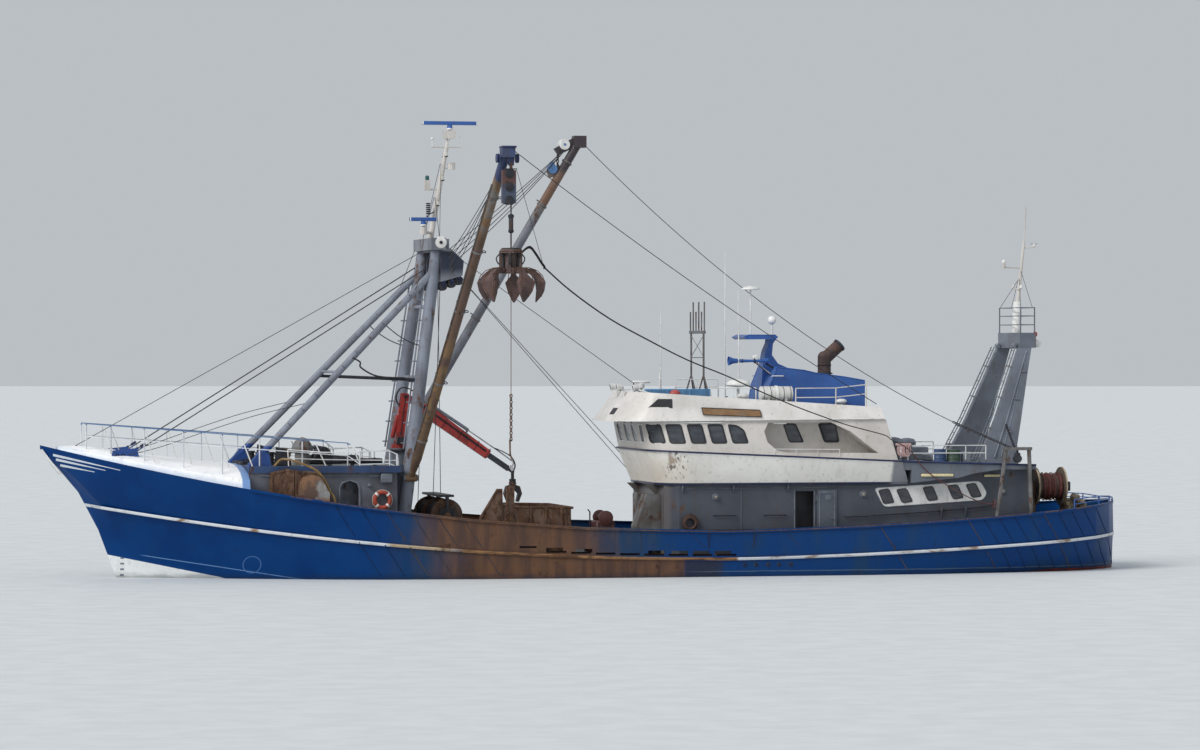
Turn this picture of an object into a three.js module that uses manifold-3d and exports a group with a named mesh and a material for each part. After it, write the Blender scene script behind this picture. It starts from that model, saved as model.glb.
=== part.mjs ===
// Beam trawler of about 39 m, moored afloat. Millimetres.
// +X points to the bow, +Y to port and +Z up; the origin is amidships on the centreline at the waterline.
import * as THREE from 'three';
import { mergeVertices } from 'three/addons/utils/BufferGeometryUtils.js';
import Module from 'manifold-3d';

const wasm = await Module();
wasm.setup();

// Driving dimensions
const STERN_X = -19650;
const SHEER_LOW_X = -4500;
const SHEER_LOW_Z = 1600;
const SHEER_RISE_FORE = 3050;
const SHEER_RISE_AFT = 0.46;
const DECK_LOW_Z = 720;
const DECK_RISE_FORE = 1920;
const DECK_RISE_AFT = 0.36;
const BREAK_X = 12700;
const BULWARK_THICK = 90;
const SEAT = 0.3;
const PIN_GAP = 0.6;
const KEEL_Z = -3850;
const SHAFT_Z = -2480;
const NOZZLE_X = -15950;
const RUDDER_X = -17000;
const HOUSE_FRONT_X = -2200;
const HOUSE_CHAMFER = 450;
const HOUSE_TOP_FORE = 3180;
const HOUSE_TOP_AFT = 3690;
const HOUSE_AFT_X = -15600;
const HOUSE_HALF = 2850;
const HOUSE_WALL = 80;
const MAST_BASE = [7200, 2100, 1500];
const MAST_TOP = [5800, 1350, 11500];
const MAST_RADIUS = 225;
const HEEL = [6950, 2620, 3500];
const BOOM_RADIUS = 180;
const HEEL_EYE_HALF = 200;
const PORT_HEAD = [5240, 11000, 14630];
const STARBOARD_HEAD = [-340, -3000, 15630];
const GRAB_X = 5100;
const GRAB_Y = 11000;
const GRAB_PIVOT_Z = 14200;
const CRANE_X = 7000;
const CRANE_Y = 600;
const REEL_CENTRE = [-16750, 1500, 3020];
const DOOR_X = [-7570, -6900];
const DOOR_HINGE = [-7640, 2900];

const PAINT = {
  hullBlue: [0x1450a0, 0.45, 0.1],
  trimBlue: [0x1f5fb8, 0.45, 0.1],
  white: [0xe8e6df, 0.5, 0.0],
  grey: [0x6f7880, 0.6, 0.1],
  mastGrey: [0x8d99a6, 0.5, 0.2],
  rust: [0x6b3d26, 0.9, 0.2],
  dark: [0x23262b, 0.7, 0.3],
  red: [0xb8261c, 0.45, 0.1],
  bronze: [0x9a7434, 0.35, 0.8],
  steel: [0x7d8084, 0.4, 0.8],
};

function material([color, roughness, metalness]) {
  return new THREE.MeshStandardMaterial({ color, roughness, metalness });
}

// Heights of the bulwark top and of the deck edge along the ship
function curveAlong(x, low, riseFore, riseAft, foreLength) {
  const distance = x - SHEER_LOW_X;
  if (distance >= 0) return low + riseFore * (distance / foreLength) ** 2;
  return low + riseAft * Math.abs(distance / 100) ** 1.5;
}

function sheerZ(x) {
  return curveAlong(x, SHEER_LOW_Z, SHEER_RISE_FORE, SHEER_RISE_AFT, 24130);
}

function deckZ(x) {
  return curveAlong(x, DECK_LOW_Z, DECK_RISE_FORE, DECK_RISE_AFT, 22500);
}

// Closed bodies and how they are joined
function solid(geometry) {
  const bare = geometry.clone();
  bare.deleteAttribute('normal');
  bare.deleteAttribute('uv');
  const merged = mergeVertices(bare, 1e-3);
  const mesh = new wasm.Mesh({
    numProp: 3,
    vertProperties: new Float32Array(merged.attributes.position.array),
    triVerts: new Uint32Array(merged.index.array),
  });
  return new wasm.Manifold(mesh);
}

function fuse(...parts) {
  return parts.flat(3).reduce((sum, part) => sum.add(part));
}

function cut(base, ...tools) {
  return tools.flat(3).reduce((rest, tool) => rest.subtract(tool), base);
}

function shape(geometry) {
  const mesh = geometry.getMesh();
  const result = new THREE.BufferGeometry();
  result.setAttribute('position', new THREE.BufferAttribute(new Float32Array(mesh.vertProperties), 3));
  result.setIndex(new THREE.BufferAttribute(new Uint32Array(mesh.triVerts), 1));
  return result;
}

function flipped(geometry) {
  const index = geometry.index;
  for (let i = 0; i < index.count; i += 3) {
    const keep = index.getX(i + 1);
    index.setX(i + 1, index.getX(i + 2));
    index.setX(i + 2, keep);
  }
  return geometry;
}

function mirrored(body) {
  const geometry = shape(body);
  geometry.scale(1, -1, 1);
  return solid(flipped(geometry));
}

function moved(body, x, y, z) {
  const geometry = shape(body);
  geometry.translate(x, y, z);
  return solid(geometry);
}

// Primitive bodies
function box(x0, x1, y0, y1, z0, z1) {
  const geometry = new THREE.BoxGeometry(x1 - x0, y1 - y0, z1 - z0);
  geometry.translate((x0 + x1) / 2, (y0 + y1) / 2, (z0 + z1) / 2);
  return solid(geometry);
}

function between(a, b, share) {
  return a.map((v, i) => v + (b[i] - v) * share);
}

function rod(from, to, radius, sides = 8, endRadius = radius, roll = 0) {
  const a = new THREE.Vector3(...from);
  const b = new THREE.Vector3(...to);
  const axis = b.clone().sub(a);
  const geometry = new THREE.CylinderGeometry(endRadius, radius, axis.length(), sides);
  geometry.rotateY(roll);
  geometry.translate(0, axis.length() / 2, 0);
  const turn = new THREE.Quaternion().setFromUnitVectors(new THREE.Vector3(0, 1, 0), axis.normalize());
  geometry.applyQuaternion(turn);
  geometry.translate(a.x, a.y, a.z);
  return solid(geometry);
}

// A tube along a run of points, mitred at each bend
function pipe(points, radius, sides = 4) {
  const path = points.map((p) => new THREE.Vector3(...p));
  const steps = path.slice(1).map((p, i) => p.clone().sub(path[i]).normalize());
  const axes = [new THREE.Vector3(1, 0, 0), new THREE.Vector3(0, 1, 0), new THREE.Vector3(0, 0, 1)];
  const slant = axes.map((axis) => Math.max(...steps.map((step) => Math.abs(step.dot(axis)))));
  const reference = axes[slant.indexOf(Math.min(...slant))];
  const rings = path.map((p, i) => {
    const before = steps[Math.max(i - 1, 0)];
    const after = steps[Math.min(i, steps.length - 1)];
    const along = before.clone().add(after).normalize();
    const side = along.clone().cross(reference).normalize();
    const up = side.clone().cross(along);
    const ring = [];
    for (let k = 0; k < sides; k += 1) {
      const turn = ((k + 0.5) / sides) * 2 * Math.PI;
      const point = p.clone().addScaledVector(side, radius * Math.cos(turn));
      point.addScaledVector(up, radius * Math.sin(turn));
      ring.push(point.toArray());
    }
    return ring;
  });
  return loft(rings);
}

function extruded(outline, depth, basis) {
  const outlineShape = new THREE.Shape(outline.map(([u, v]) => new THREE.Vector2(u, v)));
  const geometry = new THREE.ExtrudeGeometry(outlineShape, { depth, bevelEnabled: false, curveSegments: 1 });
  geometry.applyMatrix4(basis);
  return solid(geometry);
}

// An outline of [x, z] points swept across the ship from y0 to y1
function acrossShip(outline, y0, y1) {
  const basis = new THREE.Matrix4().set(1, 0, 0, 0, 0, 0, -1, y1, 0, 1, 0, 0, 0, 0, 0, 1);
  return extruded(outline, y1 - y0, basis);
}

// An outline of [y, z] points swept along the ship from x0 to x1
function alongShip(outline, x0, x1) {
  const basis = new THREE.Matrix4().set(0, 0, 1, x0, 1, 0, 0, 0, 0, 1, 0, 0, 0, 0, 0, 1);
  return extruded(outline, x1 - x0, basis);
}

// An outline of [x, y] points swept upwards from z0 to z1
function upwards(outline, z0, z1) {
  return extruded(outline, z1 - z0, new THREE.Matrix4().makeTranslation(0, 0, z0));
}

function distance(p, q) {
  return Math.hypot(p[0] - q[0], p[1] - q[1], p[2] - q[2]);
}

function trimmedBelow(body, z) {
  return cut(body, box(-30000, 30000, -9000, 9000, -9000, z));
}

// A body through closed rings of equally many points, capped at both ends
function loft(rings) {
  const count = rings[0].length;
  const positions = rings.flat(2);
  const index = [];
  for (let r = 0; r < rings.length - 1; r += 1) {
    for (let i = 0; i < count; i += 1) {
      const j = (i + 1) % count;
      const a = r * count;
      const b = a + count;
      const across = distance(rings[r][j], rings[r + 1][i]) <= distance(rings[r][i], rings[r + 1][j]);
      if (across) index.push(a + i, a + j, b + i, a + j, b + j, b + i);
      else index.push(a + i, a + j, b + j, a + i, b + j, b + i);
    }
  }
  const caps = [rings[0], rings[rings.length - 1]];
  caps.forEach((ring, end) => {
    const centre = positions.length / 3;
    const base = end === 0 ? 0 : (rings.length - 1) * count;
    for (let k = 0; k < 3; k += 1) positions.push(ring.reduce((sum, p) => sum + p[k], 0) / count);
    for (let i = 0; i < count; i += 1) {
      const j = (i + 1) % count;
      if (end === 0) index.push(centre, base + j, base + i);
      else index.push(centre, base + i, base + j);
    }
  });
  const geometry = new THREE.BufferGeometry();
  geometry.setAttribute('position', new THREE.BufferAttribute(new Float32Array(positions), 3));
  geometry.setIndex(index);
  const body = solid(geometry);
  return body.volume() > 0 ? body : solid(flipped(geometry));
}

// A ring round the ship's plan with rounded front corners; its height runs from zFront to zAft
function planRing({ front, aft, half, corner, zFront, zAft, bow = 0, steps = 4 }) {
  const side = [];
  for (let i = 0; i <= steps; i += 1) {
    const turn = (i / steps) * Math.PI / 2;
    side.push([front - corner + corner * Math.cos(turn), half - corner + corner * Math.sin(turn)]);
  }
  const port = [[front + bow, 0], ...side, [aft, half]];
  const starboard = port.slice(1).reverse().map(([x, y]) => [x, -y]);
  return [...port, ...starboard].map(([x, y]) => {
    const share = (front - x) / (front - aft);
    return [x, y, zFront + (zAft - zFront) * share];
  });
}

const group = new THREE.Group();

function add(name, body, paint) {
  const mesh = new THREE.Mesh(shape(body), material(paint));
  mesh.name = name;
  group.add(mesh);
  return body;
}

function eachSide(name, body, paint, ...cutters) {
  add(`${name}_port`, cut(body, cutters), paint);
  add(`${name}_starboard`, cut(mirrored(body), cutters), paint);
}

// Hull: half-breadths of each station at five heights between bottom and deck edge, and at the bulwark top.
// Columns: x, bottom height, half-breadth at 5, 20, 40 and 80 per cent, at the deck edge, at the sheer
const LEVELS = [0.05, 0.2, 0.4, 0.8];
const STATIONS = [
  [19630, 4520, 10, 15, 20, 25, 30, 40],
  [18980, 3810, 40, 80, 130, 260, 330, 520],
  [18300, 3000, 50, 120, 220, 480, 620, 980],
  [17600, 1680, 40, 110, 220, 560, 820, 1400],
  [16970, 0, 40, 110, 230, 640, 1020, 1740],
  [16300, -1500, 50, 150, 300, 760, 1260, 2060],
  [15400, -2700, 60, 250, 480, 1060, 1620, 2440],
  [14200, -3250, 100, 450, 820, 1560, 2120, 2860],
  [12500, -3400, 200, 850, 1450, 2350, 2800, 3330],
  [10500, -3400, 450, 1500, 2250, 3150, 3400, 3700],
  [8000, -3400, 1000, 2400, 3150, 3780, 3900, 3960],
  [5000, -3400, 1800, 3150, 3750, 4060, 4120, 4120],
  [1000, -3400, 2500, 3600, 4050, 4180, 4200, 4200],
  [-4000, -3350, 2600, 3650, 4080, 4200, 4200, 4200],
  [-9000, -3150, 1900, 3200, 3850, 4150, 4200, 4180],
  [-12000, -2550, 1100, 2500, 3400, 4000, 4120, 4130],
  [-14000, -1750, 900, 2200, 3100, 3800, 3980, 4020],
  [-15600, -1200, 1000, 2200, 2950, 3560, 3760, 3820],
  [-17000, -850, 1200, 2150, 2700, 3150, 3330, 3400],
  [-18200, -620, 1200, 1800, 2150, 2480, 2620, 2640],
  [-19000, -450, 850, 1200, 1400, 1640, 1760, 1740],
  [-19450, -380, 450, 620, 720, 860, 940, 880],
  [-19650, -340, 120, 180, 220, 280, 320, 280],
];

function stationRing([x, bottom, b05, b20, b40, b80, bDeck, bSheer], inset = 0) {
  const sheer = sheerZ(x);
  const middle = Math.max(deckZ(x), bottom + 0.3 * (sheer - bottom));
  const heights = [...LEVELS.map((level) => bottom + level * (middle - bottom)), middle, sheer];
  const breadths = [b05, b20, b40, b80, bDeck, bSheer];
  const port = heights.map((z, i) => [x, Math.max(breadths[i] - inset, 5), z]);
  const starboard = port.map(([, y, z]) => [x, -y, z]).reverse();
  return [[x, 0, bottom], ...port, ...starboard];
}

function hullHalf(x, column) {
  const aft = STATIONS.findIndex((row) => row[0] <= x);
  const a = STATIONS[Math.max(aft - 1, 0)];
  const b = STATIONS[aft];
  return b[column] + (a[column] - b[column]) * (x - b[0]) / (a[0] - b[0]);
}

function deckHalf(x) {
  return hullHalf(x, 6);
}

function sheerHalf(x) {
  return hullHalf(x, 7);
}

// Everything above the deck from the stern to the break of the forecastle
function aboveDeck(lift) {
  const stops = [-20500];
  for (let x = -19000; x < BREAK_X; x += 1500) stops.push(x);
  stops.push(BREAK_X);
  const low = stops.map((x) => [x, deckZ(x) + lift]);
  return acrossShip([...low, [BREAK_X, 7000], [-20500, 7000]], -6000, 6000);
}

// A half-round strake along one side just under the deck edge
function strake(from, to) {
  const rings = STATIONS.map((row) => row[0]).filter((x) => x <= from && x >= to);
  return loft(rings.map((x) => {
    const y = deckHalf(x);
    const z = deckZ(x);
    return [[x, y - 60, z - 175], [x, y + 50, z - 150], [x, y + 70, z - 95], [x, y + 50, z - 40], [x, y - 60, z - 15]];
  }));
}

function hullParts() {
  const whole = loft(STATIONS.map((row) => stationRing(row)));
  const keelLine = [[14600, -2900], [14200, -3600], [-15100, KEEL_Z], [-17950, KEEL_Z], [-17950, -3700],
    [-15250, -3700], [-15100, -3500], [-15100, -1500], [-12000, -2000], [-8000, -3000], [13500, -3100]];
  const keel = acrossShip(keelLine, -140, 140);
  const tube = rod([-13000, 0, SHAFT_Z], [-15250, 0, SHAFT_Z], 300, 16, 230);
  const rub = strake(17600, STERN_X);
  const stock = box(RUDDER_X - 200, RUDDER_X + 200, -160, 160, -1150, -500);
  const hull = cut(fuse(whole, keel, tube, rub, mirrored(rub), stock), aboveDeck(0));
  const inner = loft(STATIONS.slice(3).map((row) => stationRing(row, BULWARK_THICK)));
  const capped = fuse(whole, loft(STATIONS.slice(5).map((row) => {
    const [x, , , , , , , half] = row;
    const z = sheerZ(x);
    return [[x, half + 60, z - 70], [x, half + 60, z + 20], [x, -half - 60, z + 20], [x, -half - 60, z - 70]];
  })));
  const well = fuse(inner, loft(STATIONS.slice(5).map((row) => {
    const [x, , , , , , , half] = row;
    const z = sheerZ(x);
    const y = Math.max(half - 170, 4);
    return [[x, y, z - 90], [x, y, z + 60], [x, -y, z + 60], [x, -y, z - 90]];
  })));
  const ring = cut(capped.intersect(aboveDeck(SEAT)), well);
  const ports = [];
  for (const x of [-3900, -3120, -2340, -1500, 1100, 2150, -9000, -10500, -12000]) {
    ports.push(box(x - 300, x + 300, 3000, 5000, deckZ(x) + 20, deckZ(x) + 190));
  }
  const bulwark = cut(ring.intersect(box(-21000, BREAK_X - SEAT, SEAT / 2, 6000, -500, 7000)), ports);
  return { hull, bulwark };
}

const { hull, bulwark } = hullParts();
add('hull', hull, PAINT.hullBlue);
eachSide('bulwark', bulwark, PAINT.hullBlue);
const deckCutter = moved(hull, 0, 0, SEAT);

// Whaleback: a convex deck over the bow, standing on the sheer
function whaleback() {
  const stops = [BREAK_X, 14000, 15400, 16600, 17700, 18500, 19050];
  const rises = [820, 700, 580, 480, 400, 260, 120];
  return loft(stops.map((x, k) => {
    const half = sheerHalf(x) - 20;
    const z = sheerZ(x) + SEAT;
    const ring = [];
    for (let i = 0; i <= 10; i += 1) {
      const turn = (i / 10) * Math.PI;
      ring.push([x, half * Math.cos(turn), z + rises[k] * Math.sin(turn) ** 0.8]);
    }
    return ring;
  }));
}

const whalebackBody = cut(whaleback(), deckCutter);
add('whaleback', whalebackBody, PAINT.white);
const whalebackCutter = moved(whalebackBody, 0, 0, SEAT);

// Forecastle house under the raised foredeck, entered by an arched doorway on each side
const FORE_HOUSE = { aft: 7450, fore: BREAK_X - SEAT, half: 2700, top: 3700 };
function foreHouse() {
  const { aft, fore, half, top } = FORE_HOUSE;
  const walls = box(aft, fore, -half, half, 400, top);
  const inside = box(aft + HOUSE_WALL, fore - HOUSE_WALL, -half + HOUSE_WALL, half - HOUSE_WALL, 300, top - HOUSE_WALL);
  const arch = [[8820, 1500], [9450, 1500], [9450, 3150], [9380, 3310], [9135, 3400], [8890, 3310], [8820, 3150]];
  const rollerCasing = [[9950, 1500], [11050, 1500], [11000, 3300], [10850, 3560], [10550, 3650], [10250, 3560], [9950, 3000]];
  const casings = [acrossShip(rollerCasing, half - 40, 3420), acrossShip(rollerCasing, -3420, -half + 40)];
  const inBulwark = loft(STATIONS.slice(5, 12).map((row) => stationRing(row, BULWARK_THICK + SEAT)));
  const above = [5500, 8000, 10500, BREAK_X].map((x) => [x, sheerZ(x) - 5]);
  const clear = fuse(inBulwark, acrossShip([...above, [BREAK_X, 7000], [5500, 7000]], -6000, 6000));
  const house = fuse(cut(walls, inside, acrossShip(arch, -3500, 3500)), casings);
  return cut(house.intersect(clear).intersect(aboveDeck(SEAT)), whalebackCutter);
}
add('forecastle_house', foreHouse(), PAINT.grey);

const FOREDECK_TOP = 3940;
function foreDeck() {
  const outline = [[6700, -1200], [7400, -2950], [12690, -2750], [12690, 2750], [7400, 2950], [6700, 1200]];
  const plate = upwards(outline, FORE_HOUSE.top + SEAT, FOREDECK_TOP);
  const legHoles = [1, -1].map((side) => box(6400, 7300, side * 1900 - 420, side * 1900 + 420, 3000, 5000));
  const cranePost = rod([CRANE_X, CRANE_Y, 3000], [CRANE_X, CRANE_Y, 5000], 260 + SEAT, 14);
  return cut(plate, whalebackCutter, legHoles, cranePost);
}
const foredeckBody = foreDeck();
add('foredeck', foredeckBody, PAINT.trimBlue);

// Rails: straight tubes through posts, one body for each run
function railRun(tops, heights, drop, radius = 24) {
  const levels = heights.map((share) => pipe(tops.map(([x, y, z]) => [x, y, z - share]), radius));
  const posts = tops.map(([x, y, z], i) => rod([x, y, z - drop[i]], [x, y, z], radius, 4));
  return fuse(levels, posts);
}

function foredeckRailTops() {
  const bow = [18100, 17300, 16200, 14900, 13600, 12300, 10800, 9200].map((x) => {
    const y = Math.max(Math.min(sheerHalf(x) - 320, 2680), 320);
    return [x, y, 4720 + 0.0765 * (x - 9100)];
  });
  return [...bow, [8800, 2850, 4430], [7750, 2860, 4450], [7480, 2860, 4330], [7400, 2300, 4330]];
}

function foredeckRails() {
  const port = foredeckRailTops();
  const around = [...port.slice().reverse(), ...port.map(([x, y, z]) => [x, -y, z])];
  const drops = around.map(([x, , z]) => z - (x > BREAK_X ? sheerZ(x) + 120 : FOREDECK_TOP - 120));
  return cut(railRun(around, [0, 440], drops), whalebackCutter, moved(foredeckBody, 0, 0, SEAT),
    box(7000, 12690, -3500, 3500, 3000, 3710));
}
add('foredeck_rails', foredeckRails(), PAINT.white);

// Fore mast: two legs, two fore struts and a head with sheave boxes
function mastLeg() {
  const leg = rod(MAST_BASE, MAST_TOP, MAST_RADIUS + 25, 16, MAST_RADIUS - 25);
  const foot = box(6850, 7440, 1750, 2450, 700, 1750);
  const lugs = [];
  for (const side of [1, -1]) {
    const x0 = HEEL[0] + side * (HEEL_EYE_HALF + PIN_GAP);
    const x1 = x0 + side * 60;
    const plate = box(Math.min(x0, x1), Math.max(x0, x1), 1950, HEEL[1], HEEL[2] - 100, HEEL[2] + 100);
    lugs.push(plate, rod([Math.min(x0, x1), HEEL[1], HEEL[2]], [Math.max(x0, x1), HEEL[1], HEEL[2]], 100, 16));
  }
  const rungs = [];
  for (let k = 0; k < 8; k += 1) {
    const share = 0.32 + 0.072 * k;
    const at = between(MAST_BASE, MAST_TOP, share);
    rungs.push(rod([at[0] + 150, at[1], at[2]], [at[0] + 420, at[1], at[2]], 22, 6));
  }
  return cut(fuse(leg, foot, lugs, rungs), deckCutter);
}
const mastLegBody = mastLeg();
eachSide('mast_leg', mastLegBody, PAINT.mastGrey);

const legCutter = rod(MAST_BASE, between(MAST_BASE, MAST_TOP, 1.0001), MAST_RADIUS + 25 + SEAT, 16, MAST_RADIUS - 25 + SEAT);
function mastHead() {
  const z = MAST_TOP[2];
  const x = MAST_TOP[0];
  const beam = box(x - 260, x + 260, -1750, 1750, z + SEAT, z + 420);
  const boxes = [1, -1].map((side) => {
    const y = side * 1350;
    return acrossShip([[x - 880, z - 910], [x - 100, z - 1130], [x - 100, z + 60], [x - 450, z + 60], [x - 930, z - 390]],
      y - 260, y + 260);
  });
  const shelf = box(x - 500, x + 60, -1100, 1100, z - 60, z + 400);
  return cut(fuse(beam, boxes, shelf), legCutter, mirrored(legCutter));
}
const mastHeadBody = mastHead();
add('mast_head', mastHeadBody, PAINT.mastGrey);

function foreStrut() {
  const tube = rod([12660, 2390, FOREDECK_TOP - 90], [5890, 1400, 10790], 125, 12);
  const bracket = acrossShip([[12690, 3900], [11850, 3900], [11950, 4380], [12250, 4480]], 2200, 2560);
  return trimmedBelow(cut(fuse(tube, bracket), legCutter), FOREDECK_TOP + SEAT);
}
eachSide('fore_strut', foreStrut(), PAINT.mastGrey, moved(mastHeadBody, SEAT, 0, 0), moved(mastHeadBody, 0, 0, -SEAT));

const UPPER_SCANNER = [5070, 0, 15780];
const LOWER_SCANNER = [6140, 650, 12335];
function topMast() {
  const foot = MAST_TOP[2] + 420 + SEAT;
  const mast = trimmedBelow(rod([5790, 0, foot - 100], [5120, 0, 15530], 110, 10, 70), foot);
  const base = box(4880, 5290, -150, 150, 15500, UPPER_SCANNER[2]);
  const [lowX, lowY, lowZ] = LOWER_SCANNER;
  const arms = [
    rod([5190, -520, 15180], [5190, 520, 15180], 22, 6),
    rod([4650, 0, 15190], [5740, 0, 15190], 22, 6),
    rod([5450, 0, 13690], [5940, 0, 13670], 28, 6),
    box(5780, 5990, -80, 80, 13640, 14010),
    rod([5730, 0, 12130], [lowX, lowY, 12160], 50, 6),
    rod([lowX, lowY, 12060], [lowX, lowY, lowZ], 130, 10),
    rod([5310, 0, 14440], [4960, 0, 14440], 22, 6),
    rod([5010, 0, 14390], [5010, 0, 14640], 140, 10),
  ];
  return fuse(mast, base, arms);
}
add('topmast', topMast(), PAINT.white);

function scanner([x, y, z], length) {
  return fuse(rod([x, y, z + SEAT], [x, y, z + 210], 60, 10),
    box(x - length / 2, x + length / 2, y - 75, y + 75, z + 200, z + 330));
}
add('radar_scanner_upper', scanner(UPPER_SCANNER, 1980), PAINT.trimBlue);
add('radar_scanner_lower', scanner(LOWER_SCANNER, 990), PAINT.trimBlue);

// Beam-trawl booms: each turns at its heel about a fore-and-aft pin
function boom(heel, head, headFitting) {
  const length = Math.hypot(...head.map((v, i) => v - heel[i]));
  const eye = rod([heel[0] - HEEL_EYE_HALF, heel[1], heel[2]], [heel[0] + HEEL_EYE_HALF, heel[1], heel[2]], 130, 16);
  const neck = rod(heel, between(heel, head, 900 / length), 90, 12, BOOM_RADIUS);
  const tube = rod(between(heel, head, 890 / length), head, BOOM_RADIUS, 12, BOOM_RADIUS - 20);
  return fuse(eye, neck, tube, headFitting);
}

function portHead() {
  const [x, y, z] = PORT_HEAD;
  const cap = box(x - 260, x + 180, y - 330, y + 160, z - 250, z + 120);
  const ears = [1, -1].map((side) => {
    const x0 = GRAB_X + side * (50 + PIN_GAP);
    const x1 = x0 + side * 40;
    const plate = box(Math.min(x0, x1), Math.max(x0, x1), y - 90, y + 90, GRAB_PIVOT_Z, z - 240);
    return fuse(plate, rod([Math.min(x0, x1), y, GRAB_PIVOT_Z], [Math.max(x0, x1), y, GRAB_PIVOT_Z], 90, 16));
  });
  return [cap, ears];
}
const portBoomBody = boom(HEEL, PORT_HEAD, portHead());
add('boom_port', portBoomBody, PAINT.rust);

function starboardHead() {
  const [x, y, z] = STARBOARD_HEAD;
  const cap = box(x - 200, x + 260, y - 220, y + 220, z - 280, z + 150);
  const block = acrossShip([[x + 180, z + 120], [x + 980, z - 330], [x + 820, z - 560], [x + 180, z - 250]], y - 90, y + 90);
  const lower = acrossShip([[x + 800, z - 900], [x + 1250, z - 1150], [x + 1150, z - 1400], [x + 650, z - 1250]], y - 80, y + 80);
  return [cap, block, lower];
}
const starboardHeel = [HEEL[0], -HEEL[1], HEEL[2]];
add('boom_starboard', boom(starboardHeel, STARBOARD_HEAD, starboardHead()), PAINT.mastGrey);

// Grab: an orange-peel grab on one fall from the port boom head
const GRAB_TINES = 5;
const GRAB_TOP = 11330;
const GRAB_LOW = 10560;
const TINE_PIN_RADIUS = 430;
const TINE_PIN_Z = 10640;

function turned(body, degrees) {
  const geometry = shape(body);
  geometry.translate(-GRAB_X, -GRAB_Y, 0);
  geometry.rotateZ(THREE.MathUtils.degToRad(degrees));
  geometry.translate(GRAB_X, GRAB_Y, 0);
  return solid(geometry);
}

function tineAngle(k) {
  return 36 + (360 / GRAB_TINES) * k;
}

function grabBody() {
  const eye = fuse(rod([GRAB_X - 50, GRAB_Y, GRAB_PIVOT_Z], [GRAB_X + 50, GRAB_Y, GRAB_PIVOT_Z], 80, 16),
    box(GRAB_X - 45, GRAB_X + 45, GRAB_Y - 50, GRAB_Y + 50, 13900, GRAB_PIVOT_Z));
  const block = box(GRAB_X - 150, GRAB_X + 310, GRAB_Y - 120, GRAB_Y + 120, 12850, 13960);
  const fall = rod([GRAB_X, GRAB_Y, GRAB_TOP - 30], [GRAB_X, GRAB_Y, 12900], 28, 6);
  const hook = rod([GRAB_X, GRAB_Y, 11900], [GRAB_X, GRAB_Y, 12400], 80, 8);
  const top = rod([GRAB_X, GRAB_Y, GRAB_TOP - 130], [GRAB_X, GRAB_Y, GRAB_TOP], 400, 10, 360);
  const waist = rod([GRAB_X, GRAB_Y, GRAB_LOW], [GRAB_X, GRAB_Y, GRAB_TOP - 100], 230, 10, 200);
  const low = rod([GRAB_X, GRAB_Y, GRAB_LOW - 40], [GRAB_X, GRAB_Y, GRAB_LOW + 150], 400, 10, 400);
  const ribs = [];
  const lugs = [];
  const slots = [];
  for (let k = 0; k < GRAB_TINES; k += 1) {
    ribs.push(turned(box(GRAB_X + 120, GRAB_X + 400, GRAB_Y - 35, GRAB_Y + 35, GRAB_LOW, GRAB_TOP - 60), tineAngle(k) + 36));
    for (const side of [1, -1]) {
      const y0 = GRAB_Y + side * (70 + PIN_GAP);
      const y1 = y0 + side * 40;
      const plate = box(GRAB_X + 250, GRAB_X + TINE_PIN_RADIUS + 60, Math.min(y0, y1), Math.max(y0, y1), TINE_PIN_Z - 70, TINE_PIN_Z + 70);
      lugs.push(turned(plate, tineAngle(k)));
    }
    slots.push(turned(box(GRAB_X + 240, GRAB_X + 800, GRAB_Y - 70 - PIN_GAP, GRAB_Y + 70 + PIN_GAP, 10300, TINE_PIN_Z + 200), tineAngle(k)));
  }
  return cut(fuse(eye, block, fall, hook, top, waist, low, ribs, lugs), slots);
}
add('grab_body', grabBody(), PAINT.rust);

// One tine drawn towards +X: arm outwards from its pin, then a claw curving down and in
function grabTine() {
  const r = TINE_PIN_RADIUS;
  const z = TINE_PIN_Z;
  const outer = [[r - 60, z + 40], [r + 20, z + 70], [r + 330, z + 10], [r + 560, z - 150], [r + 680, z - 420],
    [r + 650, z - 700], [r + 540, z - 930], [r + 420, z - 1080]];
  const inner = [[r + 400, z - 1060], [r + 430, z - 900], [r + 470, z - 680], [r + 450, z - 420], [r + 350, z - 250],
    [r + 200, z - 130], [r - 20, z - 70], [r - 60, z - 40]];
  const outline = [...outer, ...inner].map(([u, v]) => [GRAB_X + u, v]);
  const profile = acrossShip(outline, GRAB_Y - 420, GRAB_Y + 420);
  const halfWidths = [[70, 80], [70, -160], [300, -420], [200, -760], [20, -1100]];
  const right = halfWidths.map(([w, h]) => [GRAB_Y - w, z + h]);
  const left = halfWidths.map(([w, h]) => [GRAB_Y + w, z + h]).reverse();
  const face = alongShip([...right, ...left], GRAB_X + r - 100, GRAB_X + r + 800);
  return profile.intersect(face);
}
for (let k = 0; k < GRAB_TINES; k += 1) add(`grab_tine_${k + 1}`, turned(grabTine(), tineAngle(k)), PAINT.rust);

// Knuckle crane on its pedestal between the mast legs
function craneBase() {
  return cut(fuse(rod([CRANE_X, CRANE_Y, 500], [CRANE_X, CRANE_Y, 4500], 260, 14),
    rod([CRANE_X, CRANE_Y, 4380], [CRANE_X, CRANE_Y, 4500], 330, 14)), deckCutter);
}
add('crane_base', craneBase(), PAINT.grey);

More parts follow.
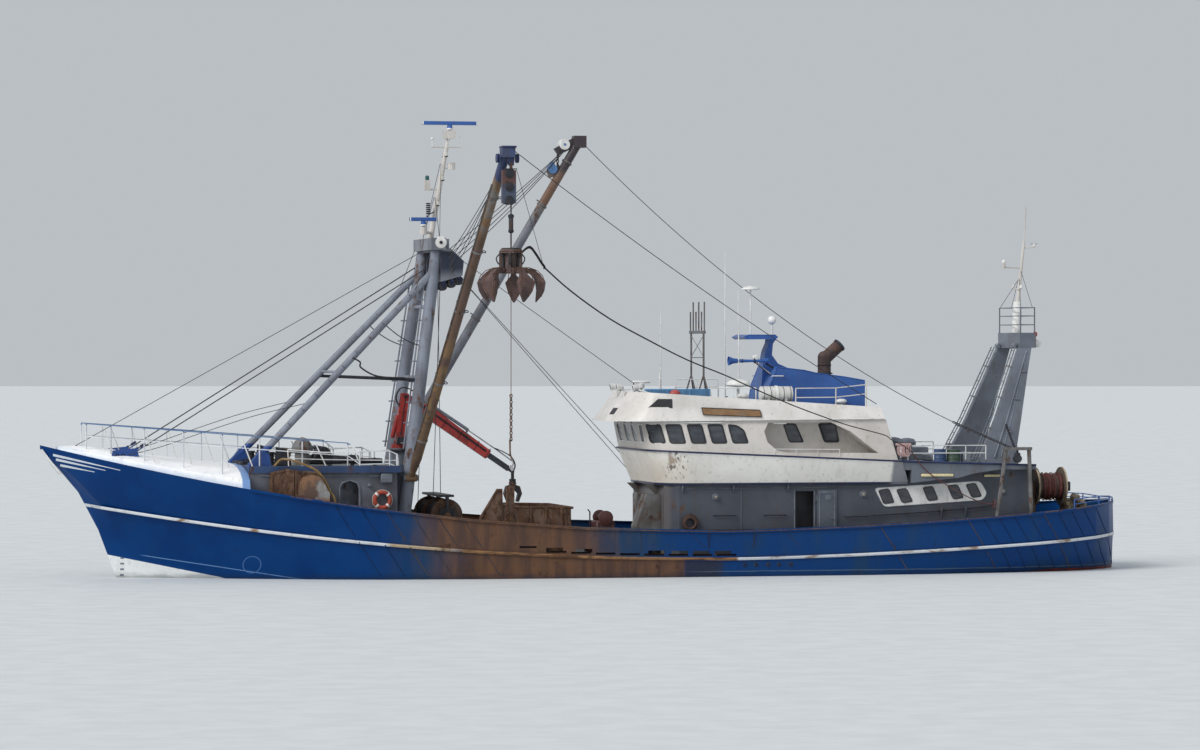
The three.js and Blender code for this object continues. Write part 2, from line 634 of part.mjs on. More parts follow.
const KNUCKLE = [6800, CRANE_Y, 6330];
const CRANE_FOOT = [CRANE_X, CRANE_Y, 4820];
const CRANE_TIP = [3800, CRANE_Y, 4290];
function craneColumn() {
  const turntable = rod([CRANE_X, CRANE_Y, 4500 + SEAT], [CRANE_X, CRANE_Y, 4640], 300, 14);
  const cheeks = [1, -1].map((side) => {
    const y0 = CRANE_Y + side * (130 + PIN_GAP);
    const y1 = y0 + side * 60;
    return acrossShip([[CRANE_X - 190, 4600], [CRANE_X + 190, 4600], [CRANE_X + 110, 4930], [CRANE_X - 110, 4930]],
      Math.min(y0, y1), Math.max(y0, y1));
  });
  return fuse(turntable, cheeks);
}
add('crane_column', craneColumn(), PAINT.red);

function craneInner() {
  const [x, y, z] = CRANE_FOOT;
  const [kx, , kz] = KNUCKLE;
  const arm = acrossShip([[x - 160, z - 60], [x, z - 110], [x + 160, z - 60], [kx + 230, kz - 420], [kx + 160, kz - 380],
    [kx - 130, kz - 420]], y - 130, y + 130);
  const cheeks = [1, -1].map((side) => {
    const y0 = y + side * (110 + PIN_GAP);
    const y1 = y0 + side * 50;
    return acrossShip([[kx - 130, kz - 520], [kx + 230, kz - 520], [kx + 130, kz + 110], [kx - 110, kz + 110]],
      Math.min(y0, y1), Math.max(y0, y1));
  });
  return fuse(arm, cheeks);
}
add('crane_inner_boom', craneInner(), PAINT.red);

// Places along the outer boom: distance from the knuckle and height above its line
const OUTER_DIRECTION = Math.atan2(CRANE_TIP[2] - KNUCKLE[2], KNUCKLE[0] - CRANE_TIP[0]);
function alongOuter(distance, rise) {
  const cos = Math.cos(OUTER_DIRECTION);
  const sin = Math.sin(OUTER_DIRECTION);
  return [KNUCKLE[0] - distance * cos + rise * sin, KNUCKLE[2] + distance * sin + rise * cos];
}

function craneOuter() {
  const outline = [[-110, -80], [-110, 80], [500, 200], [1300, 220], [3650, 130], [3650, -200], [1200, -210], [500, -100]];
  const arm = acrossShip(outline.map(([d, h]) => alongOuter(d, h)), CRANE_Y - 110, CRANE_Y + 110);
  const bore = [[900, -130], [900, 60], [3700, 60], [3700, -130]];
  return cut(arm, acrossShip(bore.map(([d, h]) => alongOuter(d, h)), CRANE_Y - 80, CRANE_Y + 80));
}
add('crane_outer_boom', craneOuter(), PAINT.red);

function craneExtension() {
  const bar = [[1900, -130 + PIN_GAP], [1900, 60 - PIN_GAP], [4550, 60 - PIN_GAP], [4550, -130 + PIN_GAP]];
  const tongue = [[4500, -95], [4500, 25], [4760, 25], [4790, -35], [4760, -95]];
  return fuse(acrossShip(bar.map(([d, h]) => alongOuter(d, h)), CRANE_Y - 80 + PIN_GAP, CRANE_Y + 80 - PIN_GAP),
    acrossShip(tongue.map(([d, h]) => alongOuter(d, h)), CRANE_Y - 35, CRANE_Y + 35));
}
add('crane_extension', craneExtension(), PAINT.dark);

const [GRAPPLE_X, GRAPPLE_Z] = alongOuter(4725, -35);
function craneGrapple() {
  const ears = [1, -1].map((side) => {
    const y0 = CRANE_Y + side * (35 + PIN_GAP);
    const y1 = y0 + side * 35;
    const plate = box(GRAPPLE_X - 45, GRAPPLE_X + 45, Math.min(y0, y1), Math.max(y0, y1), GRAPPLE_Z - 290, GRAPPLE_Z);
    return fuse(plate, rod([GRAPPLE_X, y0, GRAPPLE_Z], [GRAPPLE_X, y1, GRAPPLE_Z], 55, 12));
  });
  const rotator = rod([GRAPPLE_X, CRANE_Y, GRAPPLE_Z - 500], [GRAPPLE_X, CRANE_Y, GRAPPLE_Z - 260], 120, 10);
  const jaws = [1, -1].map((side) => acrossShip([[0, -430], [side * 240, -520], [side * 320, -780], [side * 200, -1080],
    [side * 120, -1060], [side * 190, -780], [0, -580]].map(([u, v]) => [GRAPPLE_X + u, GRAPPLE_Z + v]),
  CRANE_Y - 130, CRANE_Y + 130));
  return fuse(ears, rotator, jaws);
}
add('crane_grapple', craneGrapple(), PAINT.dark);

// Trawl winch before the wheelhouse deck, warp drums on one shaft
const WINCH = { x: 5500, z: 2150, radius: 560, half: 1750 };
function winchFrame() {
  const { x, z, half } = WINCH;
  const stands = [-half, 0, half].map((y) => acrossShip([[x - 620, 500], [x + 620, 500], [x + 260, z + 260],
    [x - 260, z + 260]], y - 60, y + 60));
  const shelf = box(x - 250, x + 250, -half, half, z + 640, z + 720);
  const posts = [-half, 0, half].map((y) => box(x - 60, x + 60, y - 60, y + 60, z + 200, z + 660));
  const beds = box(x - 620, x + 620, -half - 60, half + 60, 500, 1220);
  const shaft = rod([x, -half - 200, z], [x, half + 200, z], 100, 16);
  return cut(fuse(stands, shelf, posts, beds), shaft, deckCutter);
}
add('winch_frame', winchFrame(), PAINT.dark);

function winchDrums() {
  const { x, z, half, radius } = WINCH;
  const shaft = rod([x, -half - 180, z], [x, half + 180, z], 97.9, 16, 97.9, Math.PI / 16);
  const drums = [];
  for (const side of [1, -1]) {
    const y0 = side * 100;
    const y1 = side * (half - 100);
    drums.push(rod([x, y0, z], [x, y1, z], 380, 16));
    for (const y of [y0, y1]) drums.push(rod([x, y - 30, z], [x, y + 30, z], radius, 20));
  }
  return fuse(shaft, drums);
}
add('winch_drums', winchDrums(), PAINT.rust);

// Deck gear: hopper and trawl shoes
function hopper() {
  const outer = acrossShip([[1150, 300], [2900, 300], [3050, 2420], [1150, 2380]], -1600, 2300);
  const inner = acrossShip([[1230, 1100], [2810, 1100], [2960, 3000], [1230, 3000]], -1520, 2220);
  return cut(outer, inner, deckCutter);
}
add('fish_hopper', hopper(), PAINT.rust);

function trawlShoes() {
  const shoe = acrossShip([[3800, 300], [4700, 300], [4640, 2150], [4040, 3120], [3840, 3120]], 3300, 3380);
  const second = acrossShip([[3500, 300], [3860, 300], [3780, 3230], [3500, 3230]], 3720, 3800);
  const tie = box(3780, 3860, 3300, 3800, 600, 1600);
  return fuse(shoe, second, tie).intersect(aboveDeck(SEAT));
}
add('trawl_shoes', trawlShoes(), PAINT.rust);

// Net hauler on the foredeck
function foreHauler() {
  const base = FOREDECK_TOP + SEAT;
  return fuse(box(11050, 11500, 1300, 1800, base, base + 260), rod([11280, 1100, base + 420], [11280, 2050, base + 420], 190, 12),
    box(11200, 11360, 1350, 1750, base, base + 420));
}
add('fore_hauler', foreHauler(), PAINT.rust);

// Main deckhouse with its open doorway and slanted windows
const BAND_WINDOWS = [-9900, -10560, -11500, -12400, -13080];
function housePlan(by, chamfer) {
  const aft = HOUSE_AFT_X + by;
  const front = HOUSE_FRONT_X - by;
  const half = HOUSE_HALF - by;
  return [[aft, -half], [front - chamfer, -half], [front, chamfer - half], [front, half - chamfer],
    [front - chamfer, half], [aft, half]];
}

function deckhouse() {
  const wall = HOUSE_WALL;
  const outer = fuse(
    upwards(housePlan(0, HOUSE_CHAMFER), 200, HOUSE_TOP_FORE),
    box(HOUSE_AFT_X, -11060, -HOUSE_HALF, HOUSE_HALF, 200, HOUSE_TOP_AFT),
  );
  const inner = fuse(
    upwards(housePlan(wall, HOUSE_CHAMFER - 0.586 * wall), 0, HOUSE_TOP_FORE - wall),
    box(HOUSE_AFT_X + wall, -11060 - wall, -HOUSE_HALF + wall, HOUSE_HALF - wall, 0, HOUSE_TOP_AFT - wall),
  );
  const doorway = acrossShip([[DOOR_X[0], 950], [DOOR_X[1], 950], [DOOR_X[1], 2950], [DOOR_X[0], 2950]], -4000, 4000);
  const windows = BAND_WINDOWS.map((x) => acrossShip([[x, 3080], [x - 480, 3080], [x - 620, 2560], [x - 140, 2560]],
    -4000, 4000));
  const lugs = [1520, 2700].flatMap((z) => [-90 - PIN_GAP, 90 + PIN_GAP].map((step) => {
    const z0 = z + step + (step < 0 ? -40 : 0);
    return box(DOOR_HINGE[0] - 25, DOOR_HINGE[0] + 25, HOUSE_HALF - 20, DOOR_HINGE[1] + 20, z0, z0 + 40);
  }));
  return cut(fuse(cut(outer, inner, doorway, windows), lugs), deckCutter);
}
add('deckhouse', deckhouse(), PAINT.grey);

function deckhouseDoor() {
  const [x, y] = DOOR_HINGE;
  const leaf = box(x - 760, x - 40, y - 22, y + 22, 1000, 3000);
  const barrels = [1520, 2700].map((z) => fuse(rod([x, y, z - 90], [x, y, z + 90], 22, 8),
    box(x - 60, x, y - 20, y + 20, z - 90, z + 90)));
  return fuse(leaf, barrels);
}
add('deckhouse_door', deckhouseDoor(), PAINT.grey);

// Bridge: flared lower body, cabin with windows, roof with its brow
const KNUCKLE_RING = { front: -1500, aft: -10700, half: 3400, corner: 1500, zFront: 4440, zAft: 4020 };
const BRIDGE_FOOT = HOUSE_TOP_FORE + SEAT;
function bridgeBody() {
  return loft([
    planRing({ front: -1990, aft: -11000, half: 3000, corner: 1200, zFront: BRIDGE_FOOT, zAft: BRIDGE_FOOT }),
    planRing({ front: -1940, aft: -10990, half: 3080, corner: 1300, zFront: 3350, zAft: 3320 }),
    planRing(KNUCKLE_RING),
  ]);
}
const bridgeCutter = moved(bridgeBody(), 0, 0, SEAT);
add('bridge_lower', bridgeBody(), PAINT.white);

const CABIN_LOW = { front: -1560, aft: -10600, half: 3330, corner: 1400, zFront: 4380, zAft: 3900 };
const CABIN_TOP = { front: -1315, aft: -10200, half: 3000, corner: 1300, zFront: 5430, zAft: 5500 };
const WALL = 80;
function inset(ring, by) {
  return { ...ring, front: ring.front - by, aft: ring.aft + by, half: ring.half - by, corner: ring.corner - by / 2 };
}

const RECESS = [[-5850, 5390], [-5680, 5080], [-5780, 4700], [-6100, 4420], [-6500, 4330], [-9850, 4300], [-9350, 4680],
  [-8850, 5080], [-8150, 5400]];
function wheelhouse() {
  const outer = loft([planRing(CABIN_LOW), planRing(CABIN_TOP)]);
  const floor = { zFront: 4520, zAft: 4120 };
  const ceiling = { zFront: 5340, zAft: 5420 };
  const cavity = loft([planRing({ ...inset(CABIN_LOW, WALL), ...floor }), planRing({ ...inset(CABIN_TOP, WALL), ...ceiling })]);
  const fore = cavity.intersect(box(-5550, 0, -4000, 4000, 0, 9000));
  const aft = cavity.intersect(box(-12000, -5500, -2250, 2250, 0, 9000));
  const recesses = [1, -1].map((side) => acrossShip(RECESS, side > 0 ? 2350 : -4000, side > 0 ? 4000 : -2350));
  const cornerWindow = acrossShip([[-1520, 5330], [-1960, 5330], [-2110, 4690], [-1690, 4690]], -4000, 4000);
  const sideWindows = [0, 1, 2].map((k) => {
    const x = -2130 - 750 * k;
    return acrossShip([[x, 5330], [x - 530, 5330], [x - 660, 4680], [x - 140, 4680]], -4000, 4000);
  });
  const quarter = acrossShip([[-4380, 5330], [-4700, 5290], [-4940, 5130], [-5070, 4680], [-4520, 4680]], -4000, 4000);
  const frontWindows = [-2030, -1100, 0, 1100, 2030].map((y) => {
    const half = Math.abs(y) > 2000 ? 180 : 390;
    return box(-1800, 0, y - half, y + half, 4690, 5330);
  });
  const innerWindows = [-6590, -7880].map((x) => acrossShip([[x, 5330], [x - 445, 5330], [x - 740, 4690], [x - 225, 4690]],
    -4000, 4000));
  const aftWindows = [-1500, 0, 1500].map((y) => box(-12000, -9800, y - 350, y + 350, 4750, 5250));
  const windows = [cornerWindow, sideWindows, quarter, frontWindows, innerWindows, aftWindows];
  return cut(outer, fore, aft, recesses, windows, bridgeCutter);
}
const wheelhouseBody = wheelhouse();
add('wheelhouse', wheelhouseBody, PAINT.white);

const ROOF_LOW = { front: -600, aft: -10150, half: 3080, corner: 1100, zFront: 5430 + SEAT, zAft: 5500 + SEAT, bow: 40 };
const ROOF_TOP = { front: -1350, aft: -10050, half: 2900, corner: 1000, zFront: 6480, zAft: 5930, bow: 40 };
const ROOF_DECK = { zFront: 5800, zAft: 5680 };
function roof() {
  const body = loft([planRing(ROOF_LOW), planRing(ROOF_TOP)]);
  const deck = inset(ROOF_TOP, 90);
  const pocket = loft([planRing({ ...deck, ...ROOF_DECK }), planRing({ ...deck, zFront: 6900, zAft: 6700 })]);
  const slots = [2870, -4000].map((y) => acrossShip([[-1530, 5950], [-2370, 5950], [-2370, 6240], [-1790, 6240]], y, y + 1130));
  return cut(body, pocket, slots, moved(wheelhouseBody, 0, 0, SEAT));
}
const roofBody = roof();
add('wheelhouse_roof', roofBody, PAINT.white);
const roofCutter = moved(roofBody, 0, 0, SEAT);

// Blue casing with its foil, and the exhaust behind it
const CASING_TOP = [[-7630, 7250], [-8110, 7140], [-9150, 7010], [-9900, 6880]];
function casing() {
  const front = [[-6100, 5300], [-6250, 6000], [-6360, 6700], [-6510, 7060], [-6620, 7370]];
  const body = acrossShip([...front, ...CASING_TOP, [-9900, 5300]], -1350, 1350);
  const neckFront = [[-6300, 6300], [-6360, 7370], [-6470, 7930], [-6600, 8230], [-6620, 8450]];
  const neckBack = [[-6930, 8450], [-6750, 8200], [-6710, 7790], [-6940, 7480], [-7600, 7200], [-7600, 6300]];
  const neck = acrossShip([...neckFront, ...neckBack], -300, 300);
  const foil = acrossShip([[-5500, 8430], [-5620, 8350], [-6680, 8360], [-6780, 8430], [-6680, 8520], [-5700, 8520]], -900, 900);
  return trimmedBelow(cut(fuse(body, neck, foil), roofCutter), 5650);
}
add('casing', casing(), PAINT.trimBlue);

function exhaust() {
  const riser = rod([-8750, 0, 6900], [-8750, 0, 7760], 240, 14);
  const elbow = rod([-8750, 0, 7640], [-9350, 0, 8180], 230, 14);
  const bend = new THREE.IcosahedronGeometry(250, 1);
  bend.translate(-8750, 0, 7700);
  const [, fore, aft] = CASING_TOP;
  const below = [[fore[0], fore[1] + SEAT], [aft[0], aft[1] + SEAT], [aft[0], 6500], [fore[0], 6500]];
  return cut(fuse(riser, elbow, solid(bend)), acrossShip(below, -1400, 1400));
}
add('exhaust_pipe', exhaust(), PAINT.rust);

function liferaft() {
  const [x0, x1] = [-6880, -5740];
  const y = 2350;
  const z = 6400;
  const drum = rod([x0, y, z], [x1, y, z], 280, 16);
  const cradle = [x0 + 250, x1 - 250].map((x) => box(x - 40, x + 40, y - 230, y + 230, 5500, z));
  return cut(fuse(drum, cradle), roofCutter, box(-8000, -5000, 2000, 2700, 5000, 5700));
}
add('liferaft', liferaft(), PAINT.white);

// Aerial frame: two tripods with a cross bar and tubes
function aerialFrame() {
  const x = -4010;
  const feet = [];
  for (const side of [1, -1]) {
    const y = 930 * side;
    feet.push(rod([x, y, 6900], [x, y, 8585], 38, 6));
    for (const [dx, dy] of [[450, 20], [-320, 290], [-280, -310]]) {
      feet.push(rod([x + dx, y + dy, 5600], [x + dx * 0.03, y + dy * 0.03, 7030], 30, 5));
    }
  }
  const bar = rod([x, -1120, 8600], [x, 1120, 8600], 42, 8);
  const tubes = [-1040, -620, -210, 210, 620, 1040].map((y, k) => rod([x, y, 8590], [x, y, k % 2 ? 9700 : 9350], 27, 6));
  return trimmedBelow(cut(fuse(feet, bar, tubes), roofCutter), 5750);
}
add('aerial_frame', aerialFrame(), PAINT.grey);

function roofRail() {
  const tops = [[-6910, 2855, 6610], [-8390, 2855, 6620], [-9520, 2855, 6740]];
  return railRun(tops, [0, 330], tops.map(() => 840));
}
eachSide('roof_rail', roofRail(), PAINT.white, roofCutter);

// Boat deck aft of the bridge with its rails
function boatDeck() {
  const underside = HOUSE_TOP_AFT + SEAT;
  const plate = acrossShip([[-10834, underside], [-15700, underside], [-15700, 3850], [-10712, 3990]], -3350, 3350);
  const fascia = acrossShip([[-11040, 3780], [-11050, 3230], [-12000, 3330], [-12800, 3400], [-13400, 3560], [-14400, 3700],
    [-14400, 3780]], 3200, 3350);
  const tops = [[-10950, 3250], [-11900, 3250], [-13100, 3250], [-13850, 3250]].map(([x, y]) => [x, y, 4560]);
  const rail = railRun(tops, [0, 270], tops.map(() => 700));
  const bridgeRoom = [SEAT, 0, -SEAT].map((step) => moved(bridgeBody(), -SEAT, step, 0));
  return cut(fuse(plate, fascia, mirrored(fascia), rail, mirrored(rail)), bridgeRoom);
}
const boatDeckBody = boatDeck();
add('boat_deck', boatDeckBody, PAINT.grey);
const boatDeckCutter = moved(boatDeckBody, 0, 0, SEAT);

// Stern gantry: two leaning box plates, a platform and a mast
function gantryLeg() {
  const profile = [[-13900, 3500], [-13920, 3940], [-14650, 5450], [-15700, 8050], [-16150, 8050], [-15950, 7150], [-15600, 5450],
    [-15400, 4550], [-15400, 3500]];
  const blade = acrossShip(profile, 0, 340);
  const geometry = shape(blade);
  const lean = (2050 - 1250) / (8050 - 3800);
  const position = geometry.attributes.position;
  for (let i = 0; i < position.count; i += 1) {
    const z = position.getZ(i);
    position.setY(i, position.getY(i) + 1900 - lean * (z - 3800));
  }
  const leg = cut(solid(geometry), boatDeckCutter, box(-17000, -13000, 0, 4000, 0, 3800));
  return leg;
}
eachSide('gantry_leg', gantryLeg(), PAINT.grey);

function gantryTop() {
  const z = 8050 + SEAT;
  const [aft, fore, half] = [-16370, -15750, 1300];
  const tray = cut(box(aft, fore, -half, half, z, z + 550), box(aft + 90, fore - 90, 90 - half, half - 90, z + 160, z + 900));
  const ring = [[aft, half], [fore, half], [fore, -half], [aft, -half], [aft, half]]
    .map(([x, y]) => [x + (x < -16000 ? 45 : -45), y - 45 * Math.sign(y)]);
  const rails = [9510, 9210, 8890].map((height) => pipe(ring.map(([x, y]) => [x, y, height]), 24));
  const posts = ring.slice(0, 4).map(([x, y]) => rod([x, y, z + 500], [x, y, 9530], 24, 6));
  return fuse(tray, rails, posts);
}
add('gantry_platform', gantryTop(), PAINT.grey);

function sternMast() {
  const foot = 8050 + 160 + 2 * SEAT;
  const lower = trimmedBelow(rod([-15995, 0, foot - 100], [-16080, 0, 9700], 150, 10, 110), foot);
  const upper = rod([-16080, 0, 9650], [-16330, 0, 11950], 75, 8, 50);
  const whip = rod([-16330, 0, 11900], [-16400, 0, 13200], 25, 6);
  const arms = [rod([-16180, 0, 10980], [-15500, 0, 11000], 28, 6), rod([-16280, 0, 11700], [-16750, 0, 11750], 24, 6),
    rod([-16080, -450, 10200], [-16080, 450, 10200], 24, 6), rod([-15560, 0, 10950], [-15560, 0, 11150], 60, 8)];
  return fuse(lower, upper, whip, arms);
}
add('stern_mast', sternMast(), PAINT.white);

// Gallows frames on the side decks and the rope reel aft
function gallows() {
  const z = 4380;
  const y = 3460;
  const beam = box(-15490, -14450, y - 100, y + 100, z, z + 110);
  const posts = [[-14540, -14020], [-15400, -15550]].map(([top, low]) => rod([low, y, 700], [top, y, z + 20], 75, 8));
  return fuse(beam, posts).intersect(aboveDeck(SEAT));
}
eachSide('gallows', gallows(), PAINT.rust);

const REEL = { radius: 700, half: 490, barrel: 420 };
function reelStand() {
  const [x, y, z] = REEL_CENTRE;
  const stands = [1, -1].map((side) => {
    const x0 = x + side * (REEL.half + 60);
    const x1 = x0 + side * 80;
    return alongShip([[y - 500, 500], [y + 500, 500], [y + 160, z + 160], [y - 160, z + 160]], Math.min(x0, x1), Math.max(x0, x1));
  });
  const bed = box(x - REEL.half - 140, x + REEL.half + 140, y - 500, y + 500, 500, 1900);
  return cut(fuse(stands, bed), rod([x - 900, y, z], [x + 900, y, z], 81, 16), deckCutter);
}
add('reel_stand', reelStand(), PAINT.rust);

function reel() {
  const [x, y, z] = REEL_CENTRE;
  const shaft = rod([x - REEL.half - 160, y, z], [x + REEL.half + 160, y, z], 79.2, 16, 79.2, Math.PI / 16);
  const barrel = rod([x - REEL.half, y, z], [x + REEL.half, y, z], REEL.barrel, 18);
  const flanges = [1, -1].map((side) => {
    const x0 = x + side * REEL.half;
    return rod([x0 - 30, y, z], [x0 + 30, y, z], REEL.radius, 24);
  });
  return fuse(shaft, barrel, flanges);
}
add('rope_reel', reel(), PAINT.rust);

function sternRail() {
  const port = [[-17200, 330], [-18400, 330], [-19100, 240], [-19480, 130]];
  const stops = [...port.map((row) => [...row, 1]), ...port.slice().reverse().map((row) => [...row, -1])];
  const tops = stops.map(([x, rise, side]) => [x, side * (sheerHalf(x) - 60), sheerZ(x) + rise]);
  const middle = tops.map(([x, y, z], i) => [x, y, z - stops[i][1] / 2]);
  const rail = fuse(railRun(tops, [0], stops.map(([, rise]) => rise - 15)), pipe(middle, 20));
  const caps = [bulwark, mirrored(bulwark)].map((body) => moved(body, 0, 0, SEAT));
  return cut(rail, caps);
}
add('stern_rail', sternRail(), PAINT.trimBlue);

// Propeller, nozzle and rudder
function nozzle() {
  const profile = [[1080, -450], [1130, -470], [1200, -250], [1180, 430], [1110, 460], [1080, 200], [1080, -450]];
  const geometry = new THREE.LatheGeometry(profile.map(([r, h]) => new THREE.Vector2(r, h)), 28);
  geometry.rotateZ(Math.PI / 2);
  geometry.translate(NOZZLE_X, 0, SHAFT_Z);
  const raw = solid(geometry);
  const ring = raw.volume() > 0 ? raw : solid(flipped(shape(raw)));
  const headbox = box(NOZZLE_X - 300, NOZZLE_X + 350, -130, 130, SHAFT_Z + 1120, -600);
  return cut(fuse(ring, headbox), moved(hull, 0, 0, -SEAT), moved(hull, 0, 0, SEAT), moved(hull, -SEAT, 0, 0));
}
add('nozzle', nozzle(), PAINT.steel);

function propeller() {
  const hub = rod([NOZZLE_X + 300, 0, SHAFT_Z], [NOZZLE_X - 280, 0, SHAFT_Z], 210, 14, 150);
  const shaft = rod([NOZZLE_X + 250, 0, SHAFT_Z], [-15250 - SEAT, 0, SHAFT_Z], 120, 12);
  const blades = [];
  for (let k = 0; k < 4; k += 1) {
    const rings = [[150, 150, 40, 55], [420, 260, 32, 42], [750, 330, 22, 28], [980, 250, 14, 22], [1055, 90, 8, 20]]
      .map(([r, chord, thick, pitch]) => {
        const turn = THREE.MathUtils.degToRad(pitch);
        const corners = [[chord, 0], [0, thick], [-chord, 0], [0, -thick]];
        return corners.map(([u, v]) => [NOZZLE_X + u * Math.sin(turn) + v * Math.cos(turn),
          u * Math.cos(turn) - v * Math.sin(turn), r]);
      });
    const geometry = shape(loft(rings));
    geometry.rotateX((k * Math.PI) / 2);
    geometry.translate(0, 0, SHAFT_Z);
    blades.push(solid(geometry));
  }
  return fuse(hub, shaft, blades);
}
add('propeller', propeller(), PAINT.bronze);

function rudder() {
  const section = [[-16650, 0], [-16720, 80], [-17000, 110], [-17500, 60], [-17850, 8], [-17850, -8], [-17500, -60],
    [-17000, -110], [-16720, -80]];
  const blade = upwards(section, -3600, -1250);
  const stock = rod([RUDDER_X, 0, -1300], [RUDDER_X, 0, -1150 - SEAT], 100, 12);
  const pintle = rod([RUDDER_X, 0, -3700 + SEAT], [RUDDER_X, 0, -3590], 60, 12);
  return fuse(blade, stock, pintle);
}
add('rudder', rudder(), PAINT.hullBlue);

// Main stays from the stem brackets to the mast head
function forestay() {
  const foot = [16650, 1350, 4300];
  const bracket = acrossShip([[16300, 4100], [17300, 4200], [17250, 4480], [16400, 4560]], 1300, 1400);
  const stay = rod(foot, between(MAST_BASE, MAST_TOP, 0.955), 22, 6);
  return cut(fuse(bracket, stay), legCutter);
}
eachSide('forestay', forestay(), PAINT.dark, whalebackCutter);

export default group;
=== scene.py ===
"""Looks for a beam trawler of about 39 m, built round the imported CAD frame.

Metres, +X to the bow, +Y to port, +Z up from the waterline.
"""

import math

import bmesh
import bpy
from mathutils import Matrix, Vector
from mathutils.bvhtree import BVHTree


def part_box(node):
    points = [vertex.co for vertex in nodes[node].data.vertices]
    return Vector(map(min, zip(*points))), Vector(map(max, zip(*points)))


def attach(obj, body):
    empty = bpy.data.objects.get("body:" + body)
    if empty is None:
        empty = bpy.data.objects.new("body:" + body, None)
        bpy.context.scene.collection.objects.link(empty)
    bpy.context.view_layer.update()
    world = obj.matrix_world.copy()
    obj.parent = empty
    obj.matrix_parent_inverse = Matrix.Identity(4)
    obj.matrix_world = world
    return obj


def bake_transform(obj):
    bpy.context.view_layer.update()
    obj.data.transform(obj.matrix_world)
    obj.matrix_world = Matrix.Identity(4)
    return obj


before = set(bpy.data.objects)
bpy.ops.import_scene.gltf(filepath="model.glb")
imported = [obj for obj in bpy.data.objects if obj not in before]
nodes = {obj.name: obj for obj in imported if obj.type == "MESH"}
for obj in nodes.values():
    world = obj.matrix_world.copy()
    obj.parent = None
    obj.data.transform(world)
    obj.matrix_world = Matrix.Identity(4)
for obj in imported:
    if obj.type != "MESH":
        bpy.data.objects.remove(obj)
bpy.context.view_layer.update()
scene = bpy.context.scene


# Camera, light and floor

TURN = math.radians(12.7)
PITCH = math.radians(-0.32)
CAMERA_AT = (36.015, 161.649, 8.0)
LENS_MM = 138.6
FILM_MM = 36
FAR_CLIP = 1000
SKY = (0.85, 0.90, 0.95, 1)
SKY_STRENGTH = 0.58


def add_camera():
    ahead = Vector((-math.sin(TURN) * math.cos(PITCH), -math.cos(TURN) * math.cos(PITCH), math.sin(PITCH)))
    right = Vector((-math.cos(TURN), math.sin(TURN), 0))
    up = right.cross(ahead)
    data = bpy.data.cameras.new("camera")
    data.lens = LENS_MM
    data.sensor_width = FILM_MM
    data.clip_end = FAR_CLIP
    camera = bpy.data.objects.new("camera", data)
    camera.matrix_world = Matrix((right, up, -ahead)).transposed().to_4x4()
    camera.location = CAMERA_AT
    scene.collection.objects.link(camera)
    scene.camera = camera


def add_sun(name, direction, strength, spread, colour):
    data = bpy.data.lights.new(name, "SUN")
    data.energy = strength
    data.angle = math.radians(spread)
    data.color = colour
    sun = bpy.data.objects.new(name, data)
    sun.rotation_euler = Vector(direction).to_track_quat("-Z", "Y").to_euler()
    scene.collection.objects.link(sun)


add_camera()
add_sun("key", (-0.80, -0.42, -0.75), 2.3, 28, (1.0, 0.98, 0.95))
add_sun("fill", (0.15, -0.95, 0.10), 0.32, 60, (0.95, 0.97, 1.0))
world = bpy.data.worlds.new("soft_sky")
world.use_nodes = True
world.node_tree.nodes["Background"].inputs["Color"].default_value = SKY
world.node_tree.nodes["Background"].inputs["Strength"].default_value = SKY_STRENGTH
scene.world = world
scene.view_settings.view_transform = "Standard"


# Materials: node graphs over the frame's own coordinates

def rgb(*levels):
    """A colour given in display levels from 0 to 255, as linear light."""
    return tuple(((v / 255 + 0.055) / 1.055) ** 2.4 if v > 10 else v / 255 / 12.92 for v in levels) + (1,)


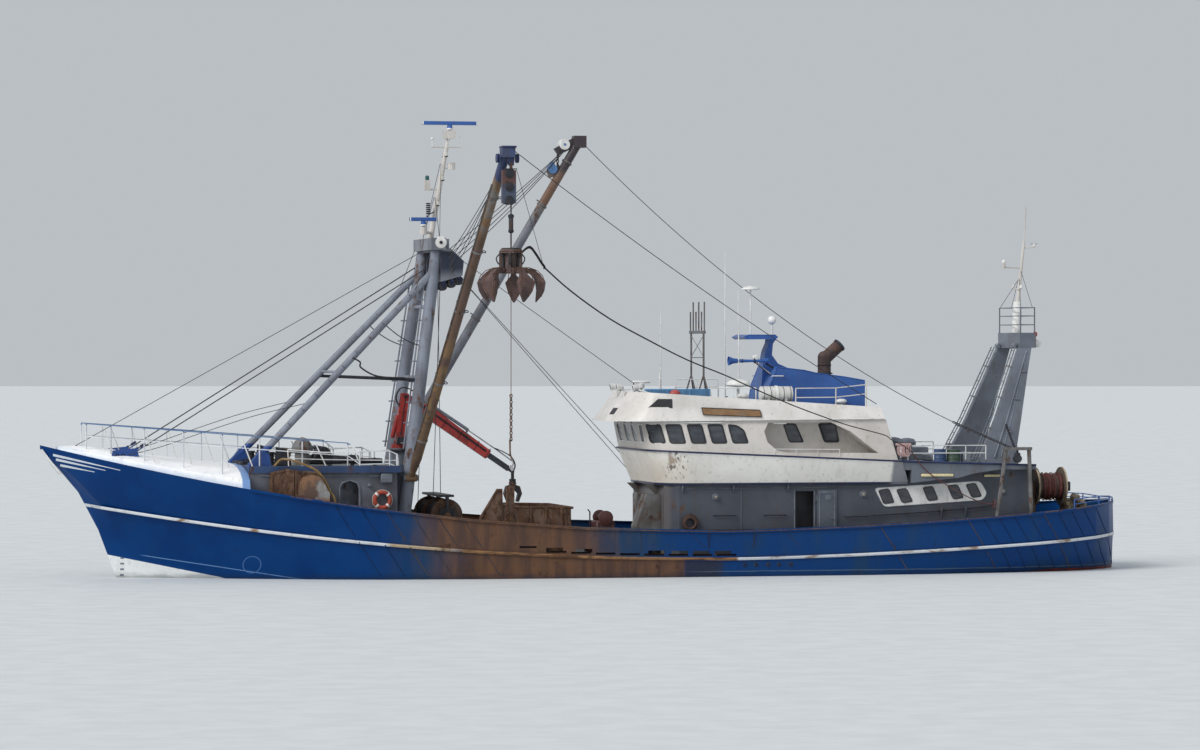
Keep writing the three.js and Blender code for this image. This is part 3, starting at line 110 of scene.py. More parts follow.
class Paint:
    """One material; its methods add nodes and give back the socket with their result."""

    def __init__(self, name):
        self.material = bpy.data.materials.new(name)
        self.material.use_nodes = True
        self.tree = self.material.node_tree
        self.tree.nodes.clear()
        self.shader = self.node("ShaderNodeBsdfPrincipled")
        output = self.node("ShaderNodeOutputMaterial")
        self.tree.links.new(self.shader.outputs[0], output.inputs[0])
        self.at = self.node("ShaderNodeTexCoord").outputs["Object"]
        split = self.node("ShaderNodeSeparateXYZ")
        self.feed(split.inputs[0], self.at)
        self.x, self.y, self.z = split.outputs

    def node(self, kind):
        return self.tree.nodes.new(kind)

    def feed(self, socket, value):
        if isinstance(value, bpy.types.NodeSocket):
            self.tree.links.new(value, socket)
        else:
            socket.default_value = value

    def math(self, operation, *values):
        n = self.node("ShaderNodeMath")
        n.operation = operation
        for socket, value in zip(n.inputs, values):
            self.feed(socket, value)
        return n.outputs[0]

    def add(self, *values):
        total = values[0]
        for value in values[1:]:
            total = self.math("ADD", total, value)
        return total

    def times(self, *values):
        total = values[0]
        for value in values[1:]:
            total = self.math("MULTIPLY", total, value)
        return total

    def over(self, *values):
        total = values[0]
        for value in values[1:]:
            total = self.math("MAXIMUM", total, value)
        return total

    def inverse(self, value):
        return self.math("SUBTRACT", 1.0, value)

    def line(self, slope, base, of=None):
        """base + slope * (of, or x)"""
        return self.math("MULTIPLY_ADD", of or self.x, slope, base)

    def step(self, value, low, high, start=0.0, end=1.0):
        """From start to end as value goes from low to high; low above high turns it round."""
        n = self.node("ShaderNodeMapRange")
        n.interpolation_type = "SMOOTHSTEP"
        if low > high:
            low, high, start, end = high, low, end, start
        for socket, v in zip(n.inputs, (value, low, high, start, end)):
            self.feed(socket, v)
        return n.outputs[0]

    def within(self, value, low, high, soft=0.01):
        return self.times(self.step(value, low - soft, low), self.step(value, high + soft, high))

    def noise(self, scale, stretch=None, detail=3.0, rough=0.55, shift=0.0):
        vector = self.at
        if stretch or shift:
            place = self.node("ShaderNodeMapping")
            self.feed(place.inputs[0], self.at)
            place.inputs[1].default_value = (shift, shift * 0.7, shift * 1.3)
            place.inputs[3].default_value = stretch or (1, 1, 1)
            vector = place.outputs[0]
        n = self.node("ShaderNodeTexNoise")
        self.feed(n.inputs["Vector"], vector)
        n.inputs["Scale"].default_value = scale
        n.inputs["Detail"].default_value = detail
        n.inputs["Roughness"].default_value = rough
        return n.outputs[0]

    def wave(self, scale, axis="X", distortion=0.0, kind="SIN"):
        n = self.node("ShaderNodeTexWave")
        n.bands_direction = axis
        n.wave_profile = kind
        self.feed(n.inputs["Vector"], self.at)
        n.inputs["Scale"].default_value = scale
        n.inputs["Distortion"].default_value = distortion
        return n.outputs["Fac"]

    def mix(self, share, a, b):
        n = self.node("ShaderNodeMix")
        n.data_type = "RGBA"
        for socket, value in zip((n.inputs[0], n.inputs[6], n.inputs[7]), (share, a, b)):
            self.feed(socket, value)
        return n.outputs[2]

    def facing_up(self, low=0.6, high=0.85):
        normal = self.node("ShaderNodeSeparateXYZ")
        self.feed(normal.inputs[0], self.node("ShaderNodeNewGeometry").outputs["True Normal"])
        return self.step(normal.outputs[2], low, high)

    def finish(self, colour, rough, height, depth=0.004, metal=0.0, strength=0.7):
        bump = self.node("ShaderNodeBump")
        bump.inputs["Strength"].default_value = strength
        bump.inputs["Distance"].default_value = depth
        self.feed(bump.inputs["Height"], height)
        self.feed(self.shader.inputs["Normal"], bump.outputs[0])
        self.feed(self.shader.inputs["Base Color"], colour)
        self.feed(self.shader.inputs["Roughness"], rough)
        self.feed(self.shader.inputs["Metallic"], metal)
        return self.material


RUST = rgb(98, 72, 56), rgb(68, 51, 44), rgb(118, 84, 58)


def painted(name, colour, shade=None, rough=0.42, rust=0.25, streaks=0.35, fine=1.0, depth=0.004,
            grime=(86, 78, 68), colours=None, spots=None, shine=0.25):
    """Paint over steel: fading, runs of grime, rust that breaks through, and the unevenness under it.

    colours(p, base) repaints parts of the base.
    spots(p) moves the rust, from -0.3 for none to 0.3 for bare rust.
    """
    p = Paint(name)
    p.shader.inputs["Specular IOR Level"].default_value = shine
    broad = p.noise(0.7 * fine, detail=2)
    small = p.noise(7 * fine, detail=4, shift=3.1)
    base = p.mix(p.step(broad, 0.36, 0.64), rgb(*colour), rgb(*(shade or tuple(0.86 * v for v in colour))))
    if colours:
        base = colours(p, base)
    runs = p.noise(1.0, stretch=(4.5 * fine, 4.5 * fine, 0.3), detail=4)
    base = p.mix(p.times(p.step(runs, 0.50, 0.72), streaks), base, rgb(*grime))
    base = p.mix(p.times(p.step(small, 0.55, 0.75), 0.25), base, rgb(*(0.7 * v for v in grime)))
    patches = p.add(p.noise(1.7 * fine, stretch=(1, 1, 0.6), detail=7, rough=0.66, shift=7.7), 0.3 * rust)
    if spots:
        patches = p.add(patches, spots(p))
    rusty = p.step(patches, 0.66, 0.76)
    tint = p.noise(3.3 * fine, stretch=(1, 1, 0.35), detail=5, rough=0.6, shift=1.9)
    brown = p.mix(p.step(tint, 0.40, 0.60), RUST[0], RUST[1])
    brown = p.mix(p.times(p.step(small, 0.5, 0.68), 0.6), brown, RUST[2])
    run_rust = p.times(p.step(p.noise(1.0, stretch=(7 * fine, 7 * fine, 0.35), detail=5, shift=5.0), 0.58,
                              0.72), p.step(patches, 0.56, 0.68), 0.75)
    shown = p.mix(p.over(rusty, run_rust), base, brown)
    roughness = p.add(p.times(small, 0.18), p.step(rusty, 0.0, 1.0, rough - 0.09, 0.78))
    height = p.add(p.times(broad, 0.6), p.times(small, 0.25), p.times(rusty, tint, 0.5))
    return p.finish(shown, roughness, height, depth)


def steel(name, colour, shade, rough=0.5, metal=0.6, fine=1.0, depth=0.002, grain=None, rust=0.0):
    """Bare or oiled metal with smears, scratches and a little rust."""
    p = Paint(name)
    smear = p.noise(2.4 * fine, detail=5, rough=0.6)
    scratch = p.noise(14 * fine, stretch=grain or (0.3, 1, 1), detail=3, shift=2.0)
    base = p.mix(p.step(smear, 0.38, 0.62), rgb(*colour), rgb(*shade))
    rusty = p.step(p.add(p.noise(5 * fine, detail=6, rough=0.65, shift=9.0), 0.3 * rust), 0.62, 0.72)
    base = p.mix(rusty, base, RUST[1])
    roughness = p.add(p.times(scratch, 0.3), p.step(rusty, 0, 1, rough - 0.1, 0.8))
    return p.finish(base, roughness, p.add(scratch, smear), depth, p.step(rusty, 0, 1, metal, 0.0))


def rope_paint(name, colour, shade, lay=60.0, depth=0.003):
    """Laid rope: slanting strands with painted shade in the grooves between them, fuzz and dirt."""
    p = Paint(name)
    strand = p.wave(lay, "DIAGONAL", 1.5)
    dirt = p.noise(3.0, detail=4)
    fuzz = p.noise(90, detail=2)
    base = p.mix(p.step(dirt, 0.35, 0.65), rgb(*colour), rgb(*shade))
    # Painted shade: darker in the grooves between the strands.
    base = p.mix(p.times(p.inverse(strand), 0.5), base, rgb(*(0.45 * v for v in shade)))
    return p.finish(base, p.step(fuzz, 0.3, 0.7, 0.75, 0.95), p.add(strand, p.times(fuzz, 0.4)), depth)


# The deck edge and the bulwark's top rise from their lowest points at LOW_X to both ends
LOW_X = -4.5
DECK_LOW, DECK_RISE, DECK_RUN, DECK_AFT_RISE = 0.72, 1.92, 22.5, 0.011384
RAIL_LOW, RAIL_RISE, RAIL_RUN, RAIL_AFT_RISE = 1.6, 3.05, 24.13, 0.014546
AFT_POWER = 1.5


def deck_edge(x):
    if x > LOW_X:
        return DECK_LOW + DECK_RISE * ((x - LOW_X) / DECK_RUN) ** 2
    return DECK_LOW + DECK_AFT_RISE * (LOW_X - x) ** AFT_POWER


def rail_top(x):
    if x > LOW_X:
        return RAIL_LOW + RAIL_RISE * ((x - LOW_X) / RAIL_RUN) ** 2
    return RAIL_LOW + RAIL_AFT_RISE * (LOW_X - x) ** AFT_POWER


def above_deck(p):
    """Height over the deck edge."""
    aft = p.times(p.math("POWER", p.over(p.line(-1, LOW_X), 0.0), AFT_POWER), DECK_AFT_RISE)
    fore = p.times(p.math("POWER", p.over(p.line(1 / DECK_RUN, -LOW_X / DECK_RUN), 0.0), 2.0), DECK_RISE)
    return p.math("SUBTRACT", p.z, p.add(aft, fore, DECK_LOW))


def hull_colours(p, base):
    """Worn blue amidships, white strake, bow marks, dirty waterline, red bottom, and planks on open decks."""
    over = above_deck(p)
    fade = p.noise(0.8, stretch=(1, 1, 0.35), detail=4, shift=21)
    base = p.mix(p.times(p.step(p.x, 10.5, 1.0), 0.9), base,
                 p.mix(p.step(fade, 0.46, 0.70), rgb(10, 58, 114), rgb(30, 62, 98)))
    edge = p.add(p.x, p.times(fade, 2.4), -1.2)
    upper = p.times(p.step(edge, 7.6, 5.9), p.step(edge, -1.0, 1.9))
    lower = p.times(p.step(edge, 7.0, 4.9), p.step(p.x, -2.62, -2.45))
    streak = p.noise(1.0, stretch=(2.4, 2.4, 0.35), detail=5, shift=17)
    film = p.mix(p.step(streak, 0.36, 0.64), rgb(84, 62, 50), rgb(106, 76, 56))
    film = p.mix(p.step(over, -0.2, -0.7), film,
                 p.mix(p.step(streak, 0.36, 0.64), rgb(80, 58, 46), rgb(108, 77, 53)))
    teal = p.mix(p.step(streak, 0.4, 0.6), rgb(34, 62, 84), rgb(58, 66, 70))
    near = p.times(p.step(edge, 8.6, 6.4), p.step(edge, -2.4, 0.2), p.step(over, -0.5, -0.15, 0.6, 0.75))
    base = p.mix(near, base, teal)
    base = p.mix(p.times(p.mix(p.step(over, -0.16, -0.08), lower, upper), 0.94), base, film)
    patched = p.times(p.step(edge, -4.2, -3.7), p.step(p.x, -2.45, -2.6), p.step(over, -0.15, -0.2))
    base = p.mix(p.times(patched, 0.9), base, rgb(48, 50, 64))
    strake = p.within(over, -0.142, -0.045, 0.006)
    worn = p.noise(2.1, stretch=(0.5, 1, 2), detail=5, shift=12)
    white = p.mix(p.step(worn, 0.54, 0.68), rgb(206, 210, 214), rgb(142, 118, 94))
    white = p.mix(p.within(p.x, 6.0, 7.8, 0.4), white, rgb(176, 158, 132))
    dull = p.mix(p.step(worn, 0.40, 0.58), rgb(90, 66, 52), rgb(146, 110, 76))
    ends = p.over(p.step(p.x, 5.2, 6.6), p.step(p.x, -4.35, -4.5))
    base = p.mix(strake, base, p.mix(ends, dull, white))
    for fore, aft, high, low in ((19.2, 17.02, 4.31, 3.80), (19.1, 17.5, 4.15, 3.79),
                                 (18.95, 17.85, 3.95, 3.73)):
        slope = (high - low) / (fore - aft)
        off = p.math("ABSOLUTE", p.math("SUBTRACT", p.z, p.line(slope, low - slope * aft)))
        taper = p.step(p.x, aft, fore, 0.012, 0.042)
        stripe = p.times(p.math("LESS_THAN", off, taper), p.within(p.x, aft, fore))
        base = p.mix(stripe, base, rgb(206, 212, 220))
    thin = p.math("ABSOLUTE", p.math("SUBTRACT", p.z, p.line(0.1496, -1.619)))
    base = p.mix(p.times(p.math("LESS_THAN", thin, 0.014), p.within(p.x, 10.9, 15.9, 0.4)), base,
                 rgb(104, 140, 186))
    wedge = p.times(p.math("LESS_THAN", p.z, p.line(0.2016, -2.676)), p.step(p.x, 13.3, 13.5))
    marks = p.times(p.within(p.math("FRACT", p.times(p.z, 5.0)), 0.3, 0.62, 0.02),
                    p.within(p.x, 16.72, 16.84))
    base = p.mix(wedge, base, p.mix(p.times(marks, 0.8), rgb(226, 228, 228), rgb(60, 70, 90)))
    spot = p.node("ShaderNodeVectorMath")
    spot.operation = "DISTANCE"
    flat = p.node("ShaderNodeCombineXYZ")
    p.feed(flat.inputs[0], p.x)
    p.feed(flat.inputs[2], p.z)
    p.feed(spot.inputs[0], flat.outputs[0])
    spot.inputs[1].default_value = (12.5, 0, 0.5)
    base = p.mix(p.times(p.within(spot.outputs["Value"], 0.28, 0.305, 0.01), 0.6), base, rgb(84, 124, 176))
    weed = p.noise(4.0, stretch=(0.4, 0.4, 1.5), detail=5, shift=4)
    low = p.math("SUBTRACT", p.z, p.times(p.over(p.line(-1, -6.0), 0.0), 0.008))
    slime = p.times(p.step(p.add(low, p.times(weed, 0.3)), 0.40, 0.12), 0.6)
    base = p.mix(slime, base, rgb(26, 40, 58))
    scum = p.times(p.within(p.add(p.z, p.times(weed, 0.05)), 0.20, 0.225, 0.012), p.step(p.x, -2.0, -4.0),
                   0.4)
    base = p.mix(scum, base, rgb(108, 126, 138))
    bottom = p.mix(p.step(weed, 0.4, 0.6), rgb(112, 46, 40), rgb(78, 40, 38))
    water = p.step(p.x, -15.0, -16.6, 0.0, 0.10)
    base = p.mix(p.math("LESS_THAN", p.z, water), base, bottom)
    seams = p.times(p.step(p.wave(1.2, "Y", 0.4), 0.9, 0.98), 0.6)
    grain = p.noise(5.0, stretch=(0.25, 3, 3), detail=5, shift=8)
    planks = p.mix(p.step(grain, 0.38, 0.62), rgb(92, 78, 64), rgb(64, 56, 50))
    planks = p.mix(seams, planks, rgb(26, 24, 24))
    inside = p.times(p.facing_up(), p.step(over, -0.05, 0.0), p.step(over, 0.4, 0.3))
    return p.mix(inside, base, planks)


def hull_rust(p):
    """Where rust has taken the paint: amidships under the booms, and along the strake and the waterline."""
    over = above_deck(p)
    lower = p.times(p.step(p.x, -2.9, -2.3), p.step(p.x, 7.4, 5.0))
    upper = p.times(p.step(p.x, 0.8, 3.0), p.step(p.x, 8.2, 5.4))
    zone = p.mix(p.step(over, -0.02, 0.02), lower, upper)
    patched = p.times(p.within(p.x, -4.3, -2.6, 0.1), p.step(over, -0.15, -0.3))
    edge = p.times(p.within(over, -0.30, 0.05, 0.25),
                   p.step(p.noise(0.9, stretch=(1, 1, 0.2), shift=6), 0.45, 0.62))
    fore = p.step(p.x, 8.0, 12.0)
    return p.add(p.times(zone, 0.13), p.times(patched, 0.04), p.times(edge, 0.07), p.times(fore, -0.14),
                 -0.06)


def whaleback_colours(p, base):
    """Painted shade, bluish, over the lower edge where the rounded back turns from the light, and the paler
    after end.
    """
    rise = p.math("POWER", p.over(p.line(1 / RAIL_RUN, -LOW_X / RAIL_RUN), 0.0), 2.0)
    over = p.math("SUBTRACT", p.z, p.add(p.times(rise, RAIL_RISE), RAIL_LOW))
    ragged_shade_edge = p.add(over, p.times(p.noise(2.5, detail=4), 0.14))
    # Painted shade: the lower edge turned pale blue, for the shaded side of the rounded back.
    base = p.mix(p.times(p.step(ragged_shade_edge, 0.32, 0.08), 0.6), base, rgb(160, 180, 208))
    return p.mix(p.step(p.x, 12.99, 12.93), base, rgb(112, 146, 196))


def rail_colours(p, base):
    top = p.math("SUBTRACT", p.z, p.line(0.0765, 3.974))
    return p.mix(p.step(top, -0.02, 0.0), base, rgb(96, 122, 160))


def head_colours(p, base):
    boxes = p.times(p.step(p.x, 5.72, 5.68), p.step(p.z, 11.47, 11.43), p.step(p.z, 10.5, 10.9))
    return p.mix(boxes, base, rgb(44, 50, 66))


def boom_head_colours(p, base):
    mottle = p.noise(1.6, detail=5, shift=3)
    upper = p.mix(p.step(mottle, 0.42, 0.6), rgb(122, 120, 118), rgb(124, 98, 70))
    lower = p.mix(p.step(mottle, 0.42, 0.6), rgb(124, 98, 68), rgb(90, 72, 62))
    base = p.mix(p.times(p.step(p.z, 11.2, 12.4), 0.85), base, upper)
    base = p.mix(p.times(p.step(p.z, 9.0, 7.8), 0.85), base, lower)
    tips = p.over(p.step(p.z, 13.85, 13.95), p.step(p.y, 10.35, 10.45))
    return p.mix(p.times(tips, 0.85), base, rgb(44, 66, 108))


def strut_colours(p, base):
    return p.mix(p.step(p.z, 4.66, 4.60), base, rgb(44, 76, 140))


def deck_rail_colours(p, base):
    return p.mix(p.step(p.z, 4.04, 4.06), base, rgb(198, 200, 200))


def star_head_colours(p, base):
    burnt = p.step(p.noise(1.4, detail=5, shift=3), 0.40, 0.58)
    base = p.mix(p.times(p.step(p.z, 12.6, 13.2), 0.85), base,
                 p.mix(burnt, rgb(112, 106, 100), rgb(120, 86, 62)))
    return p.mix(p.times(p.step(p.z, 14.3, 14.6), 0.9), base, rgb(56, 52, 60))


def grab_colours(p, base):
    band = p.step(p.noise(3.0, detail=3, shift=2), 0.52, 0.6)
    upper = p.step(p.z, 12.4, 12.6)
    base = p.mix(p.times(upper, 0.9), base, rgb(74, 84, 104))
    base = p.mix(p.times(p.step(p.z, 13.45, 13.55), 0.9), base, rgb(92, 66, 60))
    base = p.mix(p.times(p.within(p.z, 11.5, 12.45, 0.03), 0.8), base, rgb(58, 56, 60))
    return p.mix(p.times(band, p.step(p.z, 11.5, 11.4), 0.3), base, rgb(128, 118, 112))


def house_colours(p, base):
    """Dirtier paint low down; paler at the front, a painted highlight where the light from ahead falls."""
    base = p.mix(p.times(p.step(p.z, 1.6, 1.0), 0.35), base, rgb(62, 58, 56))
    # Painted highlight: the front face paler, where the light from ahead falls on it.
    base = p.mix(p.times(p.step(p.x, -2.5, -2.3), 0.4), base, rgb(120, 112, 106))
    return p.mix(p.facing_up(), base, rgb(112, 116, 118))


def bridge_colours(p, base):
    """Creamier towards the front, with rust specks there, a navy bottom edge and a grey overhang aft."""
    dirt = p.times(p.step(p.x, -4.5, -1.9), p.step(p.z, 4.6, 3.5), 0.45)
    base = p.mix(dirt, base, rgb(206, 190, 168))
    specks = p.step(p.noise(8.0, stretch=(1, 1, 0.6), detail=5, shift=31), 0.55, 0.60)
    base = p.mix(p.times(specks, p.within(p.x, -2.75, -2.3, 0.2), p.within(p.z, 3.5, 4.4, 0.15), 0.75), base,
                 rgb(50, 46, 46))
    run = p.times(p.within(p.x, -2.6, -2.25, 0.08), p.within(p.z, 4.0, 4.35, 0.25),
                  p.step(p.noise(6.0, stretch=(1, 1, 0.2), detail=3), 0.4, 0.6), 0.7)
    base = p.mix(run, base, rgb(140, 112, 84))
    base = p.mix(p.step(p.z, 3.28, 3.25), base, rgb(52, 58, 84))
    under = p.step(p.add(p.x, p.times(p.z, 1.0)), -6.05, -6.25)
    return p.mix(p.times(under, p.step(p.x, -10.3, -10.45), 0.9), base, rgb(128, 132, 140))


def roof_colours(p, base):
    deck = p.times(p.facing_up(), p.step(p.z, 5.92, 5.90))
    grit = p.noise(30, detail=2)
    mat = p.mix(p.step(grit, 0.4, 0.6), rgb(112, 124, 132), rgb(84, 96, 104))
    return p.mix(deck, base, mat)


def foredeck_colours(p, base):
    plate = p.mix(p.step(p.noise(3, detail=5), 0.4, 0.6), rgb(96, 100, 104), rgb(74, 74, 74))
    return p.mix(p.facing_up(), base, plate)


def fore_house_colours(p, base):
    """Rust-brown and pale blotches on the casing that stands out from the side."""
    stain = p.noise(1.7, stretch=(1, 1, 0.8), detail=6, rough=0.62, shift=12)
    worn = p.mix(p.step(stain, 0.42, 0.56), rgb(92, 68, 54), rgb(136, 98, 68))
    worn = p.mix(p.step(p.noise(1.3, detail=5, shift=23), 0.54, 0.66), worn, rgb(150, 148, 146))
    return p.mix(p.times(p.step(p.math("ABSOLUTE", p.y), 2.84, 2.92), 0.9), base, worn)


def antifouling(p, base):
    weed = p.noise(4.0, stretch=(0.6, 0.6, 1.5), detail=5, shift=4)
    return p.mix(p.step(weed, 0.45, 0.62), base, rgb(66, 58, 46))


white = painted("white_paint", (205, 200, 195), (190, 185, 179), rough=0.36, rust=-0.10, streaks=0.16,
                grime=(150, 136, 116))
grey = painted("grey_paint", (112, 118, 129), (97, 102, 112), rust=0.18, streaks=0.3)
mast_paint = painted("mast_paint", (130, 136, 149), (108, 112, 124), rust=0.34, streaks=0.35)
strut_paint = painted("strut_paint", (132, 138, 150), (112, 116, 128), rust=0.26, streaks=0.3,
                      colours=strut_colours)
worn_grey = painted("worn_grey", (116, 116, 117), (93, 90, 88), rough=0.55, rust=0.42, streaks=0.45, fine=1.6,
                    grime=(70, 58, 50))
grab_dark = painted("grab_dark", (98, 78, 74), (72, 58, 57), rough=0.6, rust=0.36, streaks=0.35, fine=2.2)
rusty = painted("rusty_paint", (120, 96, 82), (92, 72, 62), rough=0.6, rust=0.75, streaks=0.4, fine=1.6)
dark = painted("dark_paint", (54, 54, 60), (40, 40, 46), rough=0.5, rust=0.25, fine=2.0)
red = painted("crane_red", (172, 60, 55), (140, 52, 50), rough=0.4, rust=0.14, streaks=0.38, fine=1.8,
              grime=(60, 44, 42))
blue = painted("trim_blue", (60, 100, 168), (52, 88, 154), rough=0.38, rust=-0.1, streaks=0.18)
hull_paint = painted("hull_blue", (0, 50, 107), (2, 57, 115), rough=0.34, rust=0.1, streaks=0.10, depth=0.006,
                     grime=(34, 54, 80), colours=hull_colours, spots=hull_rust, shine=0.12)

FINISHES = {
    "hull": hull_paint,
    "bulwark_port": hull_paint,
    "bulwark_starboard": hull_paint,
    "rudder": painted("bottom_red", (112, 46, 40), (84, 42, 38), rough=0.6, colours=antifouling),
    "nozzle": painted("nozzle_red", (108, 46, 40), (80, 42, 38), rough=0.6, colours=antifouling),
    "whaleback": painted("whaleback_white", (252, 252, 252), (240, 241, 244), rough=0.34, rust=-0.1,
                         streaks=0.12, grime=(160, 150, 140), colours=whaleback_colours),
    "foredeck_rails": painted("rail_white", (216, 220, 224), (196, 200, 206), rust=0.05, streaks=0.2,
                              fine=3.0, colours=rail_colours),
    "forecastle_house": painted("fore_grey", (104, 106, 116), (84, 86, 94), rust=0.3, streaks=0.5,
                                colours=fore_house_colours),
    "foredeck": painted("deck_blue", (52, 74, 112), (42, 60, 94), rust=0.3, streaks=0.3,
                        colours=foredeck_colours),
    "mast_head": painted("head_paint", (120, 124, 134), (98, 100, 108), rust=0.34, colours=head_colours),
    "boom_port": painted("boom_rusty", (98, 78, 68), (84, 68, 60), rough=0.55, rust=0.3, streaks=0.4,
                         fine=1.3, colours=boom_head_colours),
    "boom_starboard": painted("boom_grey", (126, 129, 138), (104, 104, 112), rust=0.15, streaks=0.4,
                              colours=star_head_colours),
    "grab_body": painted("grab_steel", (94, 78, 76), (70, 58, 58), rough=0.62, rust=0.32, fine=2.2,
                         colours=grab_colours),
    "deckhouse": painted("house_grey", (82, 87, 97), (71, 75, 84), rust=0.2, streaks=0.3,
                         colours=house_colours),
    "deckhouse_door": painted("door_grey", (92, 98, 108), (80, 86, 96), rust=0.12, streaks=0.3, fine=1.5),
    "bridge_lower": painted("bridge_white", (252, 249, 243), (243, 240, 233), rough=0.36, rust=-0.02,
                            streaks=0.14, grime=(150, 128, 100), colours=bridge_colours),
    "wheelhouse": white,
    "wheelhouse_roof": painted("roof_white", (226, 222, 218), (210, 206, 201), rough=0.36, rust=-0.14,
                               streaks=0.10, grime=(160, 144, 120), colours=roof_colours),
    "boat_deck": painted("boat_deck_grey", (104, 110, 120), (90, 95, 104), rust=0.18, streaks=0.3,
                         colours=deck_rail_colours),
    "casing": blue,
    "exhaust_pipe": painted("exhaust_brown", (92, 72, 68), (70, 58, 56), rough=0.66, rust=0.4, fine=2.0),
    "liferaft": painted("raft_white", (222, 222, 218), (204, 202, 198), rough=0.3, rust=-0.3, streaks=0.3,
                        fine=2.0),
    "propeller": steel("bronze", (176, 138, 76), (140, 108, 62), rough=0.35, metal=0.9, fine=2.0),
    "crane_extension": steel("crane_dark", (58, 60, 70), (42, 44, 54), rough=0.45, metal=0.3, fine=3.0,
                             rust=0.1),
    "rope_reel": painted("reel_rust", (104, 92, 82), (78, 68, 62), rough=0.6, rust=0.4, fine=2.0),
}
for group, material in (
    (("mast_leg_port", "mast_leg_starboard"), mast_paint),
    (("fore_strut_port", "fore_strut_starboard"), strut_paint),
    (("topmast", "roof_rail_port", "roof_rail_starboard", "stern_mast"), white),
    (("aerial_frame", "gallows_port", "gallows_starboard"), worn_grey),
    (("gantry_leg_port", "gantry_leg_starboard", "gantry_platform", "crane_base"), grey),
    (("radar_scanner_upper", "radar_scanner_lower", "stern_rail"), blue),
    (("crane_column", "crane_inner_boom", "crane_outer_boom"), red),
    (tuple(f"grab_tine_{k}" for k in range(1, 6)), grab_dark),
    (("winch_drums", "fish_hopper", "trawl_shoes", "fore_hauler", "reel_stand"), rusty),
    (("crane_grapple", "winch_frame"), dark),
    (("forestay_port", "forestay_starboard"), painted("stay_paint", (58, 58, 64), (44, 44, 50), rough=0.5,
                                                      rust=0.2, fine=2.0, colours=strut_colours)),
):
    for name in group:
        FINISHES[name] = material


SMOOTH_BELOW = math.radians(32)
WELD = 0.0001


def smooth_faces():
    """A modifier for the CAD nodes: curved walls shade smoothly, and real edges stay sharp."""
    tree = bpy.data.node_groups.new("smooth_faces", "GeometryNodeTree")
    tree.interface.new_socket("Geometry", in_out="INPUT", socket_type="NodeSocketGeometry")
    tree.interface.new_socket("Geometry", in_out="OUTPUT", socket_type="NodeSocketGeometry")
    start, end = tree.nodes.new("NodeGroupInput"), tree.nodes.new("NodeGroupOutput")
    weld = tree.nodes.new("GeometryNodeMergeByDistance")
    weld.inputs["Distance"].default_value = WELD
    clear = tree.nodes.new("GeometryNodeRemoveAttribute")
    clear.inputs["Name"].default_value = "custom_normal"
    faces = tree.nodes.new("GeometryNodeSetShadeSmooth")
    edges = tree.nodes.new("GeometryNodeSetShadeSmooth")
    edges.domain = "EDGE"
    angle = tree.nodes.new("GeometryNodeInputMeshEdgeAngle")
    blunt = tree.nodes.new("ShaderNodeMath")
    blunt.operation = "LESS_THAN"
    blunt.inputs[1].default_value = SMOOTH_BELOW
    tree.links.new(angle.outputs["Unsigned Angle"], blunt.inputs[0])
    tree.links.new(blunt.outputs[0], edges.inputs["Shade Smooth"])
    line = start.outputs[0]
    for step in (clear, weld, faces, edges):
        tree.links.new(line, step.inputs["Geometry"])
        line = step.outputs["Geometry"]
    tree.links.new(line, end.inputs[0])
    return tree


smoothing = smooth_faces()
for name, node in nodes.items():
    node.data.materials.clear()
    node.data.materials.append(FINISHES[name])
    node.modifiers.new("smooth_faces", "NODES").node_group = smoothing


# Pieces: faces gathered in the frame's metres, each piece on a body, or baked in place unparented where it
# runs between two

UP, AHEAD, TO_PORT = (0, 0, 1), (1, 0, 0), (0, 1, 0)
SIDES = (1, -1)


def circle(centre, way, side, radius, steps):
    """Points round a centre in the plane square to way, starting at side."""
    other = way.cross(side)
    turns = (2 * math.pi * k / steps for k in range(steps))
    return [centre + radius * (math.cos(a) * side + math.sin(a) * other) for a in turns]


def on_circle(centre, axis, radius, angle):
    """The point of a circle round a centre, square to axis 0, 1 or 2."""
    point = list(centre)
    u, v = (k for k in range(3) if k != axis)
    point[u] += radius * math.cos(angle)
    point[v] += radius * math.sin(angle)
    return point


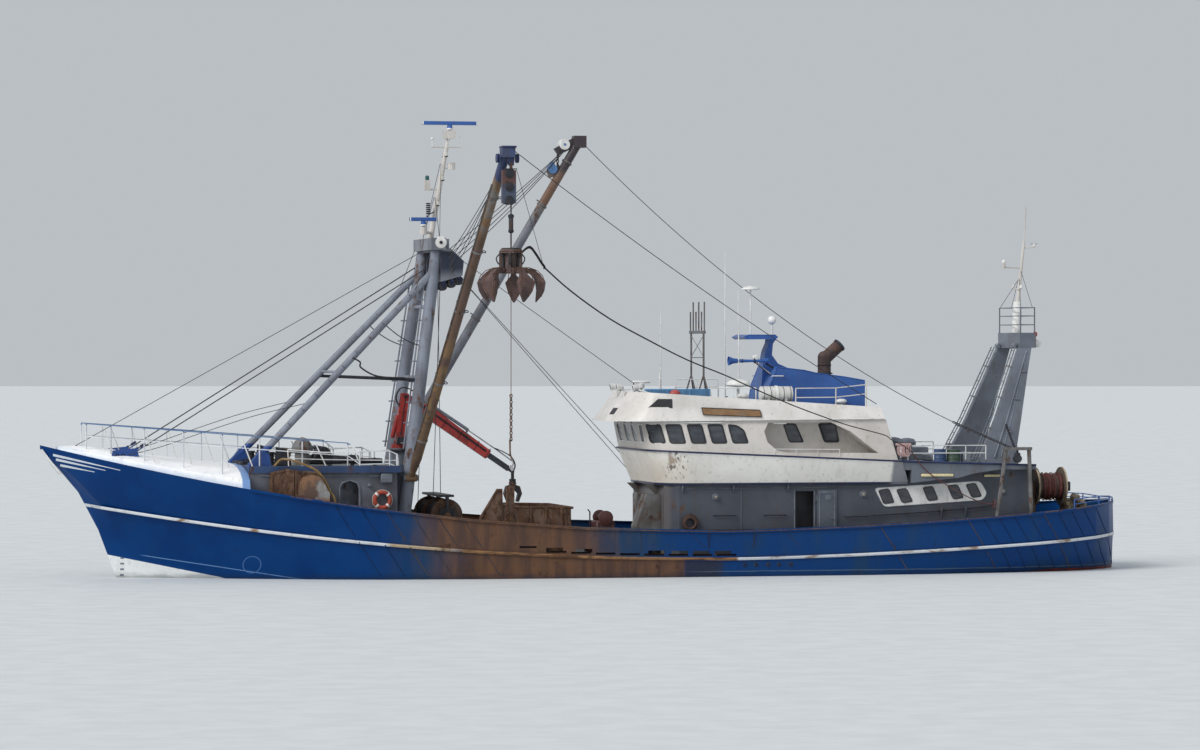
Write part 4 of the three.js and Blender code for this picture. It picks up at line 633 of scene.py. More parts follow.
class Shape:
    """Faces gathered for one piece; each method adds one solid."""

    def __init__(self):
        self.verts = []
        self.faces = []

    def put(self, verts, faces):
        base = len(self.verts)
        self.verts += [Vector(v) for v in verts]
        self.faces += [[base + i for i in face] for face in faces]

    def skin(self, loops, closed=False):
        """Walls between loops of equally many points, capped at both ends unless the row is closed."""
        n, sides = len(loops), len(loops[0])
        faces = []
        for i in range(n if closed else n - 1):
            j = (i + 1) % n
            for k in range(sides):
                m = (k + 1) % sides
                faces.append([i * sides + k, i * sides + m, j * sides + m, j * sides + k])
        if not closed:
            faces += [list(range(sides))[::-1], [(n - 1) * sides + k for k in range(sides)]]
        self.put([v for loop in loops for v in loop], faces)

    def solid(self, points):
        """The convex body round some points."""
        bm = bmesh.new()
        for point in points:
            bm.verts.new(point)
        bmesh.ops.convex_hull(bm, input=bm.verts)
        bmesh.ops.delete(bm, geom=[v for v in bm.verts if not v.link_faces], context="VERTS")
        bmesh.ops.dissolve_limit(bm, angle_limit=0.01, verts=bm.verts, edges=bm.edges)
        bm.verts.index_update()
        self.put([v.co.copy() for v in bm.verts], [[v.index for v in f.verts] for f in bm.faces])
        bm.free()

    def wedge(self, outline, y, half):
        """The convex body of an (x, z) outline, as wide as half on either side of y."""
        self.solid([(x, across, z) for x, z in outline for across in (y - half, y + half)])

    def block(self, centre, size, turn=None, edge=0.012):
        """A box with chamfered edges, turned by a matrix about its centre."""
        e = min(edge, 0.3 * min(size))
        points = []
        for sx in (-1, 1):
            for sy in (-1, 1):
                for sz in (-1, 1):
                    full = [sx * size[0] / 2, sy * size[1] / 2, sz * size[2] / 2]
                    less = [full[0] - sx * e, full[1] - sy * e, full[2] - sz * e]
                    for k in range(3):
                        points.append([full[j] if j == k else less[j] for j in range(3)])
        middle = Vector(centre)
        self.solid([middle + (turn @ Vector(p) if turn else Vector(p)) for p in points])

    def tube(self, points, radius, sides=8, closed=False):
        """A pipe along the points, with one radius or one for each point."""
        points = [Vector(p) for p in points]
        n = len(points)
        radii = radius if isinstance(radius, (list, tuple)) else [radius] * n
        loops = []
        side = None
        for i, point in enumerate(points):
            before = points[i - 1] if closed or i else point
            after = points[(i + 1) % n] if closed or i < n - 1 else point
            way = (after - before).normalized()
            side = way.orthogonal() if side is None else side - way * side.dot(way)
            side.normalize()
            loops.append(circle(point, way, side, radii[i], sides))
        self.skin(loops, closed)

    def lathe(self, foot, along, profile, sides=20):
        """A turned body: profile gives (distance along, radius) from the foot."""
        way = Vector(along).normalized()
        side = way.orthogonal().normalized()
        self.skin([circle(Vector(foot) + way * far, way, side, radius, sides) for far, radius in profile])

    def ring(self, centre, normal, radius, thick, sides=8, steps=28):
        way = Vector(normal).normalized()
        self.tube(circle(Vector(centre), way, way.orthogonal().normalized(), radius, steps), thick, sides,
                  closed=True)

    def slab(self, outline, depth):
        """A plate: the outline, carried along depth."""
        n = len(outline)
        move = Vector(depth)
        verts = [Vector(p) for p in outline] + [Vector(p) + move for p in outline]
        faces = [list(range(n)), [n + k for k in range(n)][::-1]]
        faces += [[k, (k + 1) % n, n + (k + 1) % n, n + k] for k in range(n)]
        self.put(verts, faces)

    def border(self, outer, inner, depth):
        """A flat frame between two loops of equally many points."""
        n = len(outer)
        move = Vector(depth)
        verts = [Vector(p) for p in outer] + [Vector(p) for p in inner]
        verts += [v + move for v in verts]
        faces = []
        for k in range(n):
            m = (k + 1) % n
            faces += [[k, m, n + m, n + k], [2 * n + k, 3 * n + k, 3 * n + m, 2 * n + m],
                      [k, 2 * n + k, 2 * n + m, m], [n + k, n + m, 3 * n + m, 3 * n + k]]
        self.put(verts, faces)

    def chain(self, start, end, link=0.11, thick=0.013):
        """Straight chain, every other link turned."""
        start, end = Vector(start), Vector(end)
        way = (end - start).normalized()
        side = way.orthogonal().normalized()
        other = way.cross(side)
        count = max(2, round((end - start).length / (0.74 * link)))
        for k in range(count):
            middle = start + (end - start) * ((k + 0.5) / count)
            across = side if k % 2 else other
            loop = []
            for i in range(12):
                a = math.radians(30 * i)
                far = (0.5 * link - thick) * math.cos(a) * (1.15 if i % 6 else 1)
                loop.append(middle + way * far + across * 0.3 * link * math.sin(a))
            self.tube(loop, thick, 5, closed=True)

    def ball(self, centre, radius, steps=8):
        loops = []
        for i in range(1, steps):
            t = math.pi * i / steps
            at = Vector(centre) + Vector((0, 0, radius * math.cos(t)))
            loops.append([on_circle(at, 2, radius * math.sin(t), math.pi * k / steps)
                          for k in range(2 * steps)])
        self.skin(loops)


def shapes(count):
    return [Shape() for _ in range(count)]


def piece(name, shape, body, finish, sharp=38):
    mesh = bpy.data.meshes.new(name)
    mesh.from_pydata(shape.verts, [], shape.faces)
    bm = bmesh.new()
    bm.from_mesh(mesh)
    bmesh.ops.recalc_face_normals(bm, faces=bm.faces)
    bm.to_mesh(mesh)
    bm.free()
    mesh.materials.append(finish)
    mesh.shade_smooth()
    mesh.set_sharp_from_angle(angle=math.radians(sharp))
    obj = bpy.data.objects.new(name, mesh)
    scene.collection.objects.link(obj)
    if isinstance(body, tuple):
        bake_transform(obj)
    else:
        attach(obj, body)
    return obj


def smooth(points, steps=6):
    """A smooth line through the points."""
    points = [Vector(p) for p in points]
    line = []
    for i in range(len(points) - 1):
        p0, p1, p2 = points[max(i - 1, 0)], points[i], points[i + 1]
        p3 = points[min(i + 2, len(points) - 1)]
        for k in range(steps):
            t = k / steps
            line.append(0.5 * (2 * p1 + (p2 - p0) * t + (2 * p0 - 5 * p1 + 4 * p2 - p3) * t * t
                               + (3 * p1 - p0 - 3 * p2 + p3) * t ** 3))
    return line + [points[-1]]


def sagging(start, end, drop, steps=16):
    start, end = Vector(start), Vector(end)
    return [start.lerp(end, k / steps) - Vector((0, 0, drop * 4 * (k / steps) * (1 - k / steps)))
            for k in range(steps + 1)]


def lerp(a, b, t):
    return Vector(a).lerp(Vector(b), t)


def surface(*names):
    verts, faces = [], []
    for name in names:
        mesh = nodes[name].data
        base = len(verts)
        verts += [v.co.copy() for v in mesh.vertices]
        faces += [[base + i for i in f.vertices] for f in mesh.polygons]
    return BVHTree.FromPolygons(verts, faces)


HULL_SIDE = surface("hull", "bulwark_port", "bulwark_starboard")
CABIN_SIDE = surface("wheelhouse", "wheelhouse_roof", "bridge_lower")


def on_side(tree, x, z, side, proud=0.0):
    """The point of the ship's side at x and z, seen from abeam, or None where there is a hole."""
    hit = tree.ray_cast(Vector((x, side * 9, z)), Vector((0, -side, 0)))[0]
    return hit + Vector((0, side * proud, 0)) if hit else None


def on_end(tree, y, z, end, proud=0.0):
    start = Vector((8 if end > 0 else -14, y, z))
    hit = tree.ray_cast(start, Vector((-end, 0, 0)))[0]
    return hit + Vector((end * proud, 0, 0)) if hit else None


def grown(outline, by):
    """A convex outline of (u, v) points with its edges moved outwards."""
    n = len(outline)
    middle = Vector((sum(p[0] for p in outline) / n, sum(p[1] for p in outline) / n))
    lines = []
    for k in range(n):
        a, b = Vector(outline[k]), Vector(outline[(k + 1) % n])
        normal = Vector((b.y - a.y, a.x - b.x)).normalized()
        if normal.dot(a - middle) < 0:
            normal = -normal
        lines.append((a + normal * by, b - a))
    moved = []
    for k in range(n):
        (p, d), (q, e) = lines[k - 1], lines[k]
        t = ((q.x - p.x) * e.y - (q.y - p.y) * e.x) / (d.x * e.y - d.y * e.x)
        moved.append(p + d * t)
    return moved


def rounded(outline, radius, steps=4):
    """The outline with its corners rounded."""
    n = len(outline)
    loop = []
    for k in range(n):
        corner = Vector(outline[k])
        before = (Vector(outline[k - 1]) - corner)
        after = (Vector(outline[(k + 1) % n]) - corner)
        a = corner + before.normalized() * min(radius, 0.45 * before.length)
        b = corner + after.normalized() * min(radius, 0.45 * after.length)
        for i in range(steps + 1):
            t = i / steps
            loop.append((1 - t) ** 2 * a + 2 * t * (1 - t) * corner + t * t * b)
    return loop


# Windows: panes in the openings, each behind a frame with rounded corners

def glass(name):
    p = Paint(name)
    smear = p.noise(1.3, stretch=(1, 1, 3), detail=4)
    salt = p.noise(9, detail=4, shift=4)
    # Painted reflection: the pane's opaque grey, lighter where the smear noise is high, stands in for light
    # seen in the glass.
    colour = p.mix(p.step(smear, 0.35, 0.65), rgb(62, 66, 73), rgb(82, 86, 92))
    p.shader.inputs["Transmission Weight"].default_value = 0.12
    p.shader.inputs["IOR"].default_value = 1.45
    return p.finish(colour, p.step(salt, 0.4, 0.75, 0.05, 0.3), p.add(smear, salt), 0.0006)


def rubber(name, colour=(34, 34, 38), shade=(52, 52, 56)):
    p = Paint(name)
    dust = p.noise(12, detail=4)
    return p.finish(p.mix(p.step(dust, 0.4, 0.65), rgb(*colour), rgb(*shade)),
                    p.step(dust, 0.3, 0.7, 0.55, 0.8), dust, 0.001)


window_glass = glass("window_glass")
gasket = rubber("gasket")
fitting_white = painted("fitting_white", (232, 232, 230), (214, 213, 210), rough=0.35, rust=-0.1, streaks=0.2,
                        fine=3.0)
fitting_grey = painted("fitting_grey", (120, 126, 136), (100, 106, 116), rust=0.2, fine=3.0)
fitting_dark = painted("fitting_dark", (50, 52, 60), (36, 38, 44), rough=0.5, rust=0.2, fine=4.0)
fitting_navy = painted("fitting_navy", (44, 54, 92), (36, 44, 76), rough=0.4, rust=0.0, fine=3.0)
fitting_blue = painted("fitting_blue", (98, 140, 190), (82, 122, 172), rough=0.4, rust=0.0, fine=3.0)
fitting_rust = painted("fitting_rust", (116, 88, 72), (88, 66, 56), rough=0.62, rust=0.8, fine=3.5)
wire = steel("wire_rope", (70, 70, 74), (50, 48, 50), rough=0.55, metal=0.5, fine=6.0, rust=0.2,
             grain=(1, 1, 1))
chrome = steel("bright_steel", (190, 190, 194), (160, 160, 166), rough=0.25, metal=0.9, fine=3.0)


def fit(name, shape, finish, body="ship", sharp=38):
    return piece(name, shape, body, finish, sharp)


SIDE_WINDOWS = [[(-1.52, 5.33), (-1.96, 5.33), (-2.11, 4.69), (-1.69, 4.69)]]
SIDE_WINDOWS += [[(x, 5.33), (x - 0.53, 5.33), (x - 0.66, 4.68), (x - 0.14, 4.68)]
                 for x in (-2.13, -2.88, -3.63)]
SIDE_WINDOWS += [[(-4.38, 5.33), (-4.70, 5.29), (-4.94, 5.13), (-5.07, 4.68), (-4.52, 4.68)]]
INNER_WINDOWS = [[(x, 5.33), (x - 0.445, 5.33), (x - 0.74, 4.69), (x - 0.225, 4.69)] for x in (-6.59, -7.88)]
BAND_WINDOWS = [[(-9.96, 2.96), (-10.35, 3.02), (-10.55, 2.52), (-10.16, 2.47)],
                [(-10.63, 2.98), (-11.0, 3.03), (-11.24, 2.55), (-10.85, 2.5)],
                [(-11.61, 3.05), (-11.98, 3.1), (-12.19, 2.61), (-11.82, 2.56)],
                [(-12.53, 3.11), (-12.91, 3.15), (-13.14, 2.67), (-12.75, 2.62)],
                [(-13.22, 3.15), (-13.58, 3.2), (-13.82, 2.72), (-13.45, 2.67)]]
BAND = [(-9.79, 3.05), (-13.76, 3.28), (-14.03, 2.84), (-13.87, 2.58), (-10.16, 2.36)]


def window(panes, frames, outline, find, foot, head, inwards, rim=0.022, proud=0.012):
    """A pane behind a frame over the edge of an opening.

    find gives the wall's point for (u, v). The wall runs straight from foot to head, so it is followed across
    the opening.
    """

    def wall(loop, shift):
        spots = [find(u, foot).lerp(find(u, head), (v - foot) / (head - foot)) for u, v in loop]
        return [s + inwards * shift for s in spots]
    outer = wall(rounded(grown(outline, rim), 0.10), -proud)
    inner = wall(rounded(grown(outline, -0.022), 0.085), -proud)
    frames.border(outer, inner, inwards * (proud + 0.03))
    panes.slab([p + inwards * 0.035 for p in inner], inwards * 0.008)


def add_windows():
    panes, frames, front_frames, bands, band, band_edge = shapes(6)
    for side in SIDES:
        into = Vector((0, -side, 0))
        for outline in SIDE_WINDOWS + INNER_WINDOWS:
            window(panes, frames, outline, lambda u, v: on_side(CABIN_SIDE, u, v, side), 4.60, 5.39, into)
        y = side * 2.85
        plate = rounded(BAND, 0.16, 6)
        band.slab([(u, y, v) for u, v in plate], (0, side * 0.012, 0))
        band_edge.tube([(u, y + side * 0.008, v) for u, v in plate], 0.016, 6, closed=True)
        for outline in BAND_WINDOWS:
            bands.slab([(u, y + side * 0.012, v) for u, v in rounded(outline, 0.09)], (0, side * 0.008, 0))
            frames.border([(u, y + side * 0.012, v) for u, v in rounded(grown(outline, 0.012), 0.10)],
                          [(u, y + side * 0.012, v) for u, v in rounded(grown(outline, -0.018), 0.08)],
                          (0, side * 0.016, 0))
    for y in (-2.03, -1.1, 0, 1.1, 2.03):
        half = 0.18 if abs(y) > 2 else 0.39
        outline = [(y - half, 4.69), (y + half, 4.69), (y + half, 5.33), (y - half, 5.33)]
        window(panes, front_frames, outline, lambda u, v: on_end(CABIN_SIDE, u, v, 1), 4.60, 5.39,
               Vector((-1, 0, 0)), rim=0.014, proud=0.008)
    for y in (-1.5, 0, 1.5):
        outline = [(y - 0.35, 4.75), (y + 0.35, 4.75), (y + 0.35, 5.25), (y - 0.35, 5.25)]
        window(panes, frames, outline, lambda u, v: on_end(CABIN_SIDE, u, v, -1), 4.66, 5.34, Vector(AHEAD))
    fit("wheelhouse_panes", panes, window_glass)
    fit("wheelhouse_window_frames", frames, gasket)
    fit("front_window_frames", front_frames, fitting_white)
    fit("band_panes", bands, window_glass)
    fit("window_band", band, fitting_white)
    fit("window_band_edge", band_edge, fitting_grey)


add_windows()


# Hull fittings

def sheer_point(x, side):
    """The outer top edge of the bulwark at x."""
    z = rail_top(x)
    spot = on_side(HULL_SIDE, x, z - 0.03, side) or on_side(HULL_SIDE, x, z - 0.1, side)
    return Vector((x, spot.y, z + 0.02))


BARS_FORE = [9.9 - 0.9 * k for k in range(6)]
BAR_ALONE = -9.62
BARS_AFT = [-12.9 - 0.585 * k for k in range(10)]
SLOTS_OVER_STRAKE = [(3.39, 2.79, 0.17)] + [(2.43 - 0.873 * k, 1.73 - 0.873 * k, 0.05) for k in range(8)]


def add_bulwark_bars():
    """The strip on the bulwark's top, and its slanting ribs above and below the strake."""
    strips, bars, rusty_bars = shapes(3)
    for side in SIDES:
        line = [sheer_point(-19.2 + 0.65 * k, side) + Vector((0, side * -0.016, -0.02)) for k in range(48)]
        strips.tube(line, 0.024, 6)
        for count, x in enumerate(BARS_FORE + [BAR_ALONE] + BARS_AFT):
            top = sheer_point(x, side)
            edge = deck_edge(x)
            for high, low in ((top.z - 0.09, edge + 0.02), (edge - 0.19, 0.14)):
                path = []
                for k in range(7):
                    z = high + (low - high) * k / 6
                    spot = on_side(HULL_SIDE, x - 0.66 * (top.z - z), z, side, 0.004)
                    if spot:
                        path.append(spot)
                if len(path) > 3:
                    worn = x == BAR_ALONE or count % 5 == 2 or 4.5 < x < 8
                    (rusty_bars if worn else bars).tube(path, 0.018, 5)
    fit("rail_cap_strip", strips, fitting_rust)
    # The plain ribs are painted darker than the hull: painted shade for the shadow line along each rib.
    piece("bulwark_bars", bars, "ship",
          painted("bar_shade_blue", (6, 46, 94), (20, 50, 88), rough=0.5, rust=0.05, fine=3.0, shine=0.12))
    piece("bulwark_bars_worn", rusty_bars, "ship",
          painted("bar_paint", (78, 68, 66), (52, 56, 72), rust=0.25, fine=3.0))


def add_freeing_ports():
    """Black plates over the strake, painted shade for the dark of the freeing ports there, and closed flaps
    in the openings further aft.
    """
    slots = Shape()
    for side in SIDES:
        for fore, aft, rise in SLOTS_OVER_STRAKE:
            edge = deck_edge(0.5 * (fore + aft)) + rise
            skin = [on_side(HULL_SIDE, x, edge + 0.30, side, -0.004).y for x in (fore, aft)]
            slots.slab([(fore, skin[0], edge + 0.035), (aft, skin[1], edge + 0.03),
                        (aft, skin[1], edge - 0.035), (fore, skin[0], edge - 0.03)], (0, side * 0.009, 0))
    # Painted shade: near-black plates where the freeing ports show dark.
    piece("freeing_slot_shades", slots, "ship",
          painted("slot_shade_black", (14, 12, 12), (26, 20, 18), rough=0.9, rust=-0.4, streaks=0.0, shine=0.02))
    flaps = Shape()
    for side in SIDES:
        for fore, aft, edge in ((-8.72, -9.33, 0.84), (-10.22, -10.83, 0.90), (-11.72, -12.33, 0.97)):
            face = ((fore, edge + 0.20), (aft, edge + 0.20), (aft, edge - 0.01), (fore, edge - 0.01))
            flaps.slab([on_side(HULL_SIDE, x, z, side, 0.002) for x, z in face], (0, side * 0.006, 0))
    piece("freeing_port_flaps", flaps, "ship", hull_paint)


def add_gates():
    """The seams of the gates in the bulwark."""
    gate = Shape()
    for side in SIDES:
        for x in (-3.38, -5.02):
            top = sheer_point(x, side)
            gate.tube([top + Vector((0, side * -0.006, -0.01)), on_side(HULL_SIDE, x, 1.0, side, -0.002)],
                      0.016, 6)
        a, b = sheer_point(-3.38, side), sheer_point(-5.02, side)
        gate.tube([a + Vector((0, side * -0.024, 0.03)), b + Vector((0, side * -0.024, 0.03))], 0.03, 8)
        for fore, aft, foot in ((0.0, 0.0, 0.95), (-0.95, -0.95, 0.95), (-2.75, -3.25, 1.02),
                                (-6.2, -6.75, 1.02)):
            top = sheer_point(fore, side) + Vector((0, 0, -0.1))
            gate.tube([on_side(HULL_SIDE, fore, top.z, side, 0.001),
                       on_side(HULL_SIDE, aft, foot, side, 0.001)], 0.009, 5)
    fit("bulwark_gates", gate, fitting_dark)


def add_discharge_pipes():
    pipes = Shape()
    for side in SIDES:
        for x in (-4.7, -5.1, -5.54, -5.94, -6.38):
            spot = on_side(HULL_SIDE, x, 0.41, side)
            pipes.lathe(spot - Vector((0, side * 0.03, 0)), (0, side, 0),
                        [(0, 0.075), (0.05, 0.075), (0.06, 0.06), (0.06, 0.045), (0.01, 0.04)], 14)
    fit("discharge_pipes", pipes, fitting_dark)


def add_stem_guard():
    guard = Shape()
    stem = [Vector((19.66, 0, 4.50)), Vector((19.50, 0, 4.28)), Vector((19.33, 0, 4.05)),
            Vector((19.17, 0, 3.85)), Vector((18.99, 0, 3.62))]
    for y in (0.11, -0.11):
        guard.tube(smooth([p + Vector((-0.075, y * (1 + 0.4 * k), 0.0)) for k, p in enumerate(stem)]), 0.035,
                   8)
    fit("stem_guard", guard, fitting_white)


add_bulwark_bars()
add_freeing_ports()
add_gates()
add_discharge_pipes()
add_stem_guard()


# Bow and foredeck

def between_legs(share, side):
    """A point on the mast leg's axis."""
    return lerp((7.2, side * 2.1, 1.5), (5.8, side * 1.35, 11.5), share)


def on_strut(z, side):
    return lerp((12.66, side * 2.39, 3.85), (5.89, side * 1.40, 10.79), (z - 3.85) / 6.94)


CHEST = [(11.96, 3.72), (11.36, 3.85), (11.14, 3.81), (11.14, 2.5), (11.96, 2.68)]
PANEL = [(11.12, 3.81), (10.98, 3.78), (10.38, 3.75), (10.17, 3.64), (9.80, 2.76), (9.80, 2.3), (11.12, 2.5)]


def add_forecastle_sides():
    """Bollards, and what hangs on the sides of the forecastle: lifebuoys, vent pipes, boxes and casings."""
    posts, buoys, bands, pipes, gear, chest, panel = shapes(7)
    for side in SIDES:
        for x in (12.05, 11.65):
            posts.lathe((x, side * 1.0, 3.94), UP, [(0, 0.17), (0.03, 0.17), (0.04, 0.11), (0.38, 0.11),
                                                    (0.39, 0.15), (0.44, 0.15), (0.46, 0.12)], 16)
        posts.block((11.85, side * 1.0, 3.955), (0.85, 0.42, 0.03))
        y = side * 2.75
        buoys.ring((8.0, y + side * 0.06, 2.74), TO_PORT, 0.27, 0.075, 12, 32)
        for turn in range(4):
            a = math.radians(45 + 90 * turn)
            middle = Vector(on_circle((8.0, y + side * 0.06, 2.74), 1, 0.27, a))
            tangent = Vector((-math.sin(a), 0, math.cos(a)))
            bands.lathe(middle - tangent * 0.035, tangent, [(0, 0.080), (0.07, 0.080)], 12)
        bands.ring((8.0, y + side * 0.06, 2.74), TO_PORT, 0.355, 0.008, 5, 32)
        pipes.tube(smooth([(11.80, side * 2.88, 3.96), (11.6, side * 3.08, 4.18), (11.27, side * 3.28, 4.15),
                           (10.8, side * 3.30, 3.99), (10.38, side * 3.30, 3.78), (10.1, side * 3.30, 3.43),
                           (9.92, side * 3.30, 3.06), (9.75, side * 3.30, 2.73), (9.70, side * 3.22, 1.75)],
                          5), 0.04, 8)
        for shape, outline in ((chest, CHEST), (panel, PANEL)):
            shape.slab([(x, side * 2.70, z) for x, z in outline], (0, side * 0.32, 0))
            shape.border([(x, side * 3.02, z) for x, z in grown(outline, 0.0)],
                         [(x, side * 3.02, z) for x, z in grown(outline, -0.07)], (0, side * 0.02, 0))
        gear.block((7.85, side * 2.80, 3.50), (0.42, 0.22, 0.36), edge=0.03)
        gear.block((7.85, side * 2.93, 3.50), (0.34, 0.03, 0.28), edge=0.01)
        gear.lathe((8.45, side * 2.71, 3.25), (0, side, 0),
                   [(0, 0.07), (0.08, 0.07), (0.1, 0.05), (0.14, 0.045), (0.16, 0.02)], 14)
    fit("foredeck_bollards", posts, fitting_dark)
    orange = painted("lifebuoy_orange", (172, 76, 58), (150, 66, 52), rough=0.5, rust=-0.4, streaks=0.3,
                     fine=4.0)
    piece("lifebuoys_fore", buoys, "ship", orange)
    fit("lifebuoy_bands", bands, fitting_white)
    ochre = painted("ochre_pipe", (150, 122, 78), (120, 96, 62), rust=0.4, fine=4.0)
    piece("side_vent_pipes", pipes, "ship", ochre)
    fit("fore_house_boxes", gear, fitting_grey)
    fit("fore_side_chests", chest, fitting_rust)
    piece("fore_side_panels", panel, "ship",
          painted("panel_worn", (134, 112, 94), (86, 64, 52), rough=0.55, rust=0.6, streaks=0.5, fine=2.0))


def add_fore_doorways():
    frames, lining = shapes(2)
    for side in SIDES:
        arch = [(8.78, 1.62), (8.78, 3.17), (8.86, 3.34), (9.135, 3.44), (9.41, 3.34), (9.49, 3.17),
                (9.49, 1.62)]
        frames.tube([(x, side * 2.715, z) for x, z in arch], 0.035, 6)
        frames.tube([(12.3, side * 2.712, 3.60), (7.55, side * 2.712, 3.58)], 0.03, 6)
        frames.tube([(8.35, side * 2.76, 2.2), (8.35, side * 2.76, 3.0)], 0.018, 6)
        lining.block((9.13, side * 2.14, 2.5), (0.95, 0.03, 1.9), edge=0.008)
        lining.block((9.13, side * 2.12, 2.6), (0.5, 0.05, 1.3), edge=0.02)
    fit("fore_house_trim", frames, fitting_grey)
    fit("fore_doorway_linings", lining, fitting_grey)


def add_windlass():
    winch = Shape()
    winch.block((9.6, -0.5, 4.0), (1.2, 1.3, 0.10), edge=0.02)
    winch.block((9.6, -0.5, 4.25), (0.5, 0.5, 0.45), edge=0.05)
    for side in SIDES:
        winch.wedge([(9.2, 4.04), (10.0, 4.04), (9.44, 4.50), (9.76, 4.50)], -0.5 + side * 0.42, 0.03)
        winch.lathe((9.6, -0.5 + side * 0.2, 4.34), (0, side, 0),
                    [(0, 0.12), (0.2, 0.12), (0.21, 0.22), (0.26, 0.22), (0.27, 0.14), (0.36, 0.12),
                     (0.44, 0.14), (0.46, 0.2), (0.5, 0.2)], 20)
    fit("anchor_windlass", winch, fitting_dark)


def add_foredeck_gear():
    """The hooded capstan, rolled nets, low rails and fairleads."""
    hood, roll, rail, lead = shapes(4)
    hood.lathe((10.46, 0.5, 3.93), UP, [(0, 0.30), (0.03, 0.26), (0.42, 0.26), (0.46, 0.37), (0.52, 0.385),
                                        (0.60, 0.375), (0.72, 0.33), (0.84, 0.25), (0.93, 0.14),
                                        (0.97, 0.03)], 28)
    fit("capstan_hood", hood, worn_grey)
    for side in SIDES:
        roll.tube(smooth([(7.95, side * 2.45, 4.09), (8.6, side * 2.47, 4.10), (9.3, side * 2.44, 4.11),
                          (10.02, side * 2.46, 4.10)], 4),
                  [0.10, 0.11, 0.115, 0.10, 0.105, 0.115, 0.11, 0.10, 0.11, 0.115, 0.11, 0.105, 0.09], 12)
        for x in (8.2, 9.0, 9.8):
            roll.ring((x, side * 2.455, 4.10), AHEAD, 0.118, 0.012, 5, 20)
            roll.block((x, side * 2.455, 3.97), (0.10, 0.26, 0.07), edge=0.01)
        y = side * 2.80
        rail.tube([(11.33, y, 4.51), (10.07, y, 4.41), (8.94, y, 4.40), (7.79, y, 4.48), (7.45, y, 4.30),
                   (7.42, y, 3.92)], 0.02, 6)
        rail.tube([(11.33, y, 4.51), (11.30, y, 3.94)], 0.02, 6)
        rail.tube([(11.33, y, 4.21), (10.07, y, 4.16), (8.9, y, 4.14), (7.44, y, 4.12)], 0.014, 6)
        for top_x, top_z, foot_x in ((10.33, 4.69, 9.98), (9.04, 4.62, 8.76), (12.90, 4.84, 12.56)):
            rail.tube([(top_x, y - side * 0.06, top_z), (foot_x, y - side * 0.06, 3.94)], 0.024, 6)
        lead.block((11.47, side * 2.2, 4.02), (0.50, 0.30, 0.16), edge=0.02)
        for dy in (-0.11, 0.11):
            lead.wedge([(11.26, 4.06), (11.68, 4.06), (11.64, 4.60), (11.34, 4.52)], side * 2.2 + dy, 0.02)
        lead.lathe((11.48, side * 2.2 - 0.09, 4.36), TO_PORT,
                   [(0, 0.12), (0.03, 0.09), (0.15, 0.09), (0.18, 0.12)], 16)
    fit("foredeck_net_rolls", roll, fitting_dark)
    fit("foredeck_low_rails", rail, fitting_white)
    fit("foredeck_fairleads", lead, fitting_dark)


def add_pulpit_braces():
    braces, deck_plates = Shape(), surface("whaleback", "foredeck")
    for side in SIDES:
        for x in (17.3, 16.2, 14.9, 13.6):
            high = 4.72 + 0.0765 * (x - 9.1) - 0.03
            half = on_side(HULL_SIDE, x, 3.9, side)
            y = side * max(0.32, min(abs(half.y) - 0.32, 2.68)) if half else side * 2.0
            hit = deck_plates.ray_cast(Vector((x - 0.34, y - side * 0.10, 8)), Vector((0, 0, -1)))[0]
            if hit:
                braces.tube([(x, y, high), hit + Vector((0, 0, 0.01))], 0.018, 6)
    fit("pulpit_braces", braces, fitting_white)


def add_anchor_cable():
    cable = Shape()
    for side in SIDES:
        cable.chain((9.75, -0.5 + side * 0.34, 4.55), (12.6, side * 0.58, 4.02), 0.16, 0.018)
        cable.lathe((12.62, side * 0.58, 3.90), UP, [(0, 0.18), (0.1, 0.18), (0.16, 0.14)], 14)
    fit("anchor_cable", cable, fitting_dark)


def add_turnbuckles():
    """Eyes and screws at the feet of the forestays."""
    eyes = Shape()
    for side in SIDES:
        for x in (17.1, 16.9):
            eyes.ring((x, side * 1.42, 4.28 + 0.02), TO_PORT, 0.06, 0.014)
        foot = Vector((16.75, side * 1.352, 4.33))
        way = (Vector(between_legs(0.955, side)) - foot).normalized()
        for shift in (0.0, 0.30):
            eyes.tube([foot + way * (0.25 + shift), foot + way * (0.45 + shift)], 0.045, 8)
        for dy in (0.035, -0.035):
            eyes.tube([foot + way * far + Vector((0, dy, 0)) for far in (0.4, 0.65)], 0.014, 5)
    fit("stay_turnbuckles", eyes, fitting_navy)


# Masts and standing rigging

def add_mast_ties():
    ties, dark_ties = shapes(2)
    for side in SIDES:
        strut = on_strut(7.05, side)
        leg = between_legs(0.542, side)
        dark_ties.tube([strut, leg], 0.055, 8)
        ties.tube([between_legs(0.30, side) + Vector((0.30, 0, 0)),
                   between_legs(0.9, side) + Vector((0.30, 0, 0))], 0.03, 6)
        for k in range(12):
            z = 4.35 + 0.5 * k
            a = on_strut(z, side)
            ties.tube([a + Vector((0.05, side * 0.11, 0.08)), a + Vector((0.05, side * 0.24, 0.08)),
                       a + Vector((-0.02, side * 0.24, 0.01)), a + Vector((-0.02, side * 0.11, 0.01))], 0.012,
                      5)
    ties.tube([on_strut(7.2, 1), on_strut(7.2, -1)], 0.05, 8)
    for share in (0.30, 0.55, 0.8):
        ties.tube([between_legs(share, 1), between_legs(share, -1)], 0.07, 10)
    fit("mast_ties", ties, mast_paint)
    fit("strut_ties", dark_ties, fitting_dark)
    hoses = Shape()
    strut = on_strut(7.7, 1)
    hoses.tube(smooth([strut + Vector((0, 0.12, 0)), strut + Vector((-0.25, 0.2, -0.15)), (8.6, 1.95, 7.35),
                       (8.0, 1.86, 7.05), (7.0, 1.80, 6.99)], 6), 0.03, 7)
    for side in SIDES:
        hoses.tube(sagging(on_strut(8.9, side), between_legs(0.66, side), 0.15), 0.02, 6)
    fit("strut_hoses", hoses, gasket)


